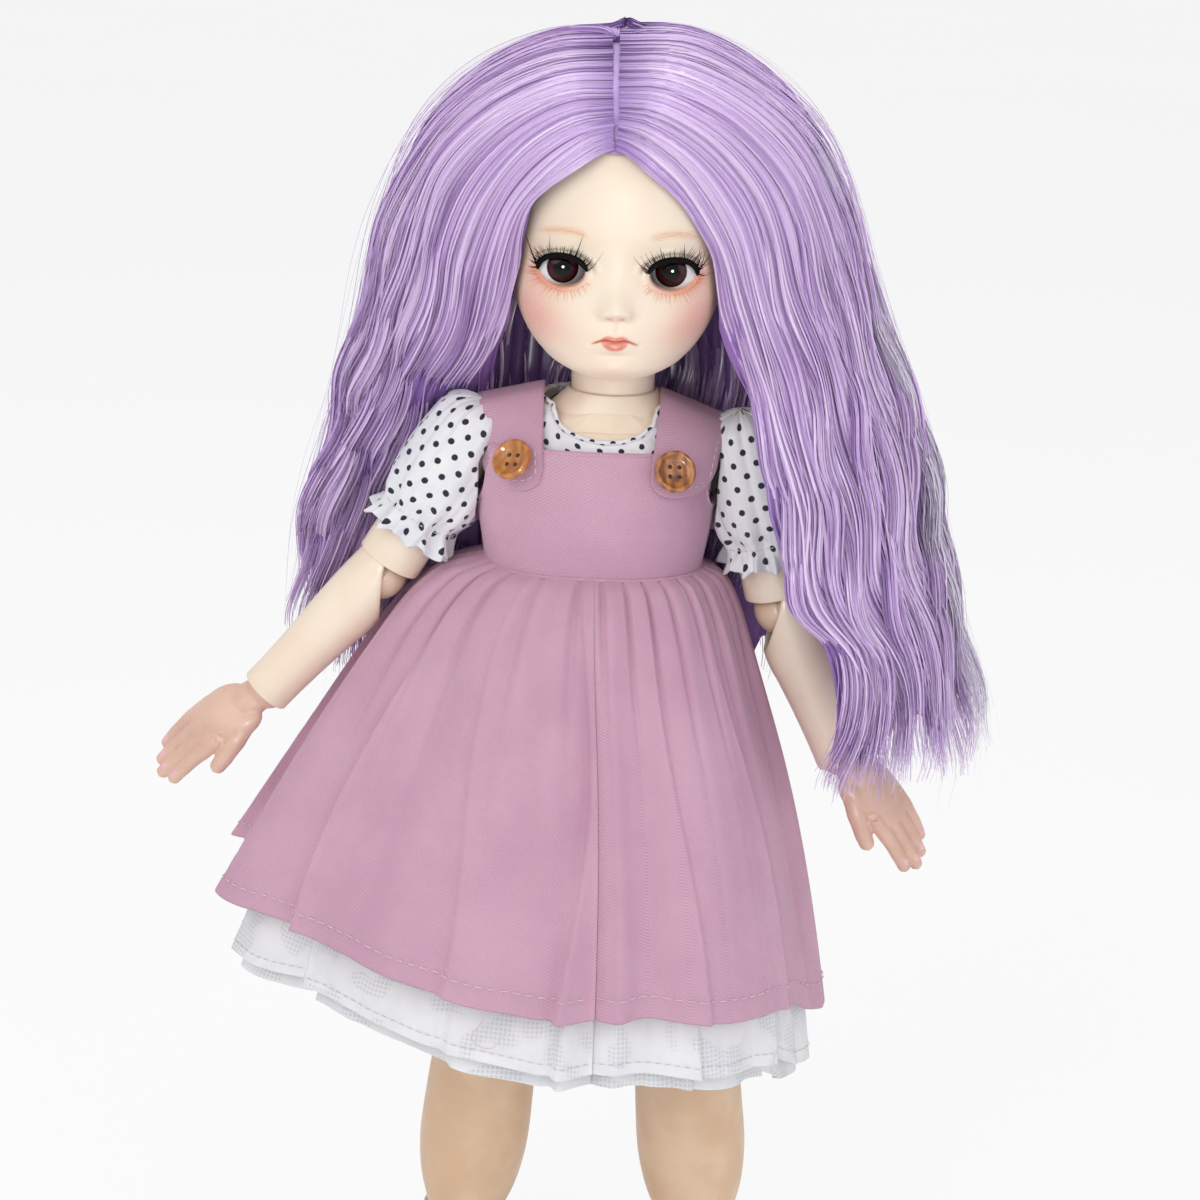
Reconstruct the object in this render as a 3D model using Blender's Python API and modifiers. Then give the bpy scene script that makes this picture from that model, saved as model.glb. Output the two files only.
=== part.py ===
"""Ball jointed doll, about 33 cm tall, in a blouse and a pinafore dress.

Metres, +Z up. The doll faces -Y and its own left is +X. It stands on the floor at z = 0.
Every limb hangs from an empty that sits on its joint, so the empties show how the doll moves.
"""

from math import asin, ceil, cos, exp, pi, radians, sin, tan

import bmesh
import bpy
from mathutils import Matrix, Vector

LEFT = 1
RIGHT = -1
SIDE_NAMES = {LEFT: "left", RIGHT: "right"}

# The doll's feet straddle this point, so that the origin is at the middle of the whole figure
STAND_X = -0.00945
STAND_Y = -0.0019

# Clearances
JOINT_GAP = 0.0003
CLOTH_GAP = 0.0003
BOOT_EASE = 0.0006
CUT_OVERRUN = 0.0200
WELD_DISTANCE = 0.00001
SHARP_EDGE_DEG = 40.0
BORE_ROLL_DEG = 7.0
PEG_SLIMMING_SHARE = 0.96

# Facet counts
LIMB_SIDES = 16
BALL_SIDES = 16
BODY_SIDES = 20
SMALL_SIDES = 10

# Torso
TORSO_RISE = 0.0040
TORSO_HEIGHT = 0.0450
TORSO_HALF_WIDTH = 0.0265
TORSO_HALF_DEPTH = 0.0170
TORSO_LEAN = 0.0030
TORSO_POWER = 2.3
# Rows of height, half width, half depth, lean and how far a garment's layers rise there
TORSO_RINGS_SHARES = (
    (0.00, 0.76, 0.88, 0.00, 0.00),
    (0.18, 0.79, 0.93, 0.00, 0.00),
    (0.38, 0.84, 1.00, -0.10, 0.00),
    (0.60, 0.88, 1.00, -0.10, 0.00),
    (0.72, 0.92, 0.96, 0.00, 0.05),
    (0.85, 1.00, 0.84, 0.30, 0.25),
    (0.94, 0.80, 0.75, 0.70, 0.80),
    (1.00, 0.46, 0.70, 1.00, 1.00),
)

# Neck
NECK_BALL_DROP = 0.0015
NECK_LENGTH = 0.0165
NECK_BALL_RADIUS = 0.0098
NECK_COLUMN_RADIUS = 0.0094
NECK_PEG_RADIUS = 0.0060
NECK_FLANGE_RADIUS = 0.0080
NECK_FLANGE_THICKNESS = 0.0020
NECK_WALL = 0.0024
FLANGE_ROOM_HEIGHT = 0.0110
NECK_SETBACK = 0.0030

# Head
CHIN_DROP = 0.0040
HEAD_HEIGHT = 0.0670
HEAD_HALF_WIDTH = 0.0250
FACE_DEPTH = 0.0250
SKULL_DEPTH = 0.0240
HEAD_WALL = 0.0040
HEAD_SIDES = 28
CAVITY_SIDES = 16
HEAD_POWER = 2.15
# Rows of height, half width, face depth and skull depth
HEAD_RINGS_SHARES = (
    (0.000, 0.22, 0.86, 0.20),
    (0.025, 0.42, 0.93, 0.36),
    (0.070, 0.60, 0.97, 0.54),
    (0.130, 0.74, 0.99, 0.64),
    (0.200, 0.87, 1.00, 0.74),
    (0.270, 0.95, 0.99, 0.82),
    (0.340, 0.985, 0.975, 0.90),
    (0.420, 1.00, 0.97, 0.96),
    (0.500, 1.00, 0.985, 1.00),
    (0.600, 0.99, 0.985, 1.02),
    (0.700, 0.94, 0.94, 0.98),
    (0.800, 0.83, 0.83, 0.88),
    (0.880, 0.68, 0.68, 0.74),
    (0.945, 0.48, 0.48, 0.54),
    (0.985, 0.26, 0.26, 0.30),
    (1.000, 0.08, 0.08, 0.10),
)
CAP_EDGE_SETBACK = 0.0160
CAP_TILT_DEG = 20.0
NOSE_RISE = 0.0162
NOSE_REACH = 0.0032
NOSE_HALF_WIDTH = 0.0036
NOSE_HALF_HEIGHT = 0.0042
SOCKET_DEPTH = 0.0016
SOCKET_HALF_WIDTH = 0.0070
SOCKET_HALF_HEIGHT = 0.0055
MOUTH_RISE = 0.0093
MOUTH_REACH = 0.0011
MOUTH_HALF_WIDTH = 0.0050
MOUTH_HALF_HEIGHT = 0.0020
EAR_SETBACK = 0.0020
EAR_RISE = 0.0205
EAR_HALF_HEIGHT = 0.0055
EAR_HALF_DEPTH = 0.0034
EAR_HALF_WIDTH = 0.0020
EAR_REACH = 0.0016

# Eyes and lashes
EYE_RISE = 0.0245
EYE_SPACING = 0.0125
EYE_RADIUS = 0.0076
EYE_SETBACK = 0.0012
FACE_AT_EYES_SHARE = 0.98
EYE_OPENING_HALF_WIDTH = 0.0054
EYE_OPENING_HALF_HEIGHT = 0.0037
LASH_RADIUS = 0.0004
LASH_STAND_OFF = 0.0010
LASH_RISE = 0.0006
LASH_HALF_WIDTH = 0.0058
LASH_START_SHARE = 0.06
LASH_POINTS = 7

# Arms
SHOULDER_DROP = 0.0070
SHOULDER_X = 0.0320
SHOULDER_BALL_RADIUS = 0.0070
UPPER_ARM_LENGTH = 0.0420
UPPER_ARM_TOP_RADIUS = 0.0068
UPPER_ARM_END_RADIUS = 0.0078
ELBOW_BALL_RADIUS = 0.0063
ELBOW_RIM_RISE = 0.0042
FOREARM_LENGTH = 0.0400
FOREARM_TOP_RADIUS = 0.0076
FOREARM_SWELL_SHARE = 0.22
FOREARM_END_RADIUS = 0.0062
WRIST_BALL_RADIUS = 0.0052
WRIST_RIM_DROP = 0.0010
ELBOW_PEG_RADIUS = 0.0020
ELBOW_PEG_LENGTH = 0.0150
ELBOW_MOUTH_START = 0.0022
ELBOW_MOUTH_DEG = 52.0
ARM_LIFT_MIN_DEG = 12.0
ARM_LIFT_MAX_DEG = 85.0
WRIST_BEND_MIN_DEG = -22.0
WRIST_BEND_MAX_DEG = 28.0
ARM_LIFT_DEG = {LEFT: 14.0, RIGHT: 31.0}
ELBOW_SPLAY_DEG = 10.5
WRIST_SPLAY_DEG = {LEFT: 18.0, RIGHT: 13.0}
SHOULDER_DISC_RADIUS = 0.0032
SHOULDER_PEG_RADIUS = 0.0014
SHOULDER_PEG_LENGTH = 0.0180
WRIST_DISC_RADIUS = 0.0026
WRIST_PEG_RADIUS = 0.0011
WRIST_PEG_LENGTH = 0.0120

# Hands
HAND_LENGTH = 0.0360
PALM_LENGTH = 0.0170
PALM_HALF_WIDTH = 0.0072
PALM_HALF_THICKNESS = 0.0042
# Rows of distance from the wrist, half width and half thickness
PALM_RINGS_SHARES = (
    (0.12, 0.55, 0.90),
    (0.35, 0.80, 1.00),
    (0.65, 1.00, 1.00),
    (0.92, 1.00, 0.75),
    (1.08, 0.90, 0.50),
)
PALM_SIDES = 12
PALM_POWER = 2.4
HAND_TWIST_DEG = 45.0
FINGER_RADIUS = 0.0020
FINGER_TIP_RADIUS = 0.0016
FINGER_DROOP = 0.0045
FINGER_SIDES = 6
FINGER_RINGS_SHARES = (
    (0.00, 0.95),
    (0.40, 1.00),
    (0.80, 0.95),
    (1.00, 0.55),
)
FINGER_LENGTH_SHARES = (0.44, 0.50, 0.47, 0.39)
FINGER_CROWDING_SHARE = 0.1
FINGER_ROOT_SHARE = 0.85
THUMB_RADIUS = 0.0025
THUMB_SPREAD = 0.0020
THUMB_PASS = 0.0045
THUMB_ROOT_SHARES = (0.45, 0.42)

# Hips and legs
HIP_X = 0.0165
LEG_SPLAY_DEG = 5.5
HIP_DOME_RADIUS = 0.0138
THIGH_LENGTH = 0.0613
KNEE_SPACING = 0.0080
CALF_LENGTH = 0.0725
THIGH_TOP_RADIUS = 0.0134
THIGH_END_RADIUS = 0.0118
KNEE_BALL_RADIUS = 0.0094
KNEE_RIM_RISE = 0.0030
KNEE_MOUTH_DEG = 40.0
LEG_SPREAD_MIN_DEG = 2.5
LEG_SPREAD_MAX_DEG = 20.0
HIP_SWING_MIN_DEG = -15.0
HIP_SWING_MAX_DEG = 60.0
CROTCH_HALF_WIDTH = 0.0024
ANKLE_BEND_DEG = 20.0
ANKLE_POST_SHARE = 0.9
CALF_RADIUS = 0.0134
# Rows of distance from the knee rim and thickness
CALF_RINGS_SHARES = (
    (0.00, 0.87),
    (0.20, 0.94),
    (0.45, 1.00),
    (0.65, 1.00),
    (0.80, 0.88),
    (0.90, 0.72),
    (1.00, 0.64),
)
ANKLE_BALL_RADIUS = 0.0068
ANKLE_RIM_RISE = 0.0026
HIP_DISC_RADIUS = 0.0060
HIP_PEG_RADIUS = 0.0022
HIP_PEG_LENGTH = 0.0160
ANKLE_DISC_RADIUS = 0.0032
ANKLE_PEG_RADIUS = 0.0014
ANKLE_PEG_LENGTH = 0.0150

# Pelvis
PELVIS_RISE = 0.0230
WAIST_RISE = 0.0270
PELVIS_HEIGHT = 0.0370
PELVIS_HALF_WIDTH = 0.0275
PELVIS_HALF_DEPTH = 0.0155
PELVIS_POWER = 2.2
HIP_CUP_ROLL_DEG = 4.0
PELVIS_RINGS_SHARES = (
    (0.00, 0.16, 0.50),
    (0.14, 0.42, 0.72),
    (0.34, 0.86, 0.90),
    (0.52, 1.00, 1.00),
    (0.78, 0.92, 1.00),
    (1.00, 0.72, 0.93),
)
WAIST_BALL_RADIUS = 0.0128
WAIST_PEG_RADIUS = 0.0030
WAIST_PEG_LENGTH = 0.0300

# Feet and boots
ANKLE_HEIGHT = 0.0238
FOOT_LENGTH = 0.0400
FOOT_HALF_WIDTH = 0.0078
FOOT_HEEL_BACK = 0.0110
SOLE_THICKNESS = 0.0045
SOLE_MARGIN = 0.0022
BOOT_WALL = 0.0012
BOOT_JOIN_HEIGHT = 0.0222
BOOT_TOP_HEIGHT = 0.0330
BOOT_SHAFT_GAP = 0.0004
BOOT_COLLAR_WALL = 0.0020
BOOT_SHAFT_LEVELS = 2
FOOT_SIDES = 10
FOOT_SQUARENESS_SHARE = 0.8
SOLE_POWER = 2.8
FOOT_RINGS_SHARES = (
    (0.00, 0.55, 0.35),
    (0.18, 0.88, 0.96),
    (0.42, 0.86, 1.00),
    (0.62, 0.96, 0.64),
    (0.88, 0.92, 0.42),
    (1.00, 0.50, 0.16),
)
FOOT_HEIGHT = 0.0135
INSOLE_HEIGHT = SOLE_THICKNESS + JOINT_GAP + BOOT_WALL + BOOT_EASE

# Blouse
BLOUSE_THICKNESS = 0.0007
BLOUSE_BOTTOM_SHARE = 0.22
ARMHOLE_RADIUS = 0.0082
NECKLINE_RADIUS = 0.0125
NECKLINE_DIP = 0.0010
NECKLINE_DROP = 0.0035
SLEEVE_LENGTH = 0.0290
SLEEVE_PUFF_RADIUS = 0.0125
SLEEVE_TOP_RISE = 0.0095
SLEEVE_EASE = 0.0007
SLEEVE_SIDES = 27
SLEEVE_FOLDS = 9
SLEEVE_FOLD_DEPTH = 0.0008
# Rows of distance down the sleeve, radius and depth of the gathers
SLEEVE_RINGS_SHARES = (
    (0.00, 0.45, 0.0),
    (0.08, 0.72, 0.3),
    (0.25, 0.92, 0.3),
    (0.55, 1.00, 0.6),
    (0.76, 0.95, 1.0),
    (0.88, 0.76, 1.0),
    (1.00, 0.86, 1.6),
)

# Pinafore
BODICE_THICKNESS = 0.0010
BODICE_STAND_OFF = 0.0013
BODICE_BOTTOM_SHARE = 0.178
BODICE_TOP_SHARE = 0.807
BODICE_ARMHOLE_RADIUS = 0.0125
STRAP_HALF_WIDTH = 0.0072
STRAP_X = {LEFT: 0.0185, RIGHT: 0.0192}
STRAP_LOW_SHARE = 0.64
STRAP_THICKNESS = 0.0010
BUTTON_RADIUS = 0.0050
BUTTON_THICKNESS = 0.0022
BUTTON_HOLE_RADIUS = 0.0006
BUTTON_HOLE_SIDES = 5
BUTTON_SIDES = 14
BUTTON_X = {LEFT: 0.0160, RIGHT: 0.0210}
BUTTON_SHARE = 0.78
BUTTON_HOLE_SPACING = 0.0013
BUTTON_RIM_WIDTH = 0.0012
BUTTON_DISH_DEPTH = 0.0006
BUTTON_REST_GAP = 0.0002
SKIRT_TOP_RISE = 0.0077
SKIRT_FLARE_SHARE = 1.0
SKIRT_TOP_FOLD_SHARE = 0.15
SKIRT_CREASE_DEPTH = 0.0070
SKIRT_CREASE_WIDTH_RAD = 0.09
SKIRT_THICKNESS = 0.0010
SKIRT_TOP_HALF_WIDTH = 0.0242
SKIRT_TOP_HALF_DEPTH = 0.0190
SKIRT_LENGTH = 0.0957
SKIRT_HEM_FRONT = 0.0600
SKIRT_HEM_BACK = 0.0560
SKIRT_HEM_RIGHT = 0.0900
SKIRT_HEM_LEFT = 0.0590
SKIRT_HEM_RISE_RIGHT = 0.0110
SKIRT_HEM_DIP_LEFT = 0.0040
SKIRT_FOLDS = 9
SKIRT_FOLD_DEPTH = 0.0040
SKIRT_SIDES = 54
SKIRT_LEVELS = 5
PETTICOAT_GAP = 0.0030
PETTICOAT_DROP = 0.0180
PETTICOAT_SIDES = 45
PETTICOAT_TOP_SHARE = 0.07

# Wig
WIG_RISE = 0.0115
WIG_BOTTOM_RISE = 0.0130
WIG_HALF_WIDTH = 0.0335
WIG_FRONT = 0.0290
WIG_BACK = 0.0330
WIG_SIDES = 24
WIG_RINGS_SHARES = (
    (0.00, 0.88, 0.98, 0.94),
    (0.20, 0.92, 1.00, 1.00),
    (0.40, 0.98, 0.99, 1.00),
    (0.60, 1.00, 0.93, 0.95),
    (0.76, 0.92, 0.82, 0.84),
    (0.88, 0.72, 0.62, 0.64),
    (0.96, 0.44, 0.38, 0.40),
    (1.00, 0.14, 0.12, 0.12),
)
FACE_OPENING_SHARES = (
    (0.00, 1.00),
    (0.44, 0.91),
    (0.74, 0.77),
    (0.92, 0.58),
    (1.03, 0.34),
    (1.06, -0.20),
)
HAIRLINE_RISE = 0.0500
FACE_OPENING_BACK = 0.0040
HAIR_LENGTH = 0.1800
HAIR_TOP_RISE = 0.0600
HAIR_SPREAD = 0.0900
HAIR_REACH = 0.0400
HAIR_THICKNESS = 0.0042
# Places on the outer face of each fall of hair, across, back and down, from the parting to the ends
HAIR_LEFT_SHARES = (
    (
        (0.10, -0.62, 0.07), (0.11, -0.59, 0.04), (0.12, -0.51, -0.00),
        (0.13, -0.35, -0.04), (0.14, -0.10, -0.07), (0.14, 0.17, -0.09),
        (0.13, 0.34, -0.09),
    ),
    (
        (0.17, -0.55, 0.11), (0.20, -0.56, 0.08), (0.23, -0.53, 0.03),
        (0.25, -0.39, -0.01), (0.27, -0.14, -0.04), (0.27, 0.15, -0.06),
        (0.25, 0.36, -0.06),
    ),
    (
        (0.25, -0.44, 0.17), (0.28, -0.47, 0.14), (0.33, -0.46, 0.08),
        (0.37, -0.36, 0.03), (0.40, -0.15, -0.00), (0.40, 0.14, -0.02),
        (0.37, 0.37, -0.02),
    ),
    (
        (0.29, -0.34, 0.25), (0.34, -0.40, 0.22), (0.41, -0.38, 0.17),
        (0.48, -0.29, 0.12), (0.53, -0.11, 0.08), (0.53, 0.15, 0.06),
        (0.48, 0.38, 0.06),
    ),
    (
        (0.37, -0.52, 0.34), (0.42, -0.53, 0.33), (0.48, -0.43, 0.28),
        (0.56, -0.28, 0.23), (0.62, -0.06, 0.19), (0.62, 0.22, 0.17),
        (0.54, 0.43, 0.18),
    ),
    (
        (0.44, -0.70, 0.45), (0.50, -0.71, 0.43), (0.57, -0.60, 0.39),
        (0.66, -0.38, 0.35), (0.72, -0.08, 0.32), (0.71, 0.25, 0.30),
        (0.61, 0.47, 0.30),
    ),
    (
        (0.50, -0.75, 0.56), (0.56, -0.77, 0.56), (0.62, -0.69, 0.52),
        (0.73, -0.48, 0.48), (0.81, -0.14, 0.45), (0.80, 0.24, 0.42),
        (0.69, 0.49, 0.43),
    ),
    (
        (0.61, -0.75, 0.67), (0.67, -0.77, 0.67), (0.71, -0.73, 0.64),
        (0.80, -0.56, 0.61), (0.86, -0.24, 0.58), (0.87, 0.16, 0.55),
        (0.75, 0.46, 0.55),
    ),
    (
        (0.66, -0.71, 0.78), (0.72, -0.73, 0.79), (0.79, -0.71, 0.76),
        (0.88, -0.61, 0.74), (0.94, -0.35, 0.71), (0.93, 0.04, 0.68),
        (0.79, 0.41, 0.68),
    ),
    (
        (0.61, -0.67, 0.87), (0.68, -0.69, 0.88), (0.81, -0.68, 0.85),
        (0.91, -0.62, 0.83), (0.99, -0.40, 0.81), (0.98, -0.04, 0.78),
        (0.82, 0.35, 0.78),
    ),
)
HAIR_RIGHT_SHARES = (
    (
        (-0.11, -0.62, 0.06), (-0.13, -0.58, 0.04), (-0.15, -0.51, 0.01),
        (-0.17, -0.34, -0.03), (-0.18, -0.10, -0.06), (-0.17, 0.17, -0.08),
        (-0.16, 0.34, -0.08),
    ),
    (
        (-0.19, -0.59, 0.09), (-0.22, -0.58, 0.08), (-0.25, -0.53, 0.04),
        (-0.28, -0.38, -0.00), (-0.29, -0.14, -0.03), (-0.28, 0.16, -0.05),
        (-0.27, 0.36, -0.05),
    ),
    (
        (-0.25, -0.50, 0.13), (-0.29, -0.50, 0.13), (-0.34, -0.48, 0.09),
        (-0.39, -0.37, 0.04), (-0.40, -0.15, 0.01), (-0.40, 0.14, -0.02),
        (-0.37, 0.37, -0.01),
    ),
    (
        (-0.27, -0.38, 0.20), (-0.33, -0.38, 0.20), (-0.41, -0.37, 0.17),
        (-0.48, -0.30, 0.12), (-0.52, -0.12, 0.08), (-0.52, 0.14, 0.05),
        (-0.47, 0.37, 0.06),
    ),
    (
        (-0.32, -0.18, 0.27), (-0.38, -0.17, 0.29), (-0.46, -0.21, 0.28),
        (-0.54, -0.20, 0.23), (-0.60, -0.06, 0.18), (-0.61, 0.20, 0.15),
        (-0.54, 0.42, 0.16),
    ),
    (
        (-0.36, 0.10, 0.35), (-0.45, 0.10, 0.38), (-0.52, 0.04, 0.38),
        (-0.60, -0.04, 0.35), (-0.66, 0.02, 0.30), (-0.66, 0.25, 0.27),
        (-0.58, 0.45, 0.28),
    ),
    (
        (-0.38, 0.34, 0.43), (-0.49, 0.36, 0.48), (-0.58, 0.32, 0.48),
        (-0.66, 0.21, 0.46), (-0.71, 0.17, 0.42), (-0.71, 0.31, 0.38),
        (-0.63, 0.47, 0.40),
    ),
    (
        (-0.41, 0.48, 0.52), (-0.52, 0.48, 0.58), (-0.62, 0.45, 0.60),
        (-0.70, 0.39, 0.58), (-0.77, 0.34, 0.53), (-0.77, 0.41, 0.49),
        (-0.67, 0.49, 0.51),
    ),
    (
        (-0.43, 0.54, 0.62), (-0.56, 0.52, 0.69), (-0.67, 0.49, 0.72),
        (-0.75, 0.44, 0.70), (-0.81, 0.41, 0.65), (-0.82, 0.44, 0.61),
        (-0.71, 0.50, 0.63),
    ),
    (
        (-0.45, 0.55, 0.69), (-0.61, 0.52, 0.77), (-0.71, 0.49, 0.81),
        (-0.78, 0.45, 0.79), (-0.84, 0.44, 0.74), (-0.84, 0.45, 0.70),
        (-0.74, 0.50, 0.72),
    ),
)
HAIR_BACK_SHARES = (
    (
        (-0.09, 0.45, -0.08), (-0.06, 0.53, -0.08), (-0.03, 0.58, -0.07),
        (0.00, 0.60, -0.07), (0.03, 0.58, -0.07), (0.06, 0.53, -0.08),
        (0.09, 0.45, -0.08),
    ),
    (
        (-0.15, 0.55, -0.03), (-0.10, 0.66, -0.03), (-0.05, 0.72, -0.03),
        (0.00, 0.74, -0.02), (0.05, 0.72, -0.03), (0.10, 0.66, -0.03),
        (0.15, 0.55, -0.03),
    ),
    (
        (-0.21, 0.62, 0.04), (-0.14, 0.74, 0.05), (-0.06, 0.80, 0.05),
        (0.00, 0.83, 0.05), (0.06, 0.80, 0.05), (0.14, 0.74, 0.05),
        (0.21, 0.62, 0.04),
    ),
    (
        (-0.25, 0.67, 0.16), (-0.17, 0.79, 0.17), (-0.08, 0.86, 0.17),
        (0.00, 0.88, 0.17), (0.08, 0.86, 0.17), (0.17, 0.79, 0.17),
        (0.25, 0.67, 0.16),
    ),
    (
        (-0.27, 0.63, 0.30), (-0.18, 0.74, 0.31), (-0.08, 0.80, 0.31),
        (0.00, 0.83, 0.31), (0.08, 0.80, 0.31), (0.18, 0.74, 0.31),
        (0.27, 0.63, 0.30),
    ),
    (
        (-0.29, 0.58, 0.45), (-0.20, 0.69, 0.45), (-0.09, 0.75, 0.45),
        (0.00, 0.77, 0.46), (0.09, 0.75, 0.45), (0.20, 0.69, 0.45),
        (0.29, 0.58, 0.45),
    ),
    (
        (-0.31, 0.62, 0.59), (-0.21, 0.73, 0.59), (-0.09, 0.80, 0.59),
        (0.00, 0.82, 0.60), (0.09, 0.80, 0.59), (0.21, 0.73, 0.59),
        (0.31, 0.62, 0.59),
    ),
    (
        (-0.32, 0.75, 0.72), (-0.21, 0.89, 0.72), (-0.09, 0.97, 0.72),
        (0.00, 1.00, 0.72), (0.09, 0.97, 0.72), (0.21, 0.89, 0.72),
        (0.32, 0.75, 0.72),
    ),
    (
        (-0.32, 0.87, 0.80), (-0.22, 1.03, 0.81), (-0.10, 1.12, 0.81),
        (0.00, 1.15, 0.81), (0.10, 1.12, 0.81), (0.22, 1.03, 0.81),
        (0.32, 0.87, 0.80),
    ),
)

# Heights above the floor, each stacked on the one below it
LEG_LENGTH = THIGH_LENGTH + KNEE_SPACING + CALF_LENGTH
HIP_HEIGHT = ANKLE_HEIGHT + LEG_LENGTH * cos(radians(LEG_SPLAY_DEG))
PELVIS_TOP = HIP_HEIGHT + PELVIS_RISE
WAIST_HEIGHT = HIP_HEIGHT + WAIST_RISE
TORSO_BOTTOM = WAIST_HEIGHT + TORSO_RISE
TORSO_TOP = TORSO_BOTTOM + TORSO_HEIGHT
SHOULDER_HEIGHT = TORSO_TOP - SHOULDER_DROP
NECKLINE_HEIGHT = TORSO_TOP - NECKLINE_DROP
NECK_BALL_HEIGHT = TORSO_TOP - NECK_BALL_DROP
HEAD_SEAT_HEIGHT = NECK_BALL_HEIGHT + NECK_LENGTH
CHIN_HEIGHT = HEAD_SEAT_HEIGHT - CHIN_DROP
MOUTH_HEIGHT = CHIN_HEIGHT + MOUTH_RISE
NOSE_HEIGHT = CHIN_HEIGHT + NOSE_RISE
EAR_HEIGHT = CHIN_HEIGHT + EAR_RISE
EYE_HEIGHT = CHIN_HEIGHT + EYE_RISE
SKIRT_TOP_HEIGHT = TORSO_BOTTOM + SKIRT_TOP_RISE
SKIRT_HEM_HEIGHT = SKIRT_TOP_HEIGHT - SKIRT_LENGTH
WIG_TOP_HEIGHT = CHIN_HEIGHT + HEAD_HEIGHT + WIG_RISE
WIG_BOTTOM_HEIGHT = CHIN_HEIGHT + WIG_BOTTOM_RISE
HAIR_TOP_HEIGHT = CHIN_HEIGHT + HAIR_TOP_RISE


# Scene and collections


def clear_scene():
    for old in list(bpy.data.objects):
        bpy.data.objects.remove(old, do_unlink=True)


def new_collection(name):
    collection = bpy.data.collections.new(name)
    bpy.context.scene.collection.children.link(collection)
    return collection


clear_scene()
DOLL = new_collection("ball_jointed_doll")
CUTTERS = new_collection("cutters")


def finish(name, colour, roughness, coat=0.0):
    """A plain painted or moulded finish: colour, roughness and a clear coat."""
    material = bpy.data.materials.new(name + "_finish")
    material.use_nodes = True
    shader = material.node_tree.nodes["Principled BSDF"]
    shader.inputs["Base Color"].default_value = (*colour, 1)
    shader.inputs["Roughness"].default_value = roughness
    shader.inputs["Metallic"].default_value = 0
    shader.inputs["Coat Weight"].default_value = coat
    material.diffuse_color = (*colour, 1)
    return material


SKIN = ((0.94, 0.80, 0.70), 0.30, 0.4)
JOINT_SKIN = ((0.86, 0.68, 0.52), 0.32, 0.3)
LEG_SKIN = ((0.80, 0.62, 0.49), 0.38, 0.2)
HAND_SKIN = ((0.83, 0.63, 0.53), 0.38, 0.2)
EYE_GLASS = ((0.10, 0.03, 0.03), 0.05, 1.0)
LASH_BLACK = ((0.01, 0.01, 0.01), 0.60, 0.0)
HAIR_LILAC = ((0.55, 0.38, 0.74), 0.30, 0.3)
BLOUSE_WHITE = ((0.88, 0.89, 0.93), 0.85, 0.0)
MAUVE_TWILL = ((0.56, 0.31, 0.42), 0.90, 0.0)
COTTON_WHITE = ((0.86, 0.87, 0.88), 0.90, 0.0)
BUTTON_CARAMEL = ((0.60, 0.26, 0.07), 0.22, 0.6)
BOOT_LEATHER = ((0.78, 0.77, 0.76), 0.45, 0.1)
RUBBER = ((0.62, 0.60, 0.58), 0.70, 0.0)


# Joint frames


def turn(angle_deg, axis):
    return Matrix.Rotation(radians(angle_deg), 4, axis)


def shift(x, y, z):
    return Matrix.Translation((x, y, z))


def facing(out):
    """A turn that takes +Z to a direction, with +Y kept as upright as it can be."""
    return out.normalized().to_track_quat("Z", "Y").to_matrix().to_4x4()


def empty(name, parent, matrix):
    """An empty on a joint, which carries everything beyond that joint."""
    joint = bpy.data.objects.new(name, None)
    joint.empty_display_size = JOINT_GAP
    DOLL.objects.link(joint)
    joint.parent = parent
    joint.matrix_local = matrix
    return joint


def put(name, mesh, frame, colours, collection=None):
    """Wraps a mesh in a named object that hangs from a frame's empty."""
    obj = bpy.data.objects.new(name, mesh)
    (collection or DOLL).objects.link(obj)
    obj.parent = frame
    if colours:
        mesh.materials.append(finish(name, *colours))
    mesh.shade_smooth()
    mesh.set_sharp_from_angle(angle=radians(SHARP_EDGE_DEG))
    return obj


def cut(obj, cutter, operation="DIFFERENCE"):
    boolean = obj.modifiers.new(operation.lower(), "BOOLEAN")
    boolean.object = cutter
    boolean.operation = operation
    return obj


def cutter(name, mesh, frame):
    """A closed shape that only cuts or joins others."""
    obj = put(name, mesh, frame, None, CUTTERS)
    obj.hide_render = True
    obj.display_type = "WIRE"
    return obj


# Shapes


def mesh_of(name, bm):
    bmesh.ops.recalc_face_normals(bm, faces=bm.faces)
    mesh = bpy.data.meshes.new(name)
    bm.to_mesh(mesh)
    bm.free()
    return mesh


def ball(name, radius, sides=BALL_SIDES, centre=(0, 0, 0), stretch=(1, 1, 1)):
    bm = bmesh.new()
    bmesh.ops.create_uvsphere(bm, u_segments=sides, v_segments=sides // 2, radius=radius)
    bmesh.ops.scale(bm, vec=stretch, verts=bm.verts)
    bmesh.ops.translate(bm, vec=centre, verts=bm.verts)
    return mesh_of(name, bm)


def cup_radius(radius, sides=BALL_SIDES, gap=JOINT_GAP):
    """The radius of a faceted hollow whose flats stay a gap clear of a ball."""
    return (radius + gap) / cos(pi / sides) ** 2


def rod(name, radius, start, end, sides=SMALL_SIDES, roll_deg=0):
    """A cylinder between two points, rolled about its own axis."""
    start = Vector(start)
    along = Vector(end) - start
    bm = bmesh.new()
    bmesh.ops.create_cone(
        bm, cap_ends=True, segments=sides, radius1=radius, radius2=radius, depth=along.length
    )
    aimed = facing(along) @ turn(roll_deg, "Z")
    middle = start + along / 2
    bmesh.ops.transform(bm, matrix=Matrix.Translation(middle) @ aimed, verts=bm.verts)
    return mesh_of(name, bm)


def box(name, low, high):
    low = Vector(low)
    high = Vector(high)
    bm = bmesh.new()
    bmesh.ops.create_cube(bm, size=1)
    bmesh.ops.scale(bm, vec=high - low, verts=bm.verts)
    bmesh.ops.translate(bm, vec=(low + high) / 2, verts=bm.verts)
    return mesh_of(name, bm)


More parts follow.
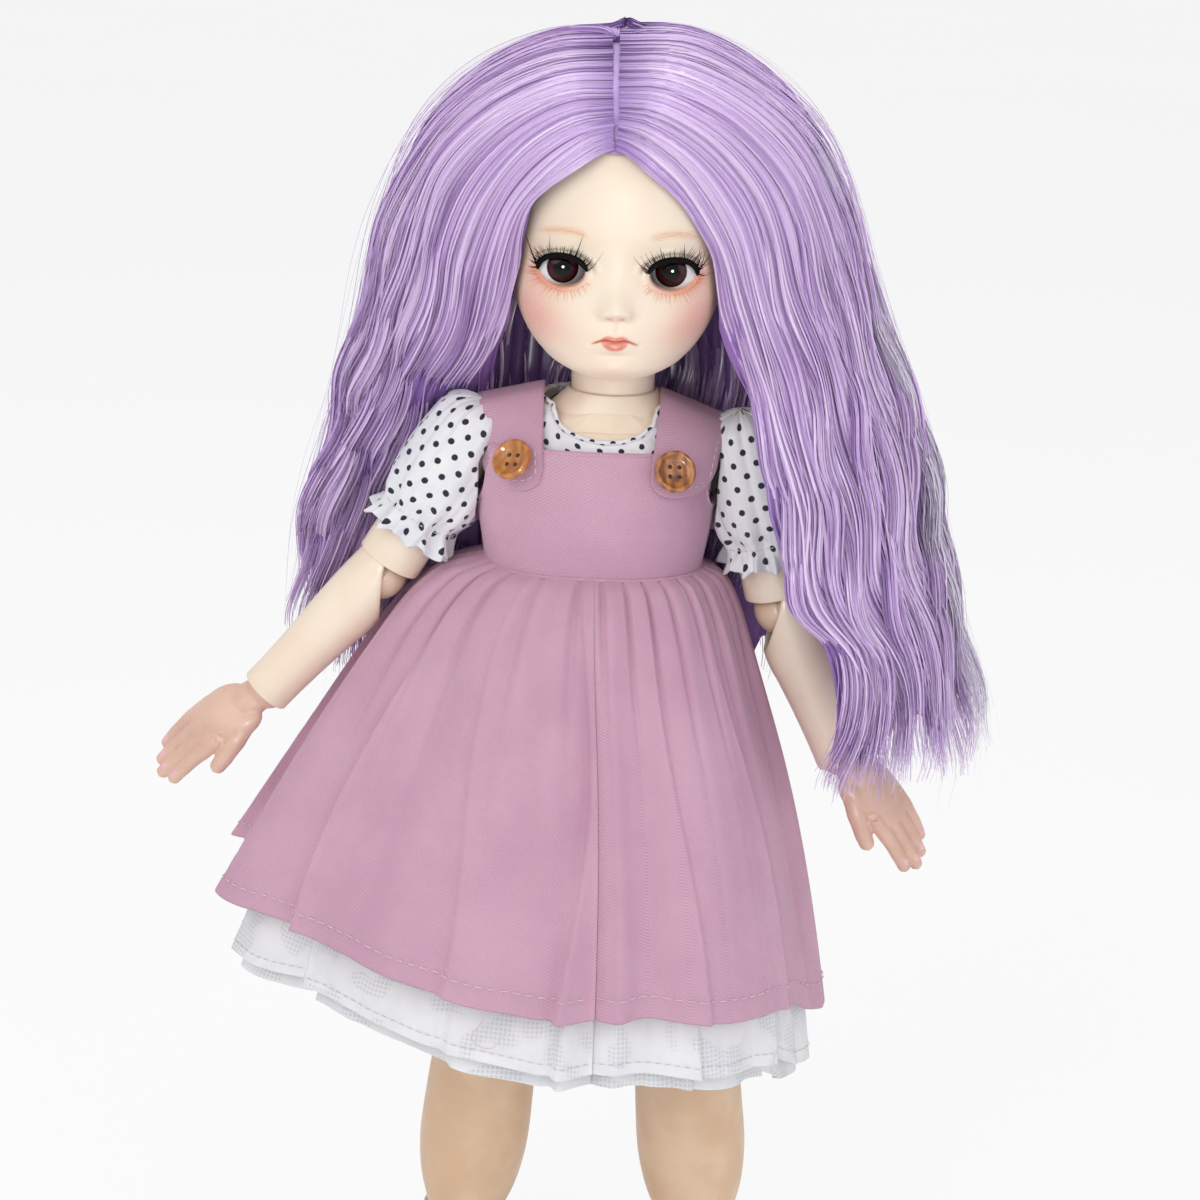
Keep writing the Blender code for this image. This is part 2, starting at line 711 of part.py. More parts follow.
def turned(name, profile, frame, colours, sides=LIMB_SIDES):
    """A profile of (radius, height) points, top to bottom, turned about Z; a cutter if bare."""
    bm = bmesh.new()
    points = [bm.verts.new((radius, 0, height)) for radius, height in profile]
    for first, second in zip(points, points[1:]):
        bm.edges.new((first, second))
    mesh = bpy.data.meshes.new(name)
    bm.to_mesh(mesh)
    bm.free()
    obj = put(name, mesh, frame, colours) if colours else cutter(name, mesh, frame)
    screw = obj.modifiers.new("turn", "SCREW")
    screw.axis = "Z"
    screw.steps = sides
    screw.render_steps = sides
    screw.use_merge_vertices = True
    screw.merge_threshold = WELD_DISTANCE
    screw.use_smooth_shade = True
    return obj


def superellipse(half_x, half_front, half_back, centre, height, sides, power=2.0):
    """A ring of points, anticlockwise from above, with its own front and back depth."""
    ring = []
    for index in range(sides):
        angle = 2 * pi * index / sides
        across = abs(cos(angle)) ** (2 / power)
        along = abs(sin(angle)) ** (2 / power)
        x = half_x * (across if cos(angle) > 0 else -across)
        y = half_back * along if sin(angle) > 0 else -half_front * along
        ring.append(Vector((centre[0] + x, centre[1] + y, height)))
    return ring


def skin_rings(bm, rings):
    """Faces between each ring of points and the next, and the vertices of every ring."""
    loops = [[bm.verts.new(point) for point in ring] for ring in rings]
    count = len(loops[0])
    for lower, upper in zip(loops, loops[1:]):
        for index in range(count):
            after = (index + 1) % count
            bm.faces.new((lower[index], lower[after], upper[after], upper[index]))
    return loops


def loft(name, rings):
    """A closed body through rings of equal count, with flat ends."""
    bm = bmesh.new()
    loops = skin_rings(bm, rings)
    bm.faces.new(list(reversed(loops[0])))
    bm.faces.new(loops[-1])
    return mesh_of(name, bm)


def sleeve_loft(name, outer, inner):
    """A closed tube wall between outer rings and inner rings, joined at both rims."""
    bm = bmesh.new()
    skin_rings(bm, outer + list(reversed(inner)) + [outer[0]])
    bmesh.ops.remove_doubles(bm, verts=bm.verts, dist=WELD_DISTANCE)
    return mesh_of(name, bm)


def prism(name, outline, depth, along="Y"):
    """A flat outline of (across, up) points, thickened both ways along one axis."""
    bm = bmesh.new()
    lower = []
    upper = []
    for across, height in outline:
        if along == "Y":
            lower.append(bm.verts.new((across, -depth, height)))
            upper.append(bm.verts.new((across, depth, height)))
        else:
            lower.append(bm.verts.new((-depth, across, height)))
            upper.append(bm.verts.new((depth, across, height)))
    count = len(outline)
    for index in range(count):
        after = (index + 1) % count
        bm.faces.new((lower[index], lower[after], upper[after], upper[index]))
    bm.faces.new(list(reversed(lower)))
    bm.faces.new(upper)
    return mesh_of(name, bm)


# Pegs, cups and slots


def ball_cutter(name, radius, frame):
    """A hollow in which a ball of this radius turns freely."""
    return cutter(name, ball(name, cup_radius(radius)), frame)


def hinge_peg(name, frame, disc_radius, peg_radius, peg_length, peg_axis, hinge_axis, colours):
    """A round peg that turns in one piece, ending in a disc on which the next piece hinges."""
    reach = Vector(peg_axis) * peg_length
    half = Vector(hinge_axis) * peg_radius
    obj = put(name, rod(name, disc_radius, -half, half, LIMB_SIDES), frame, colours)
    shank = Vector(peg_axis) * (disc_radius / 2)
    slim = peg_radius * PEG_SLIMMING_SHARE
    peg = cutter(name + "_shank", rod(name + "_shank", slim, shank, reach), frame)
    return cut(obj, peg, "UNION")


def peg_bore(name, frame, peg_radius, peg_length, peg_axis):
    start = Vector(peg_axis) * (-JOINT_GAP)
    end = Vector(peg_axis) * (peg_length + JOINT_GAP)
    radius = (peg_radius + JOINT_GAP) / cos(pi / SMALL_SIDES)
    return cutter(name, rod(name, radius, start, end, SMALL_SIDES, BORE_ROLL_DEG), frame)


def slot(name, frame, disc_radius, peg_radius, reach, first_deg, last_deg, along="Y"):
    """The hollow that a hinge disc and its swinging peg need, between two peg directions."""
    clear = (disc_radius + JOINT_GAP) / cos(pi / LIMB_SIDES)
    margin = asin(min(1, (peg_radius + JOINT_GAP) / disc_radius))
    first = radians(first_deg) - margin
    last = radians(last_deg) + margin
    steps = max(2, ceil((last - first) / (pi / 6)))
    outline = []
    for index in range(steps + 1):
        angle = first + (last - first) * index / steps
        outline.append((reach * cos(angle), reach * sin(angle)))
    rest = 2 * pi - (last - first)
    steps = max(4, ceil(rest / (pi / 8)))
    for index in range(steps + 1):
        angle = last + rest * index / steps
        outline.append((clear * cos(angle), clear * sin(angle)))
    return cutter(name, prism(name, outline, peg_radius + JOINT_GAP, along), frame)


# Torso, waist and pelvis


def section(shares_table, share):
    """The width, depth and lean shares at one height share, between the table's rows."""
    rows = shares_table
    for low, high in zip(rows, rows[1:]):
        if share <= high[0]:
            part = (share - low[0]) / (high[0] - low[0])
            return [a + (b - a) * part for a, b in zip(low[1:], high[1:])]
    return list(rows[-1][1:])


def torso_ring(share, grow, sides=BODY_SIDES):
    width, depth, lean, rise = section(TORSO_RINGS_SHARES, share)
    half_y = TORSO_HALF_DEPTH * depth + grow
    return superellipse(
        TORSO_HALF_WIDTH * width + grow,
        half_y,
        half_y,
        (0, TORSO_LEAN * lean),
        TORSO_BOTTOM + TORSO_HEIGHT * share + grow * rise,
        sides,
        TORSO_POWER,
    )


def torso_rings(low, high, grow):
    """Rings from one height share to another, standing off the torso by grow."""
    inside = [row[0] for row in TORSO_RINGS_SHARES if low < row[0] < high]
    return [torso_ring(share, grow) for share in (low, *inside, high)]


def make_torso(frame):
    torso = put("torso", loft("torso", torso_rings(0.0, 1.0, 0)), frame, SKIN)
    cut(torso, ball_cutter("waist_cup", WAIST_BALL_RADIUS, WAIST))
    cut(torso, peg_bore("waist_bore", WAIST, WAIST_PEG_RADIUS, WAIST_PEG_LENGTH, (0, 0, 1)))
    cut(torso, ball_cutter("neck_cup", NECK_BALL_RADIUS, NECK))
    for side in (LEFT, RIGHT):
        name = SIDE_NAMES[side]
        cut(torso, ball_cutter("shoulder_cup_" + name, SHOULDER_BALL_RADIUS, SHOULDERS[side]))
        bore_name = "shoulder_bore_" + name
        inward = (-side, 0, 0)
        bore = peg_bore(
            bore_name, SHOULDERS[side], SHOULDER_PEG_RADIUS, SHOULDER_PEG_LENGTH, inward
        )
        cut(torso, bore)
    return torso


def make_waist(frame):
    waist = put("waist_ball", ball("waist_ball", WAIST_BALL_RADIUS), frame, JOINT_SKIN)
    top = (0, 0, WAIST_PEG_LENGTH)
    peg = cutter("waist_peg", rod("waist_peg", WAIST_PEG_RADIUS, (0, 0, 0), top), frame)
    return cut(waist, peg, "UNION")


def make_pelvis(frame):
    rings = []
    bottom = PELVIS_TOP - PELVIS_HEIGHT - WAIST_HEIGHT
    for share, width, depth in PELVIS_RINGS_SHARES:
        half_y = PELVIS_HALF_DEPTH * depth
        height = bottom + PELVIS_HEIGHT * share
        rings.append(
            superellipse(
                PELVIS_HALF_WIDTH * width, half_y, half_y, (0, 0), height, BODY_SIDES, PELVIS_POWER
            )
        )
    pelvis = put("pelvis", loft("pelvis", rings), frame, SKIN)
    cut(pelvis, ball_cutter("pelvis_cup", WAIST_BALL_RADIUS, frame))
    for side in (LEFT, RIGHT):
        name = SIDE_NAMES[side]
        bore = peg_bore(
            "hip_bore_" + name, HIPS[side], HIP_PEG_RADIUS, HIP_PEG_LENGTH, (-side, 0, 0)
        )
        cut(pelvis, bore)
        cup = ball_cutter("hip_cup_" + name, HIP_DOME_RADIUS, HIPS[side])
        cup.matrix_local = turn(HIP_CUP_ROLL_DEG, "Z")
        cut(pelvis, cup)
        cut(pelvis, hip_room(side))
    return pelvis


def hip_room(side):
    """The space in front of, below and behind the hip that the thigh swings through."""
    radius = HIP_DOME_RADIUS + JOINT_GAP
    forward = radians(HIP_SWING_MAX_DEG)
    backward = radians(-HIP_SWING_MIN_DEG)
    front = (-radius * cos(forward), radius * sin(forward))
    back = (radius * cos(backward), radius * sin(backward))
    reach = radius * 2
    outline = [
        front,
        (-reach, front[1] - (reach + front[0]) / tan(forward)),
        (-reach, -reach),
        (reach, -reach),
        (reach, back[1]),
        back,
    ]
    name = "hip_room_" + SIDE_NAMES[side]
    return cutter(name, prism(name, outline, HIP_X - CROTCH_HALF_WIDTH, "X"), HIPS[side])


# Neck and head


def make_neck(frame):
    """A ball in the torso, a smooth column, and a flanged peg that the head turns on."""
    neck = put("neck", ball("neck", NECK_BALL_RADIUS), frame, SKIN)
    column_top = HEAD_SEAT_HEIGHT - NECK_BALL_HEIGHT - JOINT_GAP
    flange_low = HEAD_SEAT_HEIGHT - NECK_BALL_HEIGHT + NECK_WALL + JOINT_GAP
    flange_top = flange_low + NECK_FLANGE_THICKNESS
    profile = (
        (0, flange_top),
        (NECK_FLANGE_RADIUS, flange_top),
        (NECK_FLANGE_RADIUS, flange_low),
        (NECK_PEG_RADIUS, flange_low),
        (NECK_PEG_RADIUS, column_top),
        (NECK_COLUMN_RADIUS, column_top),
        (NECK_COLUMN_RADIUS, 0),
        (0, 0),
    )
    column = turned("neck_column", profile, frame, None, BALL_SIDES)
    return cut(neck, column, "UNION")


def head_ring(row, shrink, sides=HEAD_SIDES):
    share, width, front, back = row
    height = CHIN_HEIGHT - HEAD_SEAT_HEIGHT + shrink + (HEAD_HEIGHT - 2 * shrink) * share
    scale_x = (HEAD_HALF_WIDTH - shrink) * width
    return superellipse(
        scale_x,
        (FACE_DEPTH - shrink) * front,
        (SKULL_DEPTH - shrink) * back,
        (0, 0),
        height,
        sides,
        HEAD_POWER,
    )


def bump(x, z, centre_x, centre_z, half_x, half_z):
    """A smooth hill, 1 at its centre."""
    across = (x - centre_x) / half_x
    up = (z - centre_z) / half_z
    return exp(-across * across - up * up)


def shape_face(point):
    """Pushes the nose and mouth out of the front of the head and the eye sockets into it."""
    if point.y > 0:
        return
    x = point.x
    z = point.z + HEAD_SEAT_HEIGHT
    push = NOSE_REACH * bump(x, z, 0, NOSE_HEIGHT, NOSE_HALF_WIDTH, NOSE_HALF_HEIGHT)
    push += MOUTH_REACH * bump(x, z, 0, MOUTH_HEIGHT, MOUTH_HALF_WIDTH, MOUTH_HALF_HEIGHT)
    for side in (LEFT, RIGHT):
        socket = bump(
            x, z, side * EYE_SPACING, EYE_HEIGHT, SOCKET_HALF_WIDTH, SOCKET_HALF_HEIGHT
        )
        push -= SOCKET_DEPTH * socket
    point.y -= push


def head_solid(name):
    rings = [head_ring(row, 0) for row in HEAD_RINGS_SHARES]
    for ring in rings:
        for point in ring:
            shape_face(point)
    return loft(name, rings)


def eye_centre(side):
    """An eyeball's centre in the head's frame, set behind the face."""
    height = EYE_HEIGHT - HEAD_SEAT_HEIGHT
    out = (1 - (EYE_SPACING / HEAD_HALF_WIDTH) ** 2) ** 0.5
    face = -FACE_DEPTH * out * FACE_AT_EYES_SHARE + SOCKET_DEPTH
    return Vector((side * EYE_SPACING, face + EYE_SETBACK + EYE_RADIUS, height))


def oval(half_x, half_z, count):
    """An outline whose corners keep off the ball's own lines, so that the cut comes out clean."""
    angles = [2 * pi * index / count + radians(BORE_ROLL_DEG) for index in range(count)]
    return [(half_x * cos(angle), half_z * sin(angle)) for angle in angles]


def cap_split(name, frame, offset):
    """A block behind the tilted plane where the head's back cap comes off."""
    block = box(
        name,
        (-HEAD_HALF_WIDTH * 2, offset, -HEAD_HEIGHT * 2),
        (HEAD_HALF_WIDTH * 2, HEAD_HEIGHT * 2, HEAD_HEIGHT * 2),
    )
    obj = cutter(name, block, frame)
    obj.matrix_local = shift(0, CAP_EDGE_SETBACK, 0) @ turn(CAP_TILT_DEG, "X")
    return obj


def ear_shape(name, side, grow, frame):
    """A small flattened ball that stands out from the side of the head."""
    place = (
        side * (HEAD_HALF_WIDTH + EAR_REACH - EAR_HALF_WIDTH),
        EAR_SETBACK,
        EAR_HEIGHT - HEAD_SEAT_HEIGHT,
    )
    radius = EAR_HALF_HEIGHT + grow
    stretch = ((EAR_HALF_WIDTH + grow) / radius, (EAR_HALF_DEPTH + grow) / radius, 1)
    return cutter(name, ball(name, radius, SMALL_SIDES, place, stretch), frame)


def make_head(frame):
    """The hollow head and the cap that closes its back."""
    head = put("head_shell", head_solid("head_shell"), frame, SKIN)
    cap = put("head_cap", head_solid("head_cap"), frame, SKIN)
    for side in (LEFT, RIGHT):
        cut(head, ear_shape("ear_" + SIDE_NAMES[side], side, 0, frame), "UNION")
    inside = [head_ring(row, HEAD_WALL, CAVITY_SIDES) for row in HEAD_RINGS_SHARES[2::2]]
    cavity = cutter("head_cavity", loft("head_cavity", inside), frame)
    cut(head, cavity)
    cut(cap, cavity)
    cut(head, cap_split("cap_split_head", frame, -JOINT_GAP / 2))
    cut(cap, cap_split("cap_split_cap", frame, JOINT_GAP / 2), "INTERSECT")
    for side in (LEFT, RIGHT):
        cut_eye_opening(head, frame, side)
    cut_neck_hole(head, frame)
    return head, cap


def cut_eye_opening(head, frame, side):
    name = SIDE_NAMES[side]
    centre = eye_centre(side)
    seat = ball("eye_seat_" + name, cup_radius(EYE_RADIUS, BALL_SIDES), BALL_SIDES, centre)
    outline = oval(EYE_OPENING_HALF_WIDTH, EYE_OPENING_HALF_HEIGHT, SMALL_SIDES)
    opening = prism("eye_opening_" + name, outline, EYE_RADIUS * 2)
    obj = cutter("eye_opening_" + name, opening, frame)
    obj.location = centre - Vector((0, EYE_RADIUS * 2, 0))
    cut(head, obj)
    cut(head, cutter("eye_seat_" + name, seat, frame))


def cut_neck_hole(head, frame):
    """A recess that the neck's column runs into, and a round hole for its peg."""
    recess_radius = (NECK_COLUMN_RADIUS + JOINT_GAP * 2) / cos(pi / BALL_SIDES)
    recess = rod(
        "neck_recess",
        recess_radius,
        (0, NECK_SETBACK, -CUT_OVERRUN),
        (0, NECK_SETBACK, 0),
        BALL_SIDES,
    )
    cut(head, cutter("neck_recess", recess, frame))
    hole_radius = (NECK_PEG_RADIUS + JOINT_GAP) / cos(pi / BALL_SIDES)
    hole = rod(
        "neck_hole",
        hole_radius,
        (0, NECK_SETBACK, -JOINT_GAP),
        (0, NECK_SETBACK, FLANGE_ROOM_HEIGHT),
        BALL_SIDES,
    )
    cut(head, cutter("neck_hole", hole, frame))
    room_radius = (NECK_FLANGE_RADIUS + JOINT_GAP * 2) / cos(pi / BALL_SIDES)
    room = rod(
        "flange_room",
        room_radius,
        (0, NECK_SETBACK, NECK_WALL),
        (0, NECK_SETBACK, FLANGE_ROOM_HEIGHT),
        BALL_SIDES,
    )
    cut(head, cutter("flange_room", room, frame))


def make_eyes(frame):
    for side in (LEFT, RIGHT):
        name = "eye_" + SIDE_NAMES[side]
        mesh = ball(name, EYE_RADIUS, BALL_SIDES, eye_centre(side))
        put(name, mesh, frame, EYE_GLASS)


def make_lashes(frame):
    """A thin strip along each upper lid, just proud of the face."""
    for side in (LEFT, RIGHT):
        name = "lash_" + SIDE_NAMES[side]
        centre = eye_centre(side)
        curve = bpy.data.curves.new(name, "CURVE")
        curve.dimensions = "3D"
        curve.bevel_depth = LASH_RADIUS
        curve.bevel_resolution = 1
        curve.use_fill_caps = True
        spline = curve.splines.new("POLY")
        spline.points.add(LASH_POINTS - 1)
        for index in range(LASH_POINTS):
            passed = index / (LASH_POINTS - 1)
            angle = pi * (LASH_START_SHARE + (1 - 2 * LASH_START_SHARE) * passed)
            x = centre.x + LASH_HALF_WIDTH * cos(angle)
            rise = (EYE_OPENING_HALF_HEIGHT + LASH_RISE) * sin(angle)
            bulge = FACE_DEPTH * (1 - (x / HEAD_HALF_WIDTH) ** 2) ** 0.5
            y = -bulge - LASH_STAND_OFF
            spline.points[index].co = (x, y, centre.z + rise, 1)
        obj = bpy.data.objects.new(name, curve)
        DOLL.objects.link(obj)
        obj.parent = frame
        curve.materials.append(finish(name, *LASH_BLACK))


# Arms


def slot_range(side, least_deg, most_deg):
    """Where a peg that points at the body lies in a limb's frame, over its sideways range."""
    if side == LEFT:
        return 180 - most_deg, 180 - least_deg
    return least_deg, most_deg


def mouth(start, reach, height, angle_deg):
    """A wedge outline (across, up) that opens a limb's rim on one side so the joint can bend."""
    drop = (reach + start) * tan(radians(angle_deg))
    return [
        (-start, height),
        (reach, height - drop),
        (reach, height + reach),
        (-start, height + reach),
    ]


def dome(radius, quarter_steps=4):
    """The points of a rounded end, from its tip on the axis down to its equator."""
    points = [(0, radius)]
    for step in range(1, quarter_steps + 1):
        angle = pi / 2 * step / quarter_steps
        points.append((radius * sin(angle), radius * cos(angle)))
    return points


def make_upper_arm(side):
    name = "upper_arm_" + SIDE_NAMES[side]
    frame = ARMS[side]
    end = -UPPER_ARM_LENGTH + ELBOW_RIM_RISE
    profile = dome(SHOULDER_BALL_RADIUS) + [
        (UPPER_ARM_TOP_RADIUS, -SHOULDER_BALL_RADIUS),
        (UPPER_ARM_END_RADIUS, end),
        (0, end),
    ]
    arm = turned(name, profile, frame, SKIN)
    cut(arm, ball_cutter("elbow_cup_upper_" + SIDE_NAMES[side], ELBOW_BALL_RADIUS, ELBOWS[side]))
    bore_name = "elbow_bore_" + SIDE_NAMES[side]
    cut(arm, peg_bore(bore_name, ELBOWS[side], ELBOW_PEG_RADIUS, ELBOW_PEG_LENGTH, (0, 0, 1)))
    first, last = slot_range(side, ARM_LIFT_MIN_DEG, ARM_LIFT_MAX_DEG)
    hinge = slot(
        "shoulder_slot_" + SIDE_NAMES[side],
        frame,
        SHOULDER_DISC_RADIUS,
        SHOULDER_PEG_RADIUS,
        SHOULDER_BALL_RADIUS + CUT_OVERRUN,
        first,
        last,
    )
    return cut(arm, hinge)


def make_elbow(side):
    """The ball between the arm's two halves, with the peg that turns in the upper arm."""
    name = "elbow_ball_" + SIDE_NAMES[side]
    elbow = put(name, ball(name, ELBOW_BALL_RADIUS), ELBOWS[side], JOINT_SKIN)
    top = (0, 0, ELBOW_PEG_LENGTH)
    peg = rod(name + "_peg", ELBOW_PEG_RADIUS, (0, 0, 0), top)
    return cut(elbow, cutter(name + "_peg", peg, ELBOWS[side]), "UNION")


def make_forearm(side):
    name = "forearm_" + SIDE_NAMES[side]
    frame = FOREARMS[side]
    end = -FOREARM_LENGTH - WRIST_RIM_DROP
    profile = (
        (0, ELBOW_RIM_RISE),
        (FOREARM_TOP_RADIUS, ELBOW_RIM_RISE),
        (FOREARM_TOP_RADIUS, -FOREARM_LENGTH * FOREARM_SWELL_SHARE),
        (FOREARM_END_RADIUS, end),
        (0, end),
    )
    arm = turned(name, profile, frame, SKIN)
    short = SIDE_NAMES[side]
    cut(arm, ball_cutter("elbow_cup_lower_" + short, ELBOW_BALL_RADIUS, frame))
    cut(arm, ball_cutter("wrist_cup_" + short, WRIST_BALL_RADIUS, WRISTS[side]))
    bore = peg_bore(
        "wrist_bore_" + short, WRISTS[side], WRIST_PEG_RADIUS, WRIST_PEG_LENGTH, (0, 0, 1)
    )
    cut(arm, bore)
    reach = FOREARM_TOP_RADIUS + JOINT_GAP
    wedge = mouth(ELBOW_MOUTH_START, reach, ELBOW_RIM_RISE, ELBOW_MOUTH_DEG)
    outline = [(-side * across, height) for across, height in wedge]
    opening = prism("elbow_mouth_" + short, outline, reach)
    cut(arm, cutter("elbow_mouth_" + short, opening, frame))
    ceiling = box(
        "elbow_stop_" + short,
        (-CUT_OVERRUN, -CUT_OVERRUN, ELBOW_RIM_RISE - JOINT_GAP),
        (CUT_OVERRUN, CUT_OVERRUN, ELBOW_RIM_RISE + CUT_OVERRUN),
    )
    return cut(arm, cutter("elbow_stop_" + short, ceiling, ELBOWS[side]))


def digit(name, root, tip, root_radius, tip_radius, droop):
    """A finger: a tapering rounded rod that curves towards the palm (+Y) over its length."""
    root = Vector(root)
    along = Vector(tip) - root
    rings = []
    for share, thick in FINGER_RINGS_SHARES:
        centre = root + along * share + Vector((0, droop * share * share, 0))
        radius = (root_radius + (tip_radius - root_radius) * share) * thick
        ring = []
        for index in range(FINGER_SIDES):
            angle = -2 * pi * index / FINGER_SIDES
            ring.append(centre + Vector((radius * cos(angle), radius * sin(angle), 0)))
        rings.append(ring)
    return loft(name, rings)


def make_hand(side):
    """A palm with four closed fingers and a thumb, on the ball that sits in the forearm."""
    short = SIDE_NAMES[side]
    frame = HANDS[side]
    hand = put("hand_" + short, ball("hand_" + short, WRIST_BALL_RADIUS), frame, HAND_SKIN)
    twisted = empty("palm_" + short, frame, turn(side * HAND_TWIST_DEG, "Z"))
    rings = []
    for share, width, thick in PALM_RINGS_SHARES:
        half_y = PALM_HALF_THICKNESS * thick
        ring = superellipse(
            PALM_HALF_WIDTH * width,
            half_y,
            half_y,
            (0, 0),
            -PALM_LENGTH * share,
            PALM_SIDES,
            PALM_POWER,
        )
        rings.append(ring)
    cut(hand, cutter("palm_" + short + "_body", loft("palm_" + short, rings), twisted), "UNION")
    spacing = PALM_HALF_WIDTH * 2 / (len(FINGER_LENGTH_SHARES) + FINGER_CROWDING_SHARE)
    for index, length_share in enumerate(FINGER_LENGTH_SHARES):
        name = "finger_" + str(index) + "_" + short
        x = side * spacing * ((len(FINGER_LENGTH_SHARES) - 1) / 2 - index)
        root = (x, 0, -PALM_LENGTH * FINGER_ROOT_SHARE)
        tip = (x, 0, -PALM_LENGTH - HAND_LENGTH * length_share)
        mesh = digit(name, root, tip, FINGER_RADIUS, FINGER_TIP_RADIUS, FINGER_DROOP)
        cut(hand, cutter(name, mesh, twisted), "UNION")
    across_share, down_share = THUMB_ROOT_SHARES
    root = (-side * PALM_HALF_WIDTH * across_share, 0, -PALM_LENGTH * down_share)
    tip = (-side * (PALM_HALF_WIDTH + THUMB_SPREAD), FINGER_DROOP, -PALM_LENGTH - THUMB_PASS)
    name = "thumb_" + short
    mesh = digit(name, root, tip, THUMB_RADIUS, FINGER_TIP_RADIUS, 0)
    cut(hand, cutter(name, mesh, twisted), "UNION")
    if side == LEFT:
        first, last = 90 - WRIST_BEND_MAX_DEG, 90 - WRIST_BEND_MIN_DEG
    else:
        first, last = 90 + WRIST_BEND_MIN_DEG, 90 + WRIST_BEND_MAX_DEG
    hinge = slot(
        "wrist_slot_" + short,
        frame,
        WRIST_DISC_RADIUS,
        WRIST_PEG_RADIUS,
        WRIST_BALL_RADIUS * 2,
        first,
        last,
    )
    return cut(hand, hinge)


def make_arm(side):
    short = SIDE_NAMES[side]
    hinge_peg(
        "shoulder_peg_" + short,
        SHOULDERS[side],
        SHOULDER_DISC_RADIUS,
        SHOULDER_PEG_RADIUS,
        SHOULDER_PEG_LENGTH,
        (-side, 0, 0),
        (0, 1, 0),
        JOINT_SKIN,
    )
    make_upper_arm(side)
    make_elbow(side)
    make_forearm(side)
    hinge_peg(
        "wrist_peg_" + short,
        WRISTS[side],
        WRIST_DISC_RADIUS,
        WRIST_PEG_RADIUS,
        WRIST_PEG_LENGTH,
        (0, 0, 1),
        (0, 1, 0),
        JOINT_SKIN,
    )
    make_hand(side)


# Legs


def make_thigh(side):
    short = SIDE_NAMES[side]
    name = "thigh_" + short
    frame = LEGS[side]
    end = -THIGH_LENGTH + KNEE_RIM_RISE
    profile = dome(HIP_DOME_RADIUS) + [
        (THIGH_TOP_RADIUS, -HIP_DOME_RADIUS),
        (THIGH_END_RADIUS, end),
        (0, end),
    ]
    thigh = turned(name, profile, frame, LEG_SKIN)
    first, last = slot_range(side, LEG_SPREAD_MIN_DEG, LEG_SPREAD_MAX_DEG)
    hinge = slot(
        "hip_slot_" + short,
        frame,
        HIP_DISC_RADIUS,
        HIP_PEG_RADIUS,
        HIP_DOME_RADIUS + CUT_OVERRUN,
        first,
        last,
    )
    cut(thigh, hinge)
    cut(thigh, ball_cutter("knee_cup_upper_" + short, KNEE_BALL_RADIUS, KNEES[side]))
    reach = THIGH_END_RADIUS + JOINT_GAP * 2
    wedge = mouth(0, reach, -KNEE_RIM_RISE, KNEE_MOUTH_DEG)
    outline = [(across, -height) for across, height in wedge]
    opening = prism("knee_mouth_upper_" + short, outline, CUT_OVERRUN, "X")
    return cut(thigh, cutter("knee_mouth_upper_" + short, opening, KNEES[side]))


def make_knee(side):
    """Two balls joined by a neck as thick as they are: the thigh and the calf each turn on one."""
    short = SIDE_NAMES[side]
    radius = KNEE_BALL_RADIUS
    lower = [(across, -KNEE_SPACING - height) for across, height in reversed(dome(radius))]
    return turned("knee_" + short, dome(radius) + lower, KNEES[side], JOINT_SKIN)


def make_calf(side):
    short = SIDE_NAMES[side]
    frame = CALVES[side]
    end = -CALF_LENGTH + ANKLE_RIM_RISE
    profile = [(0, -KNEE_RIM_RISE)]
    for share, thick in CALF_RINGS_SHARES:
        height = -KNEE_RIM_RISE + (end + KNEE_RIM_RISE) * share
        profile.append((CALF_RADIUS * thick, height))
    profile.append((0, end))
    calf = turned("calf_" + short, profile, frame, LEG_SKIN)
    cut(calf, ball_cutter("knee_cup_lower_" + short, KNEE_BALL_RADIUS, frame))
    reach = CALF_RADIUS
    wedge = mouth(0, reach, -KNEE_RIM_RISE, KNEE_MOUTH_DEG)
    opening = prism("knee_mouth_lower_" + short, wedge, CUT_OVERRUN, "X")
    cut(calf, cutter("knee_mouth_lower_" + short, opening, frame))
    cut(calf, ball_cutter("ankle_cup_" + short, ANKLE_BALL_RADIUS, ANKLES[side]))
    bore = peg_bore(
        "ankle_bore_" + short, ANKLES[side], ANKLE_PEG_RADIUS, ANKLE_PEG_LENGTH, (0, 0, 1)
    )
    return cut(calf, bore)


def foot_rings(grow):
    """Upright rings from heel to toe, standing off the foot by grow."""
    rings = []
    bottom = INSOLE_HEIGHT - ANKLE_HEIGHT
    length = FOOT_LENGTH + grow * 2
    for share, width, height in FOOT_RINGS_SHARES:
        y = FOOT_HEEL_BACK + grow - length * share
        half_x = FOOT_HALF_WIDTH * width + grow
        half_z = FOOT_HEIGHT * height / 2 + grow
        middle = bottom + FOOT_HEIGHT * height / 2
        ring = []
        for index in range(FOOT_SIDES):
            angle = 2 * pi * index / FOOT_SIDES
            across = abs(cos(angle)) ** FOOT_SQUARENESS_SHARE
            up = abs(sin(angle)) ** FOOT_SQUARENESS_SHARE
            x = half_x * (across if cos(angle) > 0 else -across)
            z = half_z * (up if sin(angle) > 0 else -up)
            ring.append(Vector((x, y, middle + z)))
        rings.append(ring)
    return rings


def ankle_post(name, radius, top):
    """The round instep that rises from the foot towards the ankle."""
    low = INSOLE_HEIGHT - ANKLE_HEIGHT + BOOT_WALL
    return rod(name, radius, (0, 0, low), (0, 0, top), LIMB_SIDES)


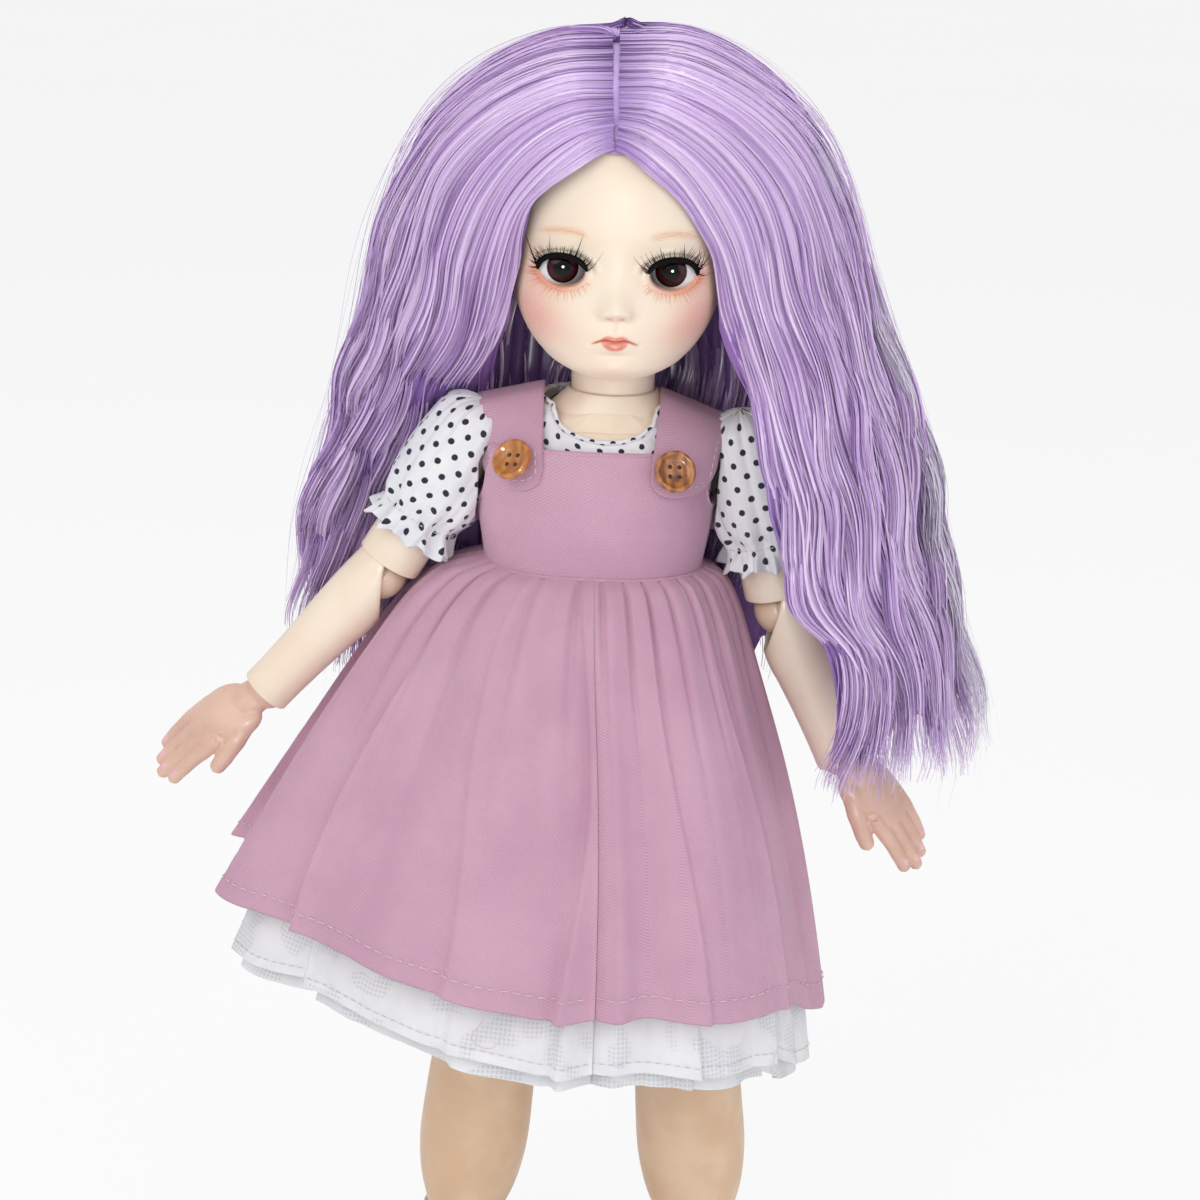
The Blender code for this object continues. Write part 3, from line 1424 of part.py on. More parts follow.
def make_foot(side):
    short = SIDE_NAMES[side]
    frame = FEET[side]
    foot = put("foot_" + short, ball("foot_" + short, ANKLE_BALL_RADIUS), frame, LEG_SKIN)
    post = ankle_post("foot_post", ANKLE_BALL_RADIUS * ANKLE_POST_SHARE, 0)
    cut(foot, cutter("foot_post_" + short, post, frame), "UNION")
    cut(foot, cutter("foot_body_" + short, loft("foot_body", foot_rings(0)), frame), "UNION")
    hinge = slot(
        "ankle_slot_" + short,
        ANKLES[side],
        ANKLE_DISC_RADIUS,
        ANKLE_PEG_RADIUS,
        ANKLE_BALL_RADIUS * 2,
        90 - ANKLE_BEND_DEG,
        90 + ANKLE_BEND_DEG,
        "X",
    )
    return cut(foot, hinge)


def make_boot(side):
    short = SIDE_NAMES[side]
    frame = FEET[side]
    wall = BOOT_EASE + BOOT_WALL
    top = BOOT_JOIN_HEIGHT - ANKLE_HEIGHT
    well_radius = cup_radius(ANKLE_BALL_RADIUS)
    boot = put("boot_upper_" + short, loft("boot_upper", foot_rings(wall)), frame, BOOT_LEATHER)
    collar = ankle_post("boot_collar", well_radius + BOOT_COLLAR_WALL, top)
    cut(boot, cutter("boot_collar_" + short, collar, frame), "UNION")
    inside = loft("boot_inside", foot_rings(BOOT_EASE))
    cut(boot, cutter("boot_inside_" + short, inside, frame))
    well = ankle_post("boot_well", well_radius, top + CUT_OVERRUN)
    cut(boot, cutter("boot_well_" + short, well, frame))
    make_sole(side)
    make_boot_shaft(side)
    return boot


def make_sole(side):
    """The flat sole, a little wider than the boot all round."""
    short = SIDE_NAMES[side]
    half_length = FOOT_LENGTH / 2 + SOLE_MARGIN
    middle = FOOT_HEEL_BACK - FOOT_LENGTH / 2
    half_width = FOOT_HALF_WIDTH + SOLE_MARGIN
    rings = []
    bottom = -ANKLE_HEIGHT
    for height in (bottom, bottom + SOLE_THICKNESS):
        ring = superellipse(
            half_width, half_length, half_length, (0, middle), height, BODY_SIDES, SOLE_POWER
        )
        rings.append(ring)
    return put("boot_sole_" + short, loft("boot_sole", rings), FEET[side], RUBBER)


def calf_radius(height):
    """The calf's radius at a height in its own frame."""
    end = -CALF_LENGTH + ANKLE_RIM_RISE
    share = (height + KNEE_RIM_RISE) / (end + KNEE_RIM_RISE)
    return CALF_RADIUS * section(CALF_RINGS_SHARES, min(1, max(0, share)))[0]


def make_boot_shaft(side):
    """The soft top of the boot round the ankle and the lower calf."""
    short = SIDE_NAMES[side]
    frame = CALVES[side]
    low = -CALF_LENGTH + BOOT_JOIN_HEIGHT - ANKLE_HEIGHT - BOOT_WALL
    high = -CALF_LENGTH + BOOT_TOP_HEIGHT - ANKLE_HEIGHT
    outer = []
    inner = []
    for step in range(BOOT_SHAFT_LEVELS + 1):
        height = low + (high - low) * step / BOOT_SHAFT_LEVELS
        radius = (calf_radius(height) + BOOT_SHAFT_GAP) / cos(pi / LIMB_SIDES)
        out = radius + BOOT_WALL
        outer.append(superellipse(out, out, out, (0, 0), height, LIMB_SIDES))
        inner.append(superellipse(radius, radius, radius, (0, 0), height, LIMB_SIDES))
    mesh = sleeve_loft("boot_shaft", outer, inner)
    shaft = put("boot_shaft_" + short, mesh, frame, BOOT_LEATHER)
    floor = box(
        "boot_join_" + short,
        (-CUT_OVERRUN, -CUT_OVERRUN, -CUT_OVERRUN - ANKLE_HEIGHT),
        (CUT_OVERRUN, CUT_OVERRUN, BOOT_JOIN_HEIGHT - ANKLE_HEIGHT + JOINT_GAP),
    )
    return cut(shaft, cutter("boot_join_" + short, floor, FEET[side]))


def make_leg(side):
    short = SIDE_NAMES[side]
    hinge_peg(
        "hip_peg_" + short,
        HIPS[side],
        HIP_DISC_RADIUS,
        HIP_PEG_RADIUS,
        HIP_PEG_LENGTH,
        (-side, 0, 0),
        (0, 1, 0),
        JOINT_SKIN,
    )
    make_thigh(side)
    make_knee(side)
    make_calf(side)
    hinge_peg(
        "ankle_peg_" + short,
        ANKLES[side],
        ANKLE_DISC_RADIUS,
        ANKLE_PEG_RADIUS,
        ANKLE_PEG_LENGTH,
        (0, 0, 1),
        (1, 0, 0),
        JOINT_SKIN,
    )
    make_foot(side)
    make_boot(side)


# Clothes


def body_form(name, low, high, grow):
    return cutter(name, loft(name, torso_rings(low, high, grow)), DOLL_FRAME)


def make_blouse(frame):
    """A thin shell over the chest, open at the neck, the arms and the waist."""
    outer = CLOTH_GAP + BLOUSE_THICKNESS
    mesh = loft("blouse_body", torso_rings(BLOUSE_BOTTOM_SHARE, 1, outer))
    blouse = put("blouse_body", mesh, frame, BLOUSE_WHITE)
    cut(blouse, body_form("blouse_inside", 0, 1, CLOTH_GAP))
    neckline = rod(
        "neckline",
        NECKLINE_RADIUS,
        (0, NECK_SETBACK - NECKLINE_DIP, NECKLINE_HEIGHT),
        (0, NECK_SETBACK - NECKLINE_DIP, NECKLINE_HEIGHT + CUT_OVERRUN),
        BODY_SIDES,
    )
    cut(blouse, cutter("neckline", neckline, frame))
    for side in (LEFT, RIGHT):
        cut(blouse, ARMHOLES[side])
    return blouse


def make_armhole(side):
    name = "armhole_" + SIDE_NAMES[side]
    return cutter(name, ball(name, ARMHOLE_RADIUS, BALL_SIDES), SHOULDERS[side])


def make_sleeve(side):
    """A puffed tube from the shoulder to the elastic cuff, with its gathers."""
    short = SIDE_NAMES[side]
    rings = []
    for share, width, fold in SLEEVE_RINGS_SHARES:
        height = SLEEVE_TOP_RISE - (SLEEVE_LENGTH + SLEEVE_TOP_RISE) * share
        ring = []
        for index in range(SLEEVE_SIDES):
            angle = -2 * pi * index / SLEEVE_SIDES
            ripple = SLEEVE_FOLD_DEPTH * fold * cos(SLEEVE_FOLDS * angle)
            radius = SLEEVE_PUFF_RADIUS * width + ripple
            ring.append(Vector((radius * cos(angle), radius * sin(angle), height)))
        rings.append(ring)
    name = "sleeve_" + short
    sleeve = put(name, loft(name, rings), ARMS[side], BLOUSE_WHITE)
    room = SHOULDER_BALL_RADIUS + SLEEVE_EASE
    length = SLEEVE_LENGTH + CUT_OVERRUN
    profile = dome(room) + [(room, -length), (0, -length)]
    cut(sleeve, turned("arm_room_" + short, profile, ARMS[side], None))
    grow = BODICE_STAND_OFF + BODICE_THICKNESS + STRAP_THICKNESS + CLOTH_GAP * 2
    cut(sleeve, body_form("body_room_" + short, 0, 1, grow))
    return sleeve


def make_bodice(frame):
    """The pinafore's fitted top, up to a straight bib edge, cut away under the arms."""
    outer = torso_rings(BODICE_BOTTOM_SHARE, BODICE_TOP_SHARE, BODICE_STAND_OFF + BODICE_THICKNESS)
    inner = torso_rings(BODICE_BOTTOM_SHARE, BODICE_TOP_SHARE, BODICE_STAND_OFF)
    bodice = put("dress_bodice", sleeve_loft("dress_bodice", outer, inner), frame, MAUVE_TWILL)
    for side in (LEFT, RIGHT):
        name = "bodice_armhole_" + SIDE_NAMES[side]
        hollow = ball(name, BODICE_ARMHOLE_RADIUS, BALL_SIDES)
        cut(bodice, cutter(name, hollow, SHOULDERS[side]))
    return bodice


def make_strap(side, frame):
    """A wide strap from the front of the bib over the shoulder to the back of the bodice."""
    short = SIDE_NAMES[side]
    name = "strap_" + short
    under = BODICE_STAND_OFF + BODICE_THICKNESS + CLOTH_GAP
    over = under + STRAP_THICKNESS
    mesh = loft(name, torso_rings(STRAP_LOW_SHARE, 1, over))
    strap = put(name, mesh, frame, MAUVE_TWILL)
    cut(strap, body_form("strap_under_" + short, 0, 1, under))
    low = side * STRAP_X[side] - STRAP_HALF_WIDTH
    band = box(
        "strap_band_" + short,
        (low, -CUT_OVERRUN * 2, TORSO_BOTTOM),
        (low + STRAP_HALF_WIDTH * 2, CUT_OVERRUN * 2, TORSO_BOTTOM + TORSO_HEIGHT * 2),
    )
    cut(strap, cutter("strap_band_" + short, band, frame), "INTERSECT")
    cut(strap, ARMHOLES[side])
    return strap


def torso_front(x, share, grow):
    """The point on the torso's front at one height share, standing off by grow."""
    width, depth, lean, rise = section(TORSO_RINGS_SHARES, share)
    half_x = TORSO_HALF_WIDTH * width + grow
    half_y = TORSO_HALF_DEPTH * depth + grow
    out = (1 - (abs(x) / half_x) ** TORSO_POWER) ** (1 / TORSO_POWER)
    height = TORSO_BOTTOM + TORSO_HEIGHT * share + grow * rise
    return Vector((x, TORSO_LEAN * lean - half_y * out, height))


def torso_front_out(x, share, grow, radius):
    """The way a flat piece of this radius faces where it lies on the torso's front."""
    reach = radius / TORSO_HEIGHT
    across = torso_front(x + radius, share, grow) - torso_front(x - radius, share, grow)
    up = torso_front(x, share + reach, grow) - torso_front(x, share - reach, grow)
    return across.cross(up)


def make_button(side, frame):
    """A dished button with four holes, flat on its strap."""
    name = "button_" + SIDE_NAMES[side]
    under = BODICE_STAND_OFF + BODICE_THICKNESS + CLOTH_GAP * 2 + STRAP_THICKNESS
    x = side * BUTTON_X[side]
    spot = torso_front(x, BUTTON_SHARE, under)
    out = torso_front_out(x, BUTTON_SHARE, under, BUTTON_RADIUS)
    spot += out.normalized() * BUTTON_REST_GAP
    seat = empty(name + "_seat", frame, Matrix.Translation(spot) @ facing(out))
    dish = BUTTON_THICKNESS - BUTTON_DISH_DEPTH
    profile = (
        (0, dish),
        (BUTTON_RADIUS - BUTTON_RIM_WIDTH, dish),
        (BUTTON_RADIUS - BUTTON_RIM_WIDTH / 2, BUTTON_THICKNESS),
        (BUTTON_RADIUS - BUTTON_RIM_WIDTH / 4, BUTTON_THICKNESS),
        (BUTTON_RADIUS, BUTTON_THICKNESS / 2),
        (BUTTON_RADIUS - BUTTON_RIM_WIDTH / 2, 0),
        (0, 0),
    )
    button = turned(name, profile, seat, BUTTON_CARAMEL, BUTTON_SIDES)
    for across in (-1, 1):
        for up in (-1, 1):
            hole_name = name + "_hole_" + str(across) + "_" + str(up)
            hole_x = across * BUTTON_HOLE_SPACING
            hole_y = up * BUTTON_HOLE_SPACING
            hole = rod(
                hole_name,
                BUTTON_HOLE_RADIUS,
                (hole_x, hole_y, -BUTTON_THICKNESS),
                (hole_x, hole_y, BUTTON_THICKNESS * 2),
                BUTTON_HOLE_SIDES,
            )
            cut(button, cutter(hole_name, hole, seat))
    return button


def skirt_ring(share, inset, drop, sides):
    """One level of the skirt: wider on its right side, with folds that deepen to the hem."""
    spread = share**SKIRT_FLARE_SHARE
    front = SKIRT_TOP_HALF_DEPTH + (SKIRT_HEM_FRONT - SKIRT_TOP_HALF_DEPTH) * spread - inset
    back = SKIRT_TOP_HALF_DEPTH + (SKIRT_HEM_BACK - SKIRT_TOP_HALF_DEPTH) * spread - inset
    right = SKIRT_TOP_HALF_WIDTH + (SKIRT_HEM_RIGHT - SKIRT_TOP_HALF_WIDTH) * spread - inset
    left = SKIRT_TOP_HALF_WIDTH + (SKIRT_HEM_LEFT - SKIRT_TOP_HALF_WIDTH) * spread - inset
    ring = []
    for index in range(sides):
        angle = 2 * pi * index / sides
        half_x = left if cos(angle) > 0 else right
        half_y = back if sin(angle) > 0 else front
        fold = SKIRT_FOLD_DEPTH * (SKIRT_TOP_FOLD_SHARE + spread) * cos(SKIRT_FOLDS * angle)
        crease = angle - 3 * pi / 2
        fold -= SKIRT_CREASE_DEPTH * spread * bump(crease, 0, 0, 0, SKIRT_CREASE_WIDTH_RAD, 1)
        lean = cos(angle)
        rise = SKIRT_HEM_RISE_RIGHT * max(0, -lean) - SKIRT_HEM_DIP_LEFT * max(0, lean)
        height = SKIRT_TOP_HEIGHT - (SKIRT_TOP_HEIGHT - SKIRT_HEM_HEIGHT) * share
        x = (half_x + fold) * cos(angle)
        y = (half_y + fold) * sin(angle)
        ring.append(Vector((x, y, height + rise * share * share - drop * share * share)))
    return ring


def make_skirt(frame):
    levels = [step / SKIRT_LEVELS for step in range(SKIRT_LEVELS + 1)]
    outer = [skirt_ring(share, 0, 0, SKIRT_SIDES) for share in levels]
    inner = [skirt_ring(share, SKIRT_THICKNESS, 0, SKIRT_SIDES) for share in levels]
    return put("skirt", sleeve_loft("skirt", outer, inner), frame, MAUVE_TWILL)


def make_petticoat(frame):
    """The lining skirt, which shows below the hem."""
    top = PETTICOAT_TOP_SHARE
    levels = [top + (1 - top) * step / SKIRT_LEVELS for step in range(SKIRT_LEVELS + 1)]
    outer = []
    inner = []
    for share in levels:
        gap = CLOTH_GAP + PETTICOAT_GAP * share
        inset = SKIRT_THICKNESS + gap
        outer.append(skirt_ring(share, inset, PETTICOAT_DROP, PETTICOAT_SIDES))
        inner.append(
            skirt_ring(share, inset + SKIRT_THICKNESS, PETTICOAT_DROP, PETTICOAT_SIDES)
        )
    return put("petticoat", sleeve_loft("petticoat", outer, inner), frame, COTTON_WHITE)


# Wig


def wig_ring(row, grow):
    share, width, front, back = row
    height = WIG_BOTTOM_HEIGHT - HEAD_SEAT_HEIGHT
    height += (WIG_TOP_HEIGHT - WIG_BOTTOM_HEIGHT) * share + grow * (share * 2 - 1)
    return superellipse(
        WIG_HALF_WIDTH * width + grow,
        WIG_FRONT * front + grow,
        WIG_BACK * back + grow,
        (0, 0),
        height,
        WIG_SIDES,
    )


def make_wig_crown(frame):
    """The wig's cap of hair, open over the face in a centre parted peak."""
    crown = put("wig_crown", loft("wig_crown", wig_rings(0)), frame, HAIR_LILAC)
    room = [head_ring(row, -CLOTH_GAP) for row in HEAD_RINGS_SHARES]
    cut(crown, cutter("wig_inside", loft("wig_inside", room), frame))
    half = [
        (HEAD_HALF_WIDTH * across, CHIN_HEIGHT - HEAD_SEAT_HEIGHT + HAIRLINE_RISE * up)
        for across, up in FACE_OPENING_SHARES
    ]
    outline = half + [(-across, height) for across, height in reversed(half[1:])]
    opening = cutter("face_opening", prism("face_opening", outline, WIG_FRONT), frame)
    opening.location = (0, -WIG_FRONT - FACE_OPENING_BACK, 0)
    cut(crown, opening)
    for side in (LEFT, RIGHT):
        cut(crown, ear_shape("ear_room_" + SIDE_NAMES[side], side, CLOTH_GAP, frame))
    return crown


def wig_rings(grow):
    return [wig_ring(row, grow) for row in WIG_RINGS_SHARES]


def curtain(name, rings):
    """A closed sheet through rings that run along its outer face and back along its inner one."""
    bm = bmesh.new()
    loops = skin_rings(bm, rings)
    last = len(loops[0]) - 1
    for loop in (loops[0], loops[-1]):
        for index in range(last // 2):
            end = last - index
            bm.faces.new((loop[index], loop[index + 1], loop[end - 1], loop[end]))
    return mesh_of(name, bm)


def hair_place(across, back, down):
    """A place in the head's frame from its shares of the hair's spread, reach and length."""
    height = HAIR_TOP_HEIGHT - HEAD_SEAT_HEIGHT - HAIR_LENGTH * down
    return Vector((HAIR_SPREAD * across, HAIR_REACH * back, height))


def inner_face(outer, winding):
    """The inner face of a fall, square to its outer face."""
    last_row = len(outer) - 1
    last = len(outer[0]) - 1
    inner = []
    for index, row in enumerate(outer):
        above = outer[max(index - 1, 0)]
        below = outer[min(index + 1, last_row)]
        line = []
        for place, point in enumerate(row):
            across = row[min(place + 1, last)] - row[max(place - 1, 0)]
            down = below[place] - above[place]
            inward = across.cross(down).normalized() * winding
            line.append(point + inward * HAIR_THICKNESS)
        inner.append(line)
    return inner


def make_fall(name, shares, winding, frame):
    """A fall of hair that hangs from the wig. winding is 1 or -1, as its places run round the head."""
    outer = [[hair_place(*place) for place in row] for row in reversed(shares)]
    inner = inner_face(outer, -winding)
    rings = [line + list(reversed(under)) for line, under in zip(outer, inner)]
    fall = put(name, curtain(name, rings), frame, HAIR_LILAC)
    room = cutter(name + "_room", loft(name + "_room", wig_rings(CLOTH_GAP)), frame)
    return cut(fall, room)


# Joint frames, from the torso outwards


def chain(name, parent, matrix, side=None):
    return empty(name + ("_" + SIDE_NAMES[side] if side else ""), parent, matrix)


def both(make):
    return {side: make(side) for side in (LEFT, RIGHT)}


DOLL_FRAME = empty("doll", None, shift(-STAND_X, -STAND_Y, 0))
NECK = chain("neck_tilt", DOLL_FRAME, shift(0, NECK_SETBACK, NECK_BALL_HEIGHT))
HEAD_TURN = chain("head_turn", NECK, shift(0, 0, HEAD_SEAT_HEIGHT - NECK_BALL_HEIGHT))
HEAD = chain("head", HEAD_TURN, shift(0, -NECK_SETBACK, 0))
WAIST = chain("waist_turn", DOLL_FRAME, shift(0, 0, WAIST_HEIGHT))
SHOULDERS = both(
    lambda side: chain("shoulder", DOLL_FRAME, shift(side * SHOULDER_X, 0, SHOULDER_HEIGHT), side)
)
ARMS = both(
    lambda side: chain("arm_lift", SHOULDERS[side], turn(-side * ARM_LIFT_DEG[side], "Y"), side)
)
ELBOWS = both(lambda side: chain("elbow", ARMS[side], shift(0, 0, -UPPER_ARM_LENGTH), side))
FOREARMS = both(
    lambda side: chain("elbow_bend", ELBOWS[side], turn(-side * ELBOW_SPLAY_DEG, "Y"), side)
)
WRISTS = both(lambda side: chain("wrist", FOREARMS[side], shift(0, 0, -FOREARM_LENGTH), side))
HANDS = both(
    lambda side: chain("wrist_bend", WRISTS[side], turn(-side * WRIST_SPLAY_DEG[side], "Y"), side)
)
HIPS = both(
    lambda side: chain("hip", WAIST, shift(side * HIP_X, 0, HIP_HEIGHT - WAIST_HEIGHT), side)
)
LEGS = both(lambda side: chain("leg_spread", HIPS[side], turn(-side * LEG_SPLAY_DEG, "Y"), side))
KNEES = both(lambda side: chain("knee_upper", LEGS[side], shift(0, 0, -THIGH_LENGTH), side))
CALVES = both(lambda side: chain("knee_lower", KNEES[side], shift(0, 0, -KNEE_SPACING), side))
ANKLES = both(lambda side: chain("ankle", CALVES[side], shift(0, 0, -CALF_LENGTH), side))
FEET = both(lambda side: chain("ankle_bend", ANKLES[side], turn(side * LEG_SPLAY_DEG, "Y"), side))
ARMHOLES = both(make_armhole)

make_torso(DOLL_FRAME)
make_waist(WAIST)
make_pelvis(WAIST)
make_neck(NECK)
make_head(HEAD)
make_eyes(HEAD)
make_lashes(HEAD)
make_wig_crown(HEAD)
make_fall("hair_left", HAIR_LEFT_SHARES, LEFT, HEAD)
make_fall("hair_right", HAIR_RIGHT_SHARES, RIGHT, HEAD)
make_fall("hair_back", HAIR_BACK_SHARES, RIGHT, HEAD)
for each_side in (LEFT, RIGHT):
    make_arm(each_side)
    make_leg(each_side)
    make_sleeve(each_side)
    make_strap(each_side, DOLL_FRAME)
    make_button(each_side, DOLL_FRAME)
make_blouse(DOLL_FRAME)
make_bodice(DOLL_FRAME)
make_skirt(DOLL_FRAME)
make_petticoat(DOLL_FRAME)
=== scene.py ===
"""The ball jointed doll's looks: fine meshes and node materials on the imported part.

Lengths are in millimetres in the doll's own frame: x to its left, y to its back, z up.
"""

from math import cos, pi, radians, sin, tan

import bpy
import numpy as np
from mathutils import Matrix, Vector


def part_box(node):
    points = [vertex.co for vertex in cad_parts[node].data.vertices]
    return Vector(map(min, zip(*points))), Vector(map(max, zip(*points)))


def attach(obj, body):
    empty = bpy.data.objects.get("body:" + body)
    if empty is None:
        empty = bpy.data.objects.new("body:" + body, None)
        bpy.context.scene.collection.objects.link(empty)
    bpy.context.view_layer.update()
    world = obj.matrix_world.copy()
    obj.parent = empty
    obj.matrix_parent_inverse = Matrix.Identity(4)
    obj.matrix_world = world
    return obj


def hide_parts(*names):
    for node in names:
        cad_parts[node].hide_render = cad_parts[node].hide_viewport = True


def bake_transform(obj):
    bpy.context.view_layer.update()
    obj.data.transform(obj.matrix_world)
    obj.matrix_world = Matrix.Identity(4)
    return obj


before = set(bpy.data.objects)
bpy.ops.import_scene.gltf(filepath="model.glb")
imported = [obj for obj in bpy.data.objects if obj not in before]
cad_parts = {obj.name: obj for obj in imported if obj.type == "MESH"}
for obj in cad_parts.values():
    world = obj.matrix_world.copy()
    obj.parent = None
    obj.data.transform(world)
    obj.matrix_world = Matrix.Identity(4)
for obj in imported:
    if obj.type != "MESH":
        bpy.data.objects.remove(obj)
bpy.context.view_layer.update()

MM = 0.001
PELVIS_LOW, PELVIS_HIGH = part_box("pelvis")
# The lower legs reach this far below z = 0, so that heights above them read as in the photo
LEG_EXTRA = PELVIS_LOW[2] - 0.131
ORIGIN = np.array(
    [(PELVIS_LOW[0] + PELVIS_HIGH[0]) / 2, (PELVIS_LOW[1] + PELVIS_HIGH[1]) / 2, LEG_EXTRA]
)
SIDES = {"left": 1, "right": -1}
# The power of the rounded box (superellipse) that the torso has in section
BOXY = 2.3

# Meshes


class Patch:
    """Points, quads and the texture place of each corner."""

    def __init__(self, points, faces, corners):
        self.points = points
        self.faces = faces
        self.corners = corners
        self.marks = {}


def grid(points, uv, wrap=True, flip=False):
    """A patch over rows and columns of points. uv has one more column than points if it wraps."""
    points = np.asarray(points, float)
    rows, cols = points.shape[:2]
    steps = cols if wrap else cols - 1
    i, j = np.meshgrid(np.arange(rows - 1), np.arange(steps), indexing="ij")
    after = (j + 1) % cols
    faces = np.stack([i * cols + j, i * cols + after, (i + 1) * cols + after, (i + 1) * cols + j], -1)
    corners = np.stack([uv[i, j], uv[i, j + 1], uv[i + 1, j + 1], uv[i + 1, j]], 2)
    faces = faces.reshape(-1, 4)
    corners = corners.reshape(-1, 4, 2)
    if flip:
        faces = faces[:, ::-1]
        corners = corners[:, ::-1]
    return Patch(points.reshape(-1, 3), faces, corners)


def joined(patches):
    """Several patches as one. Marks that a patch lacks are 0 there."""
    names = {name for patch in patches for name in patch.marks}
    points = np.concatenate([p.points for p in patches])
    starts = np.cumsum([0] + [len(p.points) for p in patches[:-1]])
    faces = np.concatenate([p.faces + start for p, start in zip(patches, starts)])
    result = Patch(points, faces, np.concatenate([p.corners for p in patches]))
    for name in names:
        parts = [p.marks.get(name, np.zeros(len(p.points))) for p in patches]
        result.marks[name] = np.concatenate(parts)
    return result


def make(name, patch, material, smooth=True):
    """A mesh object in the row frame."""
    mesh = bpy.data.meshes.new(name)
    points = (patch.points * MM + ORIGIN).astype(np.float32)
    mesh.vertices.add(len(points))
    mesh.vertices.foreach_set("co", points.ravel())
    count = len(patch.faces)
    mesh.loops.add(count * 4)
    mesh.polygons.add(count)
    mesh.loops.foreach_set("vertex_index", patch.faces.ravel().astype(np.int32))
    mesh.polygons.foreach_set("loop_start", np.arange(0, count * 4, 4, dtype=np.int32))
    mesh.polygons.foreach_set("use_smooth", np.full(count, smooth))
    layer = mesh.uv_layers.new(name="mm")
    layer.data.foreach_set("uv", patch.corners.reshape(-1).astype(np.float32))
    for mark, values in patch.marks.items():
        attribute = mesh.attributes.new(mark, "FLOAT", "POINT")
        attribute.data.foreach_set("value", np.asarray(values, np.float32))
    mesh.update(calc_edges=True)
    mesh.validate()
    mesh.materials.append(material)
    obj = bpy.data.objects.new(name, mesh)
    bpy.context.scene.collection.objects.link(obj)
    return obj


def thicken(obj, thickness, offset=-1.0):
    solid = obj.modifiers.new("thickness", "SOLIDIFY")
    solid.thickness = thickness * MM
    solid.offset = offset
    return obj


def place(patch, matrix):
    """Moves a patch by a matrix in millimetres."""
    m = np.array(matrix)
    patch.points = patch.points @ m[:3, :3].T + m[:3, 3]
    return patch


def smooth_table(rows, s):
    """Values of a table at s by smooth interpolation. The first column is the key."""
    rows = np.asarray(rows, float)
    keys = rows[:, 0]
    s = np.asarray(s, float)
    k = np.clip(np.searchsorted(keys, s, side="right") - 1, 0, len(keys) - 2)
    slopes = np.gradient(rows[:, 1:], keys, axis=0)
    step = (keys[k + 1] - keys[k])[..., None]
    t = np.clip((s - keys[k])[..., None] / step, 0, 1)
    a, b = rows[k, 1:], rows[k + 1, 1:]
    ma, mb = slopes[k] * step, slopes[k + 1] * step
    t2, t3 = t * t, t * t * t
    return (2 * t3 - 3 * t2 + 1) * a + (t3 - 2 * t2 + t) * ma + (3 * t2 - 2 * t3) * b + (t3 - t2) * mb


def hill(x, z, x0, z0, wide, tall):
    """A smooth hill, 1 at its middle."""
    return np.exp(-(((x - x0) / wide) ** 2) - ((z - z0) / tall) ** 2)


def step01(value, low, high):
    """0 below low and 1 above high, smooth between."""
    t = np.clip((value - low) / (high - low), 0, 1)
    return t * t * (3 - 2 * t)


def spline_path(points, count, tension=0.5):
    """A smooth path through points, with count evenly spaced places along it."""
    p = np.asarray(points, float)
    ends = np.vstack([2 * p[0] - p[1], p, 2 * p[-1] - p[-2]])
    pieces = []
    t = np.linspace(0, 1, 12, endpoint=False)[:, None]
    for a, b, c, d in zip(ends, ends[1:], ends[2:], ends[3:]):
        m1, m2 = (c - a) * tension, (d - b) * tension
        h = (2 * t**3 - 3 * t**2 + 1) * b + (t**3 - 2 * t**2 + t) * m1
        pieces.append(h + (3 * t**2 - 2 * t**3) * c + (t**3 - t**2) * m2)
    dense = np.vstack(pieces + [p[-1:]])
    length = np.concatenate([[0], np.cumsum(np.linalg.norm(np.diff(dense, axis=0), axis=1))])
    want = np.linspace(0, length[-1], count)
    return np.stack([np.interp(want, length, dense[:, k]) for k in range(dense.shape[1])], 1)


def unit(v):
    return v / np.maximum(np.linalg.norm(v, axis=-1, keepdims=True), 1e-9)


def tube(path, radius, sides=8, flat=1.0, out=(0, 0, 1)):
    """A rod along a path whose radius may vary, flattened along the direction out."""
    path = np.asarray(path, float)
    along = unit(np.gradient(path, axis=0))
    out = np.broadcast_to(np.asarray(out, float), path.shape)
    side = unit(np.cross(along, out))
    up = np.cross(side, along)
    radius = np.broadcast_to(np.asarray(radius, float), (len(path),))[:, None, None]
    angle = np.arange(sides) * 2 * pi / sides
    ring = np.cos(angle)[None, :, None] * side[:, None] + flat * np.sin(angle)[None, :, None] * up[:, None]
    points = path[:, None] + radius * ring
    length = np.concatenate([[0], np.cumsum(np.linalg.norm(np.diff(path, axis=0), axis=1))])
    u, v = np.meshgrid(np.linspace(0, 1, sides + 1), length)
    return grid(points, np.stack([u * 2 * pi * radius[:, 0], v], -1))


def spindle(path, radius, sides=6, flat=1.0, out=(0, 0, 1), tip=0.15):
    """A rod that tapers at both ends."""
    t = np.linspace(0, 1, len(path))
    swell = tip + (1 - tip) * np.sqrt(np.clip(1 - (2 * t - 1) ** 2, 0, 1))
    return tube(path, radius * swell, sides, flat, out)


def ellipsoid(centre, sizes, rows=14, cols=20, matrix=None):
    lat = np.linspace(-pi / 2, pi / 2, rows)
    lon = np.arange(cols) * 2 * pi / cols
    la, lo = np.meshgrid(lat, lon, indexing="ij")
    ring = np.stack([np.cos(la) * np.cos(lo), np.cos(la) * np.sin(lo), np.sin(la)], -1)
    points = ring * np.asarray(sizes)
    if matrix is not None:
        points = points @ np.array(matrix)[:3, :3].T
    u, v = np.meshgrid(np.linspace(0, 1, cols + 1), np.linspace(0, 1, rows))
    return grid(points + np.asarray(centre), np.stack([u, v], -1) * max(sizes) * 6)


# Materials


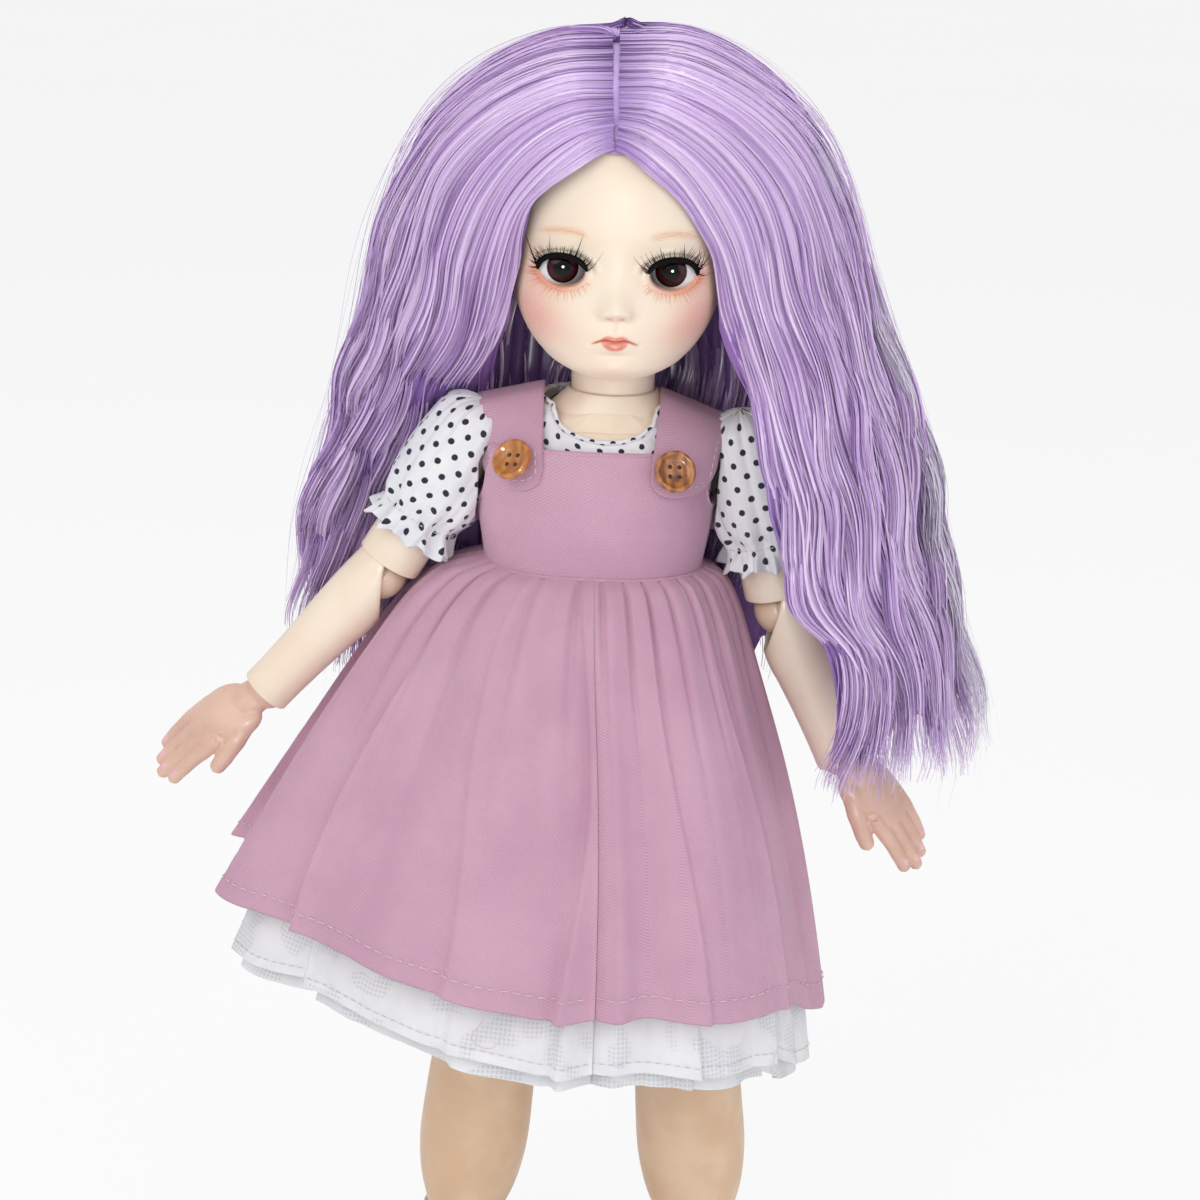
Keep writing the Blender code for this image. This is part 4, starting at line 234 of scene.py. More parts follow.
def linear(r, g, b):
    """A colour seen in the photo, 0 to 255, as the linear value that the shader takes."""
    out = []
    for c in (r / 255, g / 255, b / 255):
        out.append(c / 12.92 if c <= 0.04045 else ((c + 0.055) / 1.055) ** 2.4)
    return (*out, 1.0)


class Finish:
    """A Principled material and short ways to add nodes to it."""

    def __init__(self, name, **sockets):
        self.material = bpy.data.materials.new(name)
        self.material.use_nodes = True
        self.tree = self.material.node_tree
        self.shader = self.tree.nodes["Principled BSDF"]
        for socket, value in sockets.items():
            self.shader.inputs[socket.replace("_", " ")].default_value = value

    def add(self, kind, inputs=None, **settings):
        node = self.tree.nodes.new("ShaderNode" + kind)
        for key, value in settings.items():
            setattr(node, key, value)
        for key, value in (inputs or {}).items():
            self.feed(node.inputs[key], value)
        return node

    def feed(self, socket, value):
        if isinstance(value, bpy.types.NodeSocket):
            self.tree.links.new(value, socket)
        else:
            socket.default_value = value

    def to(self, socket, value):
        self.feed(self.shader.inputs[socket], value)

    def math(self, operation, a, b=0.0):
        return self.add("Math", {0: a, 1: b}, operation=operation).outputs[0]

    def uv(self):
        return self.add("UVMap", uv_map="mm").outputs[0]

    def scaled(self, vector, scale, turn=0.0):
        node = self.add("Mapping", {"Vector": vector, "Scale": scale, "Rotation": (0, 0, radians(turn))})
        return node.outputs[0]

    def noise(self, vector, scale, detail=3.0, rough=0.55):
        sockets = {"Vector": vector, "Scale": scale, "Detail": detail, "Roughness": rough}
        return self.add("TexNoise", sockets).outputs["Fac"]

    def ramp(self, factor, stops, smooth=False):
        node = self.add("ValToRGB", {0: factor})
        ramp = node.color_ramp
        if smooth:
            ramp.interpolation = "EASE"
        while len(ramp.elements) < len(stops):
            ramp.elements.new(0.5)
        for element, (position, colour) in zip(ramp.elements, stops):
            element.position = position
            element.color = colour
        return node.outputs[0]

    def blend(self, factor, a, b, mode="MIX"):
        node = self.add("Mix", data_type="RGBA", blend_type=mode)
        self.feed(node.inputs[0], factor)
        self.feed(node.inputs[6], a)
        self.feed(node.inputs[7], b)
        return node.outputs[2]

    def range(self, value, low, high, to_low=0.0, to_high=1.0):
        sockets = {0: value, 1: low, 2: high, 3: to_low, 4: to_high}
        return self.add("MapRange", sockets).outputs[0]

    def mark(self, name):
        return self.add("Attribute", attribute_name=name).outputs["Fac"]

    def bump(self, height, strength, distance):
        node = self.add("Bump", {"Height": height, "Strength": strength, "Distance": distance * MM})
        self.to("Normal", node.outputs[0])
        return node


def skin_finish(name, base, warm, coat=0.25, rough=0.34):
    """Painted resin: faint mottling, a satin sheen and a very fine orange peel."""
    f = Finish(name, Coat_Weight=coat, Coat_Roughness=0.22, Subsurface_Weight=0.08, Subsurface_Scale=0.003)
    at = f.add("TexCoord").outputs["Object"]
    broad = f.noise(at, 60.0, 3.0)
    colour = f.ramp(f.range(broad, 0.35, 0.65), [(0.0, base), (1.0, warm)], True)
    specks = f.noise(at, 1400.0, 2.0)
    f.to("Base Color", f.blend(f.range(specks, 0.62, 0.75, 0.0, 0.10), colour, warm))
    f.to("Roughness", f.range(f.noise(at, 300.0), 0.3, 0.7, rough - 0.05, rough + 0.08))
    f.bump(f.noise(at, 900.0, 4.0), 0.12, 0.05)
    return f


IVORY = linear(252, 235, 214)
IVORY_WARM = linear(249, 228, 206)
TAN = linear(240, 216, 190)
TAN_WARM = linear(232, 204, 176)


def skin_materials():
    finishes = {
        "skin": skin_finish("resin_skin", IVORY, IVORY_WARM),
        "joint": skin_finish("resin_joint", TAN, TAN_WARM, 0.2, 0.36),
        "leg": skin_finish("resin_leg", linear(232, 202, 172), linear(222, 186, 152), 0.15, 0.4),
        "hand": skin_finish("resin_hand", linear(230, 194, 174), linear(218, 176, 158), 0.15, 0.4),
    }
    return {key: f.material for key, f in finishes.items()}


def cotton_finish(name, base, shade, threads=5.0, dots=False, grid_patches=False):
    """Plain woven cotton, in UV millimetres: crossed threads, creases and fuzz."""
    f = Finish(name, Roughness=0.9, Sheen_Weight=0.25, Sheen_Roughness=0.4)
    uv = f.uv()
    parts = f.add("SeparateXYZ", {0: uv})
    across = f.math("SINE", f.math("MULTIPLY", parts.outputs[0], threads * 2 * pi))
    down = f.math("SINE", f.math("MULTIPLY", parts.outputs[1], threads * 2 * pi))
    weave = f.math("MULTIPLY", across, down)
    wear = f.noise(uv, 0.08, 3.0)
    colour = f.ramp(f.range(wear, 0.3, 0.7), [(0.0, shade), (1.0, base)], True)
    colour = f.blend(f.range(weave, -1.0, 1.0, 0.0, 0.10), colour, shade)
    if dots:
        colour = dotted(f, uv, colour)
    if grid_patches:
        colour = leno(f, uv, colour)
    f.to("Base Color", colour)
    f.to("Roughness", f.range(wear, 0.3, 0.7, 0.82, 0.95))
    rumple = f.math("MULTIPLY", f.noise(uv, 0.2, 2.0), 1.0)
    f.bump(f.math("ADD", weave, rumple), 0.35, 0.08)
    return f


def dotted(f, uv, colour):
    """Small dark dots 4.8 mm apart, every other row moved half a step."""
    cell = 4.8
    near = None
    for shift in ((0.0, 0.0), (cell / 2, cell / 2)):
        moved = f.add("VectorMath", {0: uv, 1: (shift[0], shift[1], 0)}, operation="ADD").outputs[0]
        ids = f.add("VectorMath", {0: moved, 1: (1 / cell, 1 / cell, 0)}, operation="MULTIPLY").outputs[0]
        part = f.add("VectorMath", {0: ids}, operation="FRACTION").outputs[0]
        off = f.add("VectorMath", {0: part, 1: (0.5, 0.5, 0)}, operation="SUBTRACT").outputs[0]
        length = f.add("VectorMath", {0: off}, operation="LENGTH").outputs["Value"]
        near = length if near is None else f.math("MINIMUM", near, length)
    ragged = f.math("ADD", near, f.math("MULTIPLY", f.noise(uv, 4.0), 0.05))
    inside = f.range(ragged, 0.175, 0.15)
    return f.blend(inside, colour, linear(34, 36, 58))


def leno(f, uv, colour):
    """Open grid bands woven into the cloth, as on the petticoat."""
    parts = f.add("SeparateXYZ", {0: uv})
    lines = None
    for axis in (0, 1):
        wave = f.math("SINE", f.math("MULTIPLY", parts.outputs[axis], 2 * pi / 1.1))
        line = f.range(wave, 0.2, 0.9)
        lines = line if lines is None else f.math("MAXIMUM", lines, line)
    patch = f.range(f.noise(uv, 0.09, 1.0), 0.5, 0.56)
    holes = f.math("MULTIPLY", patch, f.math("SUBTRACT", 1.0, lines))
    return f.blend(f.math("MULTIPLY", holes, 0.4), colour, linear(186, 190, 200))


def twill_finish():
    """Dusty mauve twill: diagonal ribs, slubs, broad faded patches and fuzz."""
    f = Finish("mauve_twill", Sheen_Weight=0.3, Sheen_Roughness=0.5, Sheen_Tint=linear(240, 215, 230))
    uv = f.uv()
    turned = f.scaled(uv, (1.0, 1.0, 1.0), 58.0)
    ribs = f.add(
        "TexWave", {"Vector": turned, "Scale": 0.5, "Distortion": 0.5, "Detail": 2.0, "Detail Scale": 3.0}
    )
    rib = ribs.outputs["Fac"]
    slub = f.noise(f.scaled(uv, (2.5, 0.25, 1.0), 0.0), 1.6, 4.0)
    fade = f.noise(uv, 0.035, 3.0)
    colour = f.ramp(
        f.range(fade, 0.3, 0.7), [(0.0, linear(194, 147, 172)), (1.0, linear(206, 161, 184))], True
    )
    colour = f.blend(f.range(rib, 0.2, 0.9, 0.0, 0.3), colour, linear(228, 194, 210))
    colour = f.blend(f.range(slub, 0.55, 0.75, 0.0, 0.2), colour, linear(172, 122, 150))
    f.to("Base Color", colour)
    f.to("Roughness", f.range(fade, 0.3, 0.7, 0.82, 0.96))
    rumple = f.math("MULTIPLY", f.noise(uv, 0.12, 2.0), 0.6)
    f.bump(f.math("ADD", rib, f.math("ADD", slub, rumple)), 0.45, 0.1)
    return f


def thread_finish(name, base, shade):
    """Twisted thread: fine slanting plies."""
    f = Finish(name, Roughness=0.75, Sheen_Weight=0.2)
    uv = f.uv()
    ply = f.add("TexWave", {"Vector": f.scaled(uv, (1.0, 1.0, 1.0), 35.0), "Scale": 3.0}).outputs["Fac"]
    f.to("Base Color", f.ramp(ply, [(0.0, shade), (1.0, base)]))
    f.to("Roughness", f.range(ply, 0.0, 1.0, 0.85, 0.65))
    f.bump(ply, 0.5, 0.05)
    return f


def button_finish(name, base, streak, dark):
    """Horn: swirled streaks under a gloss."""
    f = Finish(name, Coat_Weight=0.5, Coat_Roughness=0.1, Subsurface_Weight=0.1, Subsurface_Scale=0.002)
    uv = f.uv()
    swirl = f.add("TexWave", {"Vector": uv, "Scale": 0.12, "Distortion": 6.0, "Detail": 3.0}).outputs["Fac"]
    cloud = f.noise(uv, 0.35, 5.0)
    colour = f.ramp(swirl, [(0.0, base), (1.0, streak)], True)
    f.to("Base Color", f.blend(f.range(cloud, 0.52, 0.7), colour, dark))
    f.to("Roughness", f.range(cloud, 0.3, 0.7, 0.2, 0.38))
    f.bump(f.math("ADD", swirl, cloud), 0.15, 0.08)
    return f


def leather_finish():
    f = Finish("boot_leather", Coat_Weight=0.1, Coat_Roughness=0.3)
    uv = f.uv()
    sockets = {"Vector": uv, "Scale": 2.2}
    cells = f.add("TexVoronoi", sockets, feature="DISTANCE_TO_EDGE").outputs["Distance"]
    wear = f.noise(uv, 0.4, 5.0)
    f.to("Base Color", f.ramp(wear, [(0.3, linear(196, 194, 196)), (0.7, linear(230, 229, 230))], True))
    f.to("Roughness", f.range(wear, 0.3, 0.7, 0.38, 0.6))
    f.bump(f.range(cells, 0.0, 0.12), 0.3, 0.12)
    return f


def rubber_finish():
    f = Finish("sole_rubber")
    uv = f.uv()
    ribs = f.add("TexWave", {"Vector": uv, "Scale": 0.35}).outputs["Fac"]
    dust = f.noise(uv, 1.5, 5.0)
    f.to("Base Color", f.ramp(dust, [(0.3, linear(150, 148, 150)), (0.7, linear(178, 176, 176))]))
    f.to("Roughness", f.range(dust, 0.3, 0.7, 0.6, 0.85))
    f.bump(f.math("ADD", ribs, dust), 0.4, 0.15)
    return f


def hair_finish(name, deep, mid, light):
    """Synthetic fibre: each strand has its own tint, darker at the root as painted shade where the strands
    part, with long painted shine bands.
    """
    f = Finish(name, Anisotropic=0.4, Sheen_Weight=0.1, Coat_Weight=0.25, Coat_Roughness=0.28)
    tint = f.mark("tint")
    along = f.mark("along")
    uv = f.uv()
    # Painted shine: lighter streaks along the strands stand in for the shine bands.
    streak = f.noise(f.scaled(uv, (3.0, 0.02, 1.0)), 1.0, 2.0)
    shade = f.math("ADD", f.math("MULTIPLY", tint, 0.75), f.math("MULTIPLY", streak, 0.35))
    colour = f.ramp(shade, [(0.05, deep), (0.45, mid), (0.95, light)])
    # Painted shade: the colour darkens over the first part of each strand, at the parting and the crown.
    root = f.range(along, 0.0, 0.06, 0.75, 0.0)
    f.to("Base Color", f.blend(root, colour, deep))
    f.to("Roughness", f.range(streak, 0.3, 0.7, 0.34, 0.48))
    f.bump(streak, 0.2, 0.05)
    return f


SKINS = skin_materials()
TWILL = twill_finish().material
BLOUSE = cotton_finish("dotted_cotton", linear(249, 249, 251), linear(236, 237, 243), 5.0, dots=True).material
COTTON = cotton_finish(
    "petticoat_cotton", linear(249, 249, 250), linear(238, 239, 243), 4.0, grid_patches=True
).material
TOPSTITCH = thread_finish("topstitch", linear(245, 236, 240), linear(214, 196, 206)).material
LEATHER = leather_finish().material
RUBBER = rubber_finish().material
LACE = thread_finish("lace_cord", linear(224, 224, 228), linear(186, 186, 194)).material
HAIR = hair_finish("lilac_fibre", linear(140, 98, 180), linear(214, 182, 234), linear(242, 224, 250)).material
# Paler fibre for the wisps: painted light, lighter where light shows through them.
HAIR_PALE = hair_finish(
    "pale_lilac_fibre", linear(176, 160, 196), linear(212, 200, 224), linear(236, 230, 242)
).material
HAIR_SHADE_SHEET = hair_finish(
    "lilac_shadow", linear(98, 62, 138), linear(150, 110, 188), linear(184, 148, 214)
).material

# Joint places of the doll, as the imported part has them

SHOULDER = {"left": (32.0, 0.0, 214.0), "right": (-32.0, 0.0, 214.0)}
ARM_LIFT = {"left": 14.0, "right": 31.0}
WRIST_SPLAY = {"left": 18.0, "right": 13.0}
ELBOW_SPLAY = 10.5
UPPER_ARM, FOREARM = 42.0, 40.0
HIP = {"left": (16.5, 0.0, 145.0), "right": (-16.5, 0.0, 145.0)}
LEG_SPLAY = 5.5
THIGH, KNEE_SPACING, CALF = 61.3, 8.0, 72.5


def shifted(x, y, z):
    return Matrix.Translation((x, y, z))


def turned(degrees, axis):
    return Matrix.Rotation(radians(degrees), 4, axis)


ARM, ELBOW, FORE, WRIST, HAND = {}, {}, {}, {}, {}
LEG, KNEE, SHIN, ANKLE, FOOT = {}, {}, {}, {}, {}
for _side, _sign in SIDES.items():
    ARM[_side] = shifted(*SHOULDER[_side]) @ turned(-_sign * ARM_LIFT[_side], "Y")
    ELBOW[_side] = ARM[_side] @ shifted(0, 0, -UPPER_ARM)
    FORE[_side] = ELBOW[_side] @ turned(-_sign * ELBOW_SPLAY, "Y")
    WRIST[_side] = FORE[_side] @ shifted(0, 0, -FOREARM)
    HAND[_side] = WRIST[_side] @ turned(-_sign * WRIST_SPLAY[_side], "Y")
    LEG[_side] = shifted(*HIP[_side]) @ turned(-_sign * LEG_SPLAY, "Y")
    KNEE[_side] = LEG[_side] @ shifted(0, 0, -THIGH)
    SHIN[_side] = KNEE[_side] @ shifted(0, 0, -KNEE_SPACING)
    ANKLE[_side] = SHIN[_side] @ shifted(0, 0, -CALF)
    FOOT[_side] = ANKLE[_side] @ turned(_sign * LEG_SPLAY, "Y")

# Limbs


def revolve(profile, cols=64, rim=None):
    """A surface turned about Z from (radius, z) rows. rim(angle) lifts rows marked by their third value."""
    angle = np.arange(cols) * 2 * pi / cols
    rows = []
    for row in profile:
        radius, z = row[0], row[1]
        height = np.full(cols, float(z))
        if rim is not None and len(row) > 2:
            height = height + row[2] * rim(angle)
        rows.append(np.stack([radius * np.cos(angle), radius * np.sin(angle), height], 1))
    points = np.array(rows)
    run = np.concatenate([[0], np.cumsum(np.hypot(*np.diff([(r[0], r[1]) for r in profile], axis=0).T))])
    u, v = np.meshgrid(np.linspace(0, 2 * pi * 7, cols + 1), run)
    return grid(points, np.stack([u, v], -1), flip=True)


def rounded_end(radius, count=10):
    """(radius, z) rows of a half ball, from its tip to its equator."""
    a = np.linspace(0.02, pi / 2, count)
    return [(radius * sin(t), radius * cos(t)) for t in a]


def upper_arm(side):
    rows = rounded_end(7.0)
    for t in np.linspace(0, 1, 16)[1:]:
        z = -37.8 * t
        swell = 6.85 + 0.95 * t + 0.35 * sin(pi * t)
        rows.append((swell, z))
    rows += [(7.75, -38.05), (7.4, -38.15), (7.0, -38.0), (6.7, -37.0), (6.62, -34.0), (5.0, -33.0)]
    obj = make("upper_arm_skin_" + side, place(revolve(rows), ARM[side]), SKINS["skin"])
    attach(obj, "upper_arm_" + side)
    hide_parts("upper_arm_" + side)


def elbow(side):
    """The tan ball between the arm's halves, with a fine groove across its front."""
    rows = []
    for t in np.linspace(0.01, pi - 0.01, 40):
        rows.append((6.3 * sin(t), 6.3 * cos(t)))
    ball = revolve(rows, 64)
    p = ball.points
    groove = np.exp(-((p[:, 0] / 0.45) ** 2)) * step01(-p[:, 1], -2.0, 1.0)
    p *= (1 - 0.09 * groove)[:, None]
    obj = make("elbow_skin_" + side, place(ball, ELBOW[side]), SKINS["joint"])
    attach(obj, "elbow_" + side)
    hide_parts("elbow_ball_" + side)


def forearm(side):
    """The forearm, whose upper rim is cut low on the side that faces the body."""
    sign = SIDES[side]

    def rim(angle):
        inward = -sign * 7.5 * np.cos(angle)
        return -np.clip((inward + 2.2) * tan(radians(52)), 0, 14) * step01(inward, -2.6, -0.6)

    rows = [(6.55, 0.5, 0.85), (6.7, 3.2, 1.0), (7.0, 4.1, 1.0), (7.35, 4.2, 1.0), (7.6, 3.8, 1.0)]
    for t in np.linspace(0, 1, 22)[1:]:
        z = 3.8 - 44.7 * t
        radius = 7.62 - 1.4 * step01(t, 0.12, 0.95) + 0.18 * sin(pi * min(1, t * 1.6))
        rows.append((radius, z, max(0.0, 1 - t * 2.2)))
    rows += [(6.1, -41.15), (5.7, -41.2), (5.45, -40.4), (5.4, -38.6)]
    obj = make("forearm_skin_" + side, place(revolve(rows, 72, rim), FORE[side]), SKINS["skin"])
    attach(obj, "forearm_" + side)
    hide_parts("forearm_" + side)


def finger(root, tip, wide, thin, droop, bend_out=0.0):
    """A rounded finger with soft knuckles that droops towards the palm (+y)."""
    t = np.linspace(0, 1, 18)
    root, tip = np.asarray(root, float), np.asarray(tip, float)
    path = root + (tip - root) * t[:, None]
    path[:, 1] += droop * t * t
    path[:, 0] += bend_out * np.sin(pi * t)
    radius = wide + (thin - wide) * t
    radius = radius * (
        1 + 0.07 * np.exp(-(((t - 0.38) / 0.07) ** 2)) + 0.05 * np.exp(-(((t - 0.7) / 0.07) ** 2))
    )
    end = np.clip((1 - t) * np.linalg.norm(tip - root) / thin, 0, 1)
    radius = radius * np.sqrt(np.clip(1 - (1 - end) ** 2, 0.02, 1))
    return path, tube(path, radius, 12, 1.0, (0, 1, 0)), radius


def hand(side):
    """A palm, four closed fingers and a thumb, fused and smoothed, with painted nails."""
    sign = SIDES[side]
    twist = HAND[side] @ turned(sign * 45.0, "Z")
    parts = [ellipsoid((0, 0, 0), (5.2, 5.2, 5.2), 20, 24)]
    parts.append(ellipsoid((0, 0, -5.5), (4.6, 3.7, 7.0), 18, 24))
    parts.append(ellipsoid((sign * 0.6, 0.2, -12.5), (7.0, 3.7, 8.4), 20, 28))
    parts.append(ellipsoid((sign * 0.2, 0.2, -18.0), (7.3, 2.5, 5.2), 16, 28))
    parts.append(ellipsoid((-sign * 4.4, 0.8, -10.5), (3.2, 3.0, 6.0), 14, 20))
    nails = []
    lengths = (15.8, 18.0, 16.9, 14.0)
    for index, length in enumerate(lengths):
        x = sign * 3.5 * (1.5 - index) * -1.0
        root = (x, 0.0, -14.8)
        tip = (x * 0.9, 0.4, -18.4 - length)
        path, body, _ = finger(root, tip, 2.1, 1.65, 4.4)
        parts.append(body)
        nails.append(nail(path, -4, 1.15, 1.7))
    root = (-sign * 4.2, 0.6, -8.2)
    tip = (-sign * 9.6, 3.2, -22.6)
    path, body, _ = finger(root, tip, 2.7, 1.85, 0.6, -sign * 0.7)
    parts.append(body)
    nails.append(nail(path, -4, 1.35, 1.9))
    obj = make("hand_skin_" + side, place(joined(parts), twist), SKINS["hand"])
    fuse = obj.modifiers.new("fuse", "REMESH")
    fuse.mode = "VOXEL"
    fuse.voxel_size = 0.3 * MM
    fuse.use_smooth_shade = True
    soften = obj.modifiers.new("soften", "SMOOTH")
    soften.factor = 0.6
    soften.iterations = 5
    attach(obj, "hand_" + side)
    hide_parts("hand_" + side)
    for key, patches, finish in (("thumb_nail_", nails[-1:], NAIL_BRIGHT), ("nails_", nails[:-1], NAIL_PALE)):
        paint = make(key + side, place(joined(patches), twist), finish)
        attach(paint, "hand_" + side)


def nail(path, index, wide, long):
    """A small domed oval on the back of a fingertip."""
    at = path[index]
    along = unit(path[index + 2] - path[index - 2])
    back = unit(np.array([0.0, -1.0, 0.0]) + along * along[1])
    across = np.cross(back, along)
    m = Matrix(np.column_stack([across, back, along]).tolist()).to_4x4()
    return ellipsoid(at + back * 0.9, (wide, 1.0, long), 12, 18, m)


def gloss_finish(name, base, shade):
    """Nail paint: a gloss with faint brush streaks."""
    f = Finish(name, Coat_Weight=0.6, Coat_Roughness=0.08)
    at = f.add("TexCoord").outputs["Object"]
    streak = f.noise(f.scaled(at, (900.0, 900.0, 120.0)), 1.0, 3.0)
    f.to("Base Color", f.ramp(f.range(streak, 0.3, 0.7), [(0.0, shade), (1.0, base)]))
    f.to("Roughness", f.range(streak, 0.3, 0.7, 0.18, 0.3))
    f.bump(streak, 0.1, 0.03)
    return f.material


NAIL_BRIGHT = gloss_finish("nail_pink", linear(244, 106, 142), linear(232, 84, 124))
NAIL_PALE = gloss_finish("nail_pale", linear(248, 196, 200), linear(240, 176, 184))


def thigh(side):
    rows = rounded_end(13.8, 14)
    for t in np.linspace(0, 1, 18)[1:]:
        rows.append((13.75 - 1.95 * t + 0.3 * sin(pi * t), -58.3 * t, 0.0 if t < 0.55 else (t - 0.55) / 0.45))
    rows += [(11.4, -58.6, 1.0), (10.4, -58.2, 1.0), (9.9, -56.0, 1.0), (9.2, -54.0, 0.9)]

    def rim(angle):
        return np.clip(12 * np.sin(angle) * tan(radians(40)), 0, 9)

    obj = make("thigh_skin_" + side, place(revolve(rows, 64, rim), LEG[side]), SKINS["leg"])
    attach(obj, "thigh_" + side)
    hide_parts("thigh_" + side)


def knee(side):
    """The peanut shaped knee: two balls with a waist between."""
    rows = []
    for t in np.linspace(0.02, pi - 0.02, 60):
        z = 4.0 + 9.4 * cos(t) if t < pi / 2 else -4.0 + 9.4 * cos(t)
        rows.append((9.4 * sin(t), z - 4.0))
    rows[30:30] = [(9.4 - 0.25 * sin(pi * s), -8.0 * s) for s in (0.2, 0.4, 0.6, 0.8)]
    obj = make("knee_skin_" + side, place(revolve(rows, 56), KNEE[side]), SKINS["joint"])
    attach(obj, "knee_" + side)
    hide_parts("knee_" + side)


CALF_ROWS = (
    (0.00, 0.87), (0.20, 0.94), (0.45, 1.00), (0.65, 1.00), (0.80, 0.88), (0.90, 0.72), (1.00, 0.64),
)


def calf(side):
    rows = [(9.9, -6.0, 1.0), (10.2, -3.9, 1.0), (10.9, -3.1, 1.0)]
    for t in np.linspace(0, 1, 34):
        radius = 13.4 * float(smooth_table(CALF_ROWS, t)[0])
        rows.append((radius, -3.0 - 66.9 * t, max(0.0, 1 - t / 0.4)))
    rows += [(8.0, -70.1), (7.4, -69.9), (7.1, -68.0)]

    def rim(angle):
        return -np.clip(12.5 * np.sin(angle) * tan(radians(40)), 0, 9)

    obj = make("calf_skin_" + side, place(revolve(rows, 64, rim), SHIN[side]), SKINS["leg"])
    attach(obj, "calf_" + side)
    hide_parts("calf_" + side)


# Boots

BOOT_ROWS = (
    (0.00, 0.50, 0.30), (0.05, 0.74, 0.72), (0.18, 0.90, 1.00), (0.42, 0.90, 1.02),
    (0.62, 1.00, 0.74), (0.82, 0.98, 0.60), (0.94, 0.78, 0.46), (1.00, 0.40, 0.24),
)


def sole_outline(grow, count=96):
    """The sole's outline: narrower at the arch and heel, rounded at the toe."""
    a = np.arange(count) * 2 * pi / count
    y = -9.0 - (22.2 + grow) * np.sin(a)
    wide = 9.2 + grow + 0.9 * np.sin(a) - 0.9 * np.exp(-(((y - 1) / 6.0) ** 2))
    x = wide * np.sign(np.cos(a)) * np.abs(np.cos(a)) ** 0.72
    return x, y


def boot(side):
    """A laced ankle boot: upper, shaft, laces with a bow, welt stitching and sole."""
    bottom = -23.8
    rows = []
    cols = 56
    a = np.arange(cols) * 2 * pi / cols
    for t in np.linspace(0, 1, 34):
        width, height = smooth_table(BOOT_ROWS, t)
        y = 12.6 - 43.2 * t
        half_z = 15.2 * height / 2 + 0.6
        x = (8.9 * width + 0.4) * np.sign(np.cos(a)) * np.abs(np.cos(a)) ** 0.8
        z = half_z * np.sign(np.sin(a)) * np.abs(np.sin(a)) ** 0.8
        rows.append(np.stack([x, np.full(cols, y), bottom + 4.6 + half_z + z], 1))
    u, v = np.meshgrid(np.linspace(0, 50, cols + 1), np.linspace(0, 44, 34))
    upper = grid(np.array(rows), np.stack([u, v], -1), flip=True)
    ends = [ellipsoid((0, -30.0, bottom + 7.2), (4.6, 2.2, 2.4), 14, 24)]
    collar = []
    for t in np.linspace(0, 1, 12):
        radius = 9.6 + 0.25 * sin(pi * t * 2)
        z = bottom + 12.5 + 10.2 * t
        y = -1.4 * (1 - t)
        collar.append(np.stack([radius * np.cos(a), radius * 1.02 * np.sin(a) + y, np.full(cols, z)], 1))
    u, v = np.meshgrid(np.linspace(0, 60, cols + 1), np.linspace(0, 10, 12))
    tall = grid(np.array(collar), np.stack([u, v], -1))
    body = make("boot_skin_" + side, place(joined([upper, tall] + ends), FOOT[side]), LEATHER)
    fuse = body.modifiers.new("fuse", "REMESH")
    fuse.mode = "VOXEL"
    fuse.voxel_size = 0.35 * MM
    fuse.use_smooth_shade = True
    soften = body.modifiers.new("soften", "SMOOTH")
    soften.factor = 0.7
    soften.iterations = 8
    body.data.materials[0] = LEATHER_OBJECT
    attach(body, "foot_" + side)
    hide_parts("boot_upper_" + side)
    boot_sole(side, bottom)
    boot_shaft(side)
    boot_laces(side, bottom)


def boot_sole(side, bottom):
    levels = (
        (0.3, 0.0), (0.0, 0.25), (0.1, 1.2), (-0.15, 1.6), (0.1, 2.2), (0.2, 4.1), (-0.1, 4.5), (-2.0, 4.6)
    )
    rows = []
    for grow, z in levels:
        x, y = sole_outline(grow)
        rows.append(np.stack([x, y, np.full(len(x), bottom + z)], 1))
    u, v = np.meshgrid(np.linspace(0, 110, 97), np.linspace(0, 6, len(levels)))
    wall = grid(np.array(rows), np.stack([u, v], -1), flip=True)
    plates = []
    for z, grow, flip in ((0.0, 0.3, False), (4.6, -2.0, True)):
        x, y = sole_outline(grow)
        ring = np.stack([x, y, np.full(len(x), bottom + z)], 1)
        inner = ring * [0.02, 0.02, 1.0] + [0, -8.8, 0]
        plates.append(grid(np.array([inner, ring]), np.zeros((2, 97, 2)) + ring[0, :2] * 0.1, flip=flip))
    obj = make("sole_rubber_" + side, place(joined([wall] + plates), FOOT[side]), RUBBER)
    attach(obj, "foot_" + side)
    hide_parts("boot_sole_" + side)
    x, y = sole_outline(-0.75, 120)
    path = np.stack([x, y, np.full(len(x), bottom + 4.75)], 1)
    stitches = make("welt_stitch_" + side, place(dashes(path, 1.1, 0.55, 0.2), FOOT[side]), TOPSTITCH)
    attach(stitches, "foot_" + side)


def boot_shaft(side):
    """The soft shaft round the ankle, with a rolled top edge."""
    cols, rows = 60, []
    a = np.arange(cols) * 2 * pi / cols
    levels = [
        (9.55, -1.2), (9.9, 0.5), (9.95, 2.5), (9.9, 5.0), (10.1, 8.0), (10.3, 9.4), (10.0, 9.95), (9.5, 9.8),
        (9.35, 9.0), (9.2, 5.0), (9.0, 0.0)
    ]
    for radius, z in levels:
        crease = 0.18 * np.sin(3 * a + z) * step01(9.0 - z, 0, 3)
        rows.append(
            np.stack([(radius + crease) * np.cos(a), (radius + crease) * np.sin(a), np.full(cols, z)], 1)
        )
    u, v = np.meshgrid(np.linspace(0, 60, cols + 1), [level[1] for level in levels])
    shaft = grid(np.array(rows), np.stack([u, v], -1))
    frame_at = ANKLE[side] @ shifted(0, 0, 22.2 - 23.8)
    obj = make("shaft_skin_" + side, place(shaft, frame_at), LEATHER)
    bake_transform(obj)
    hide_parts("boot_shaft_" + side)


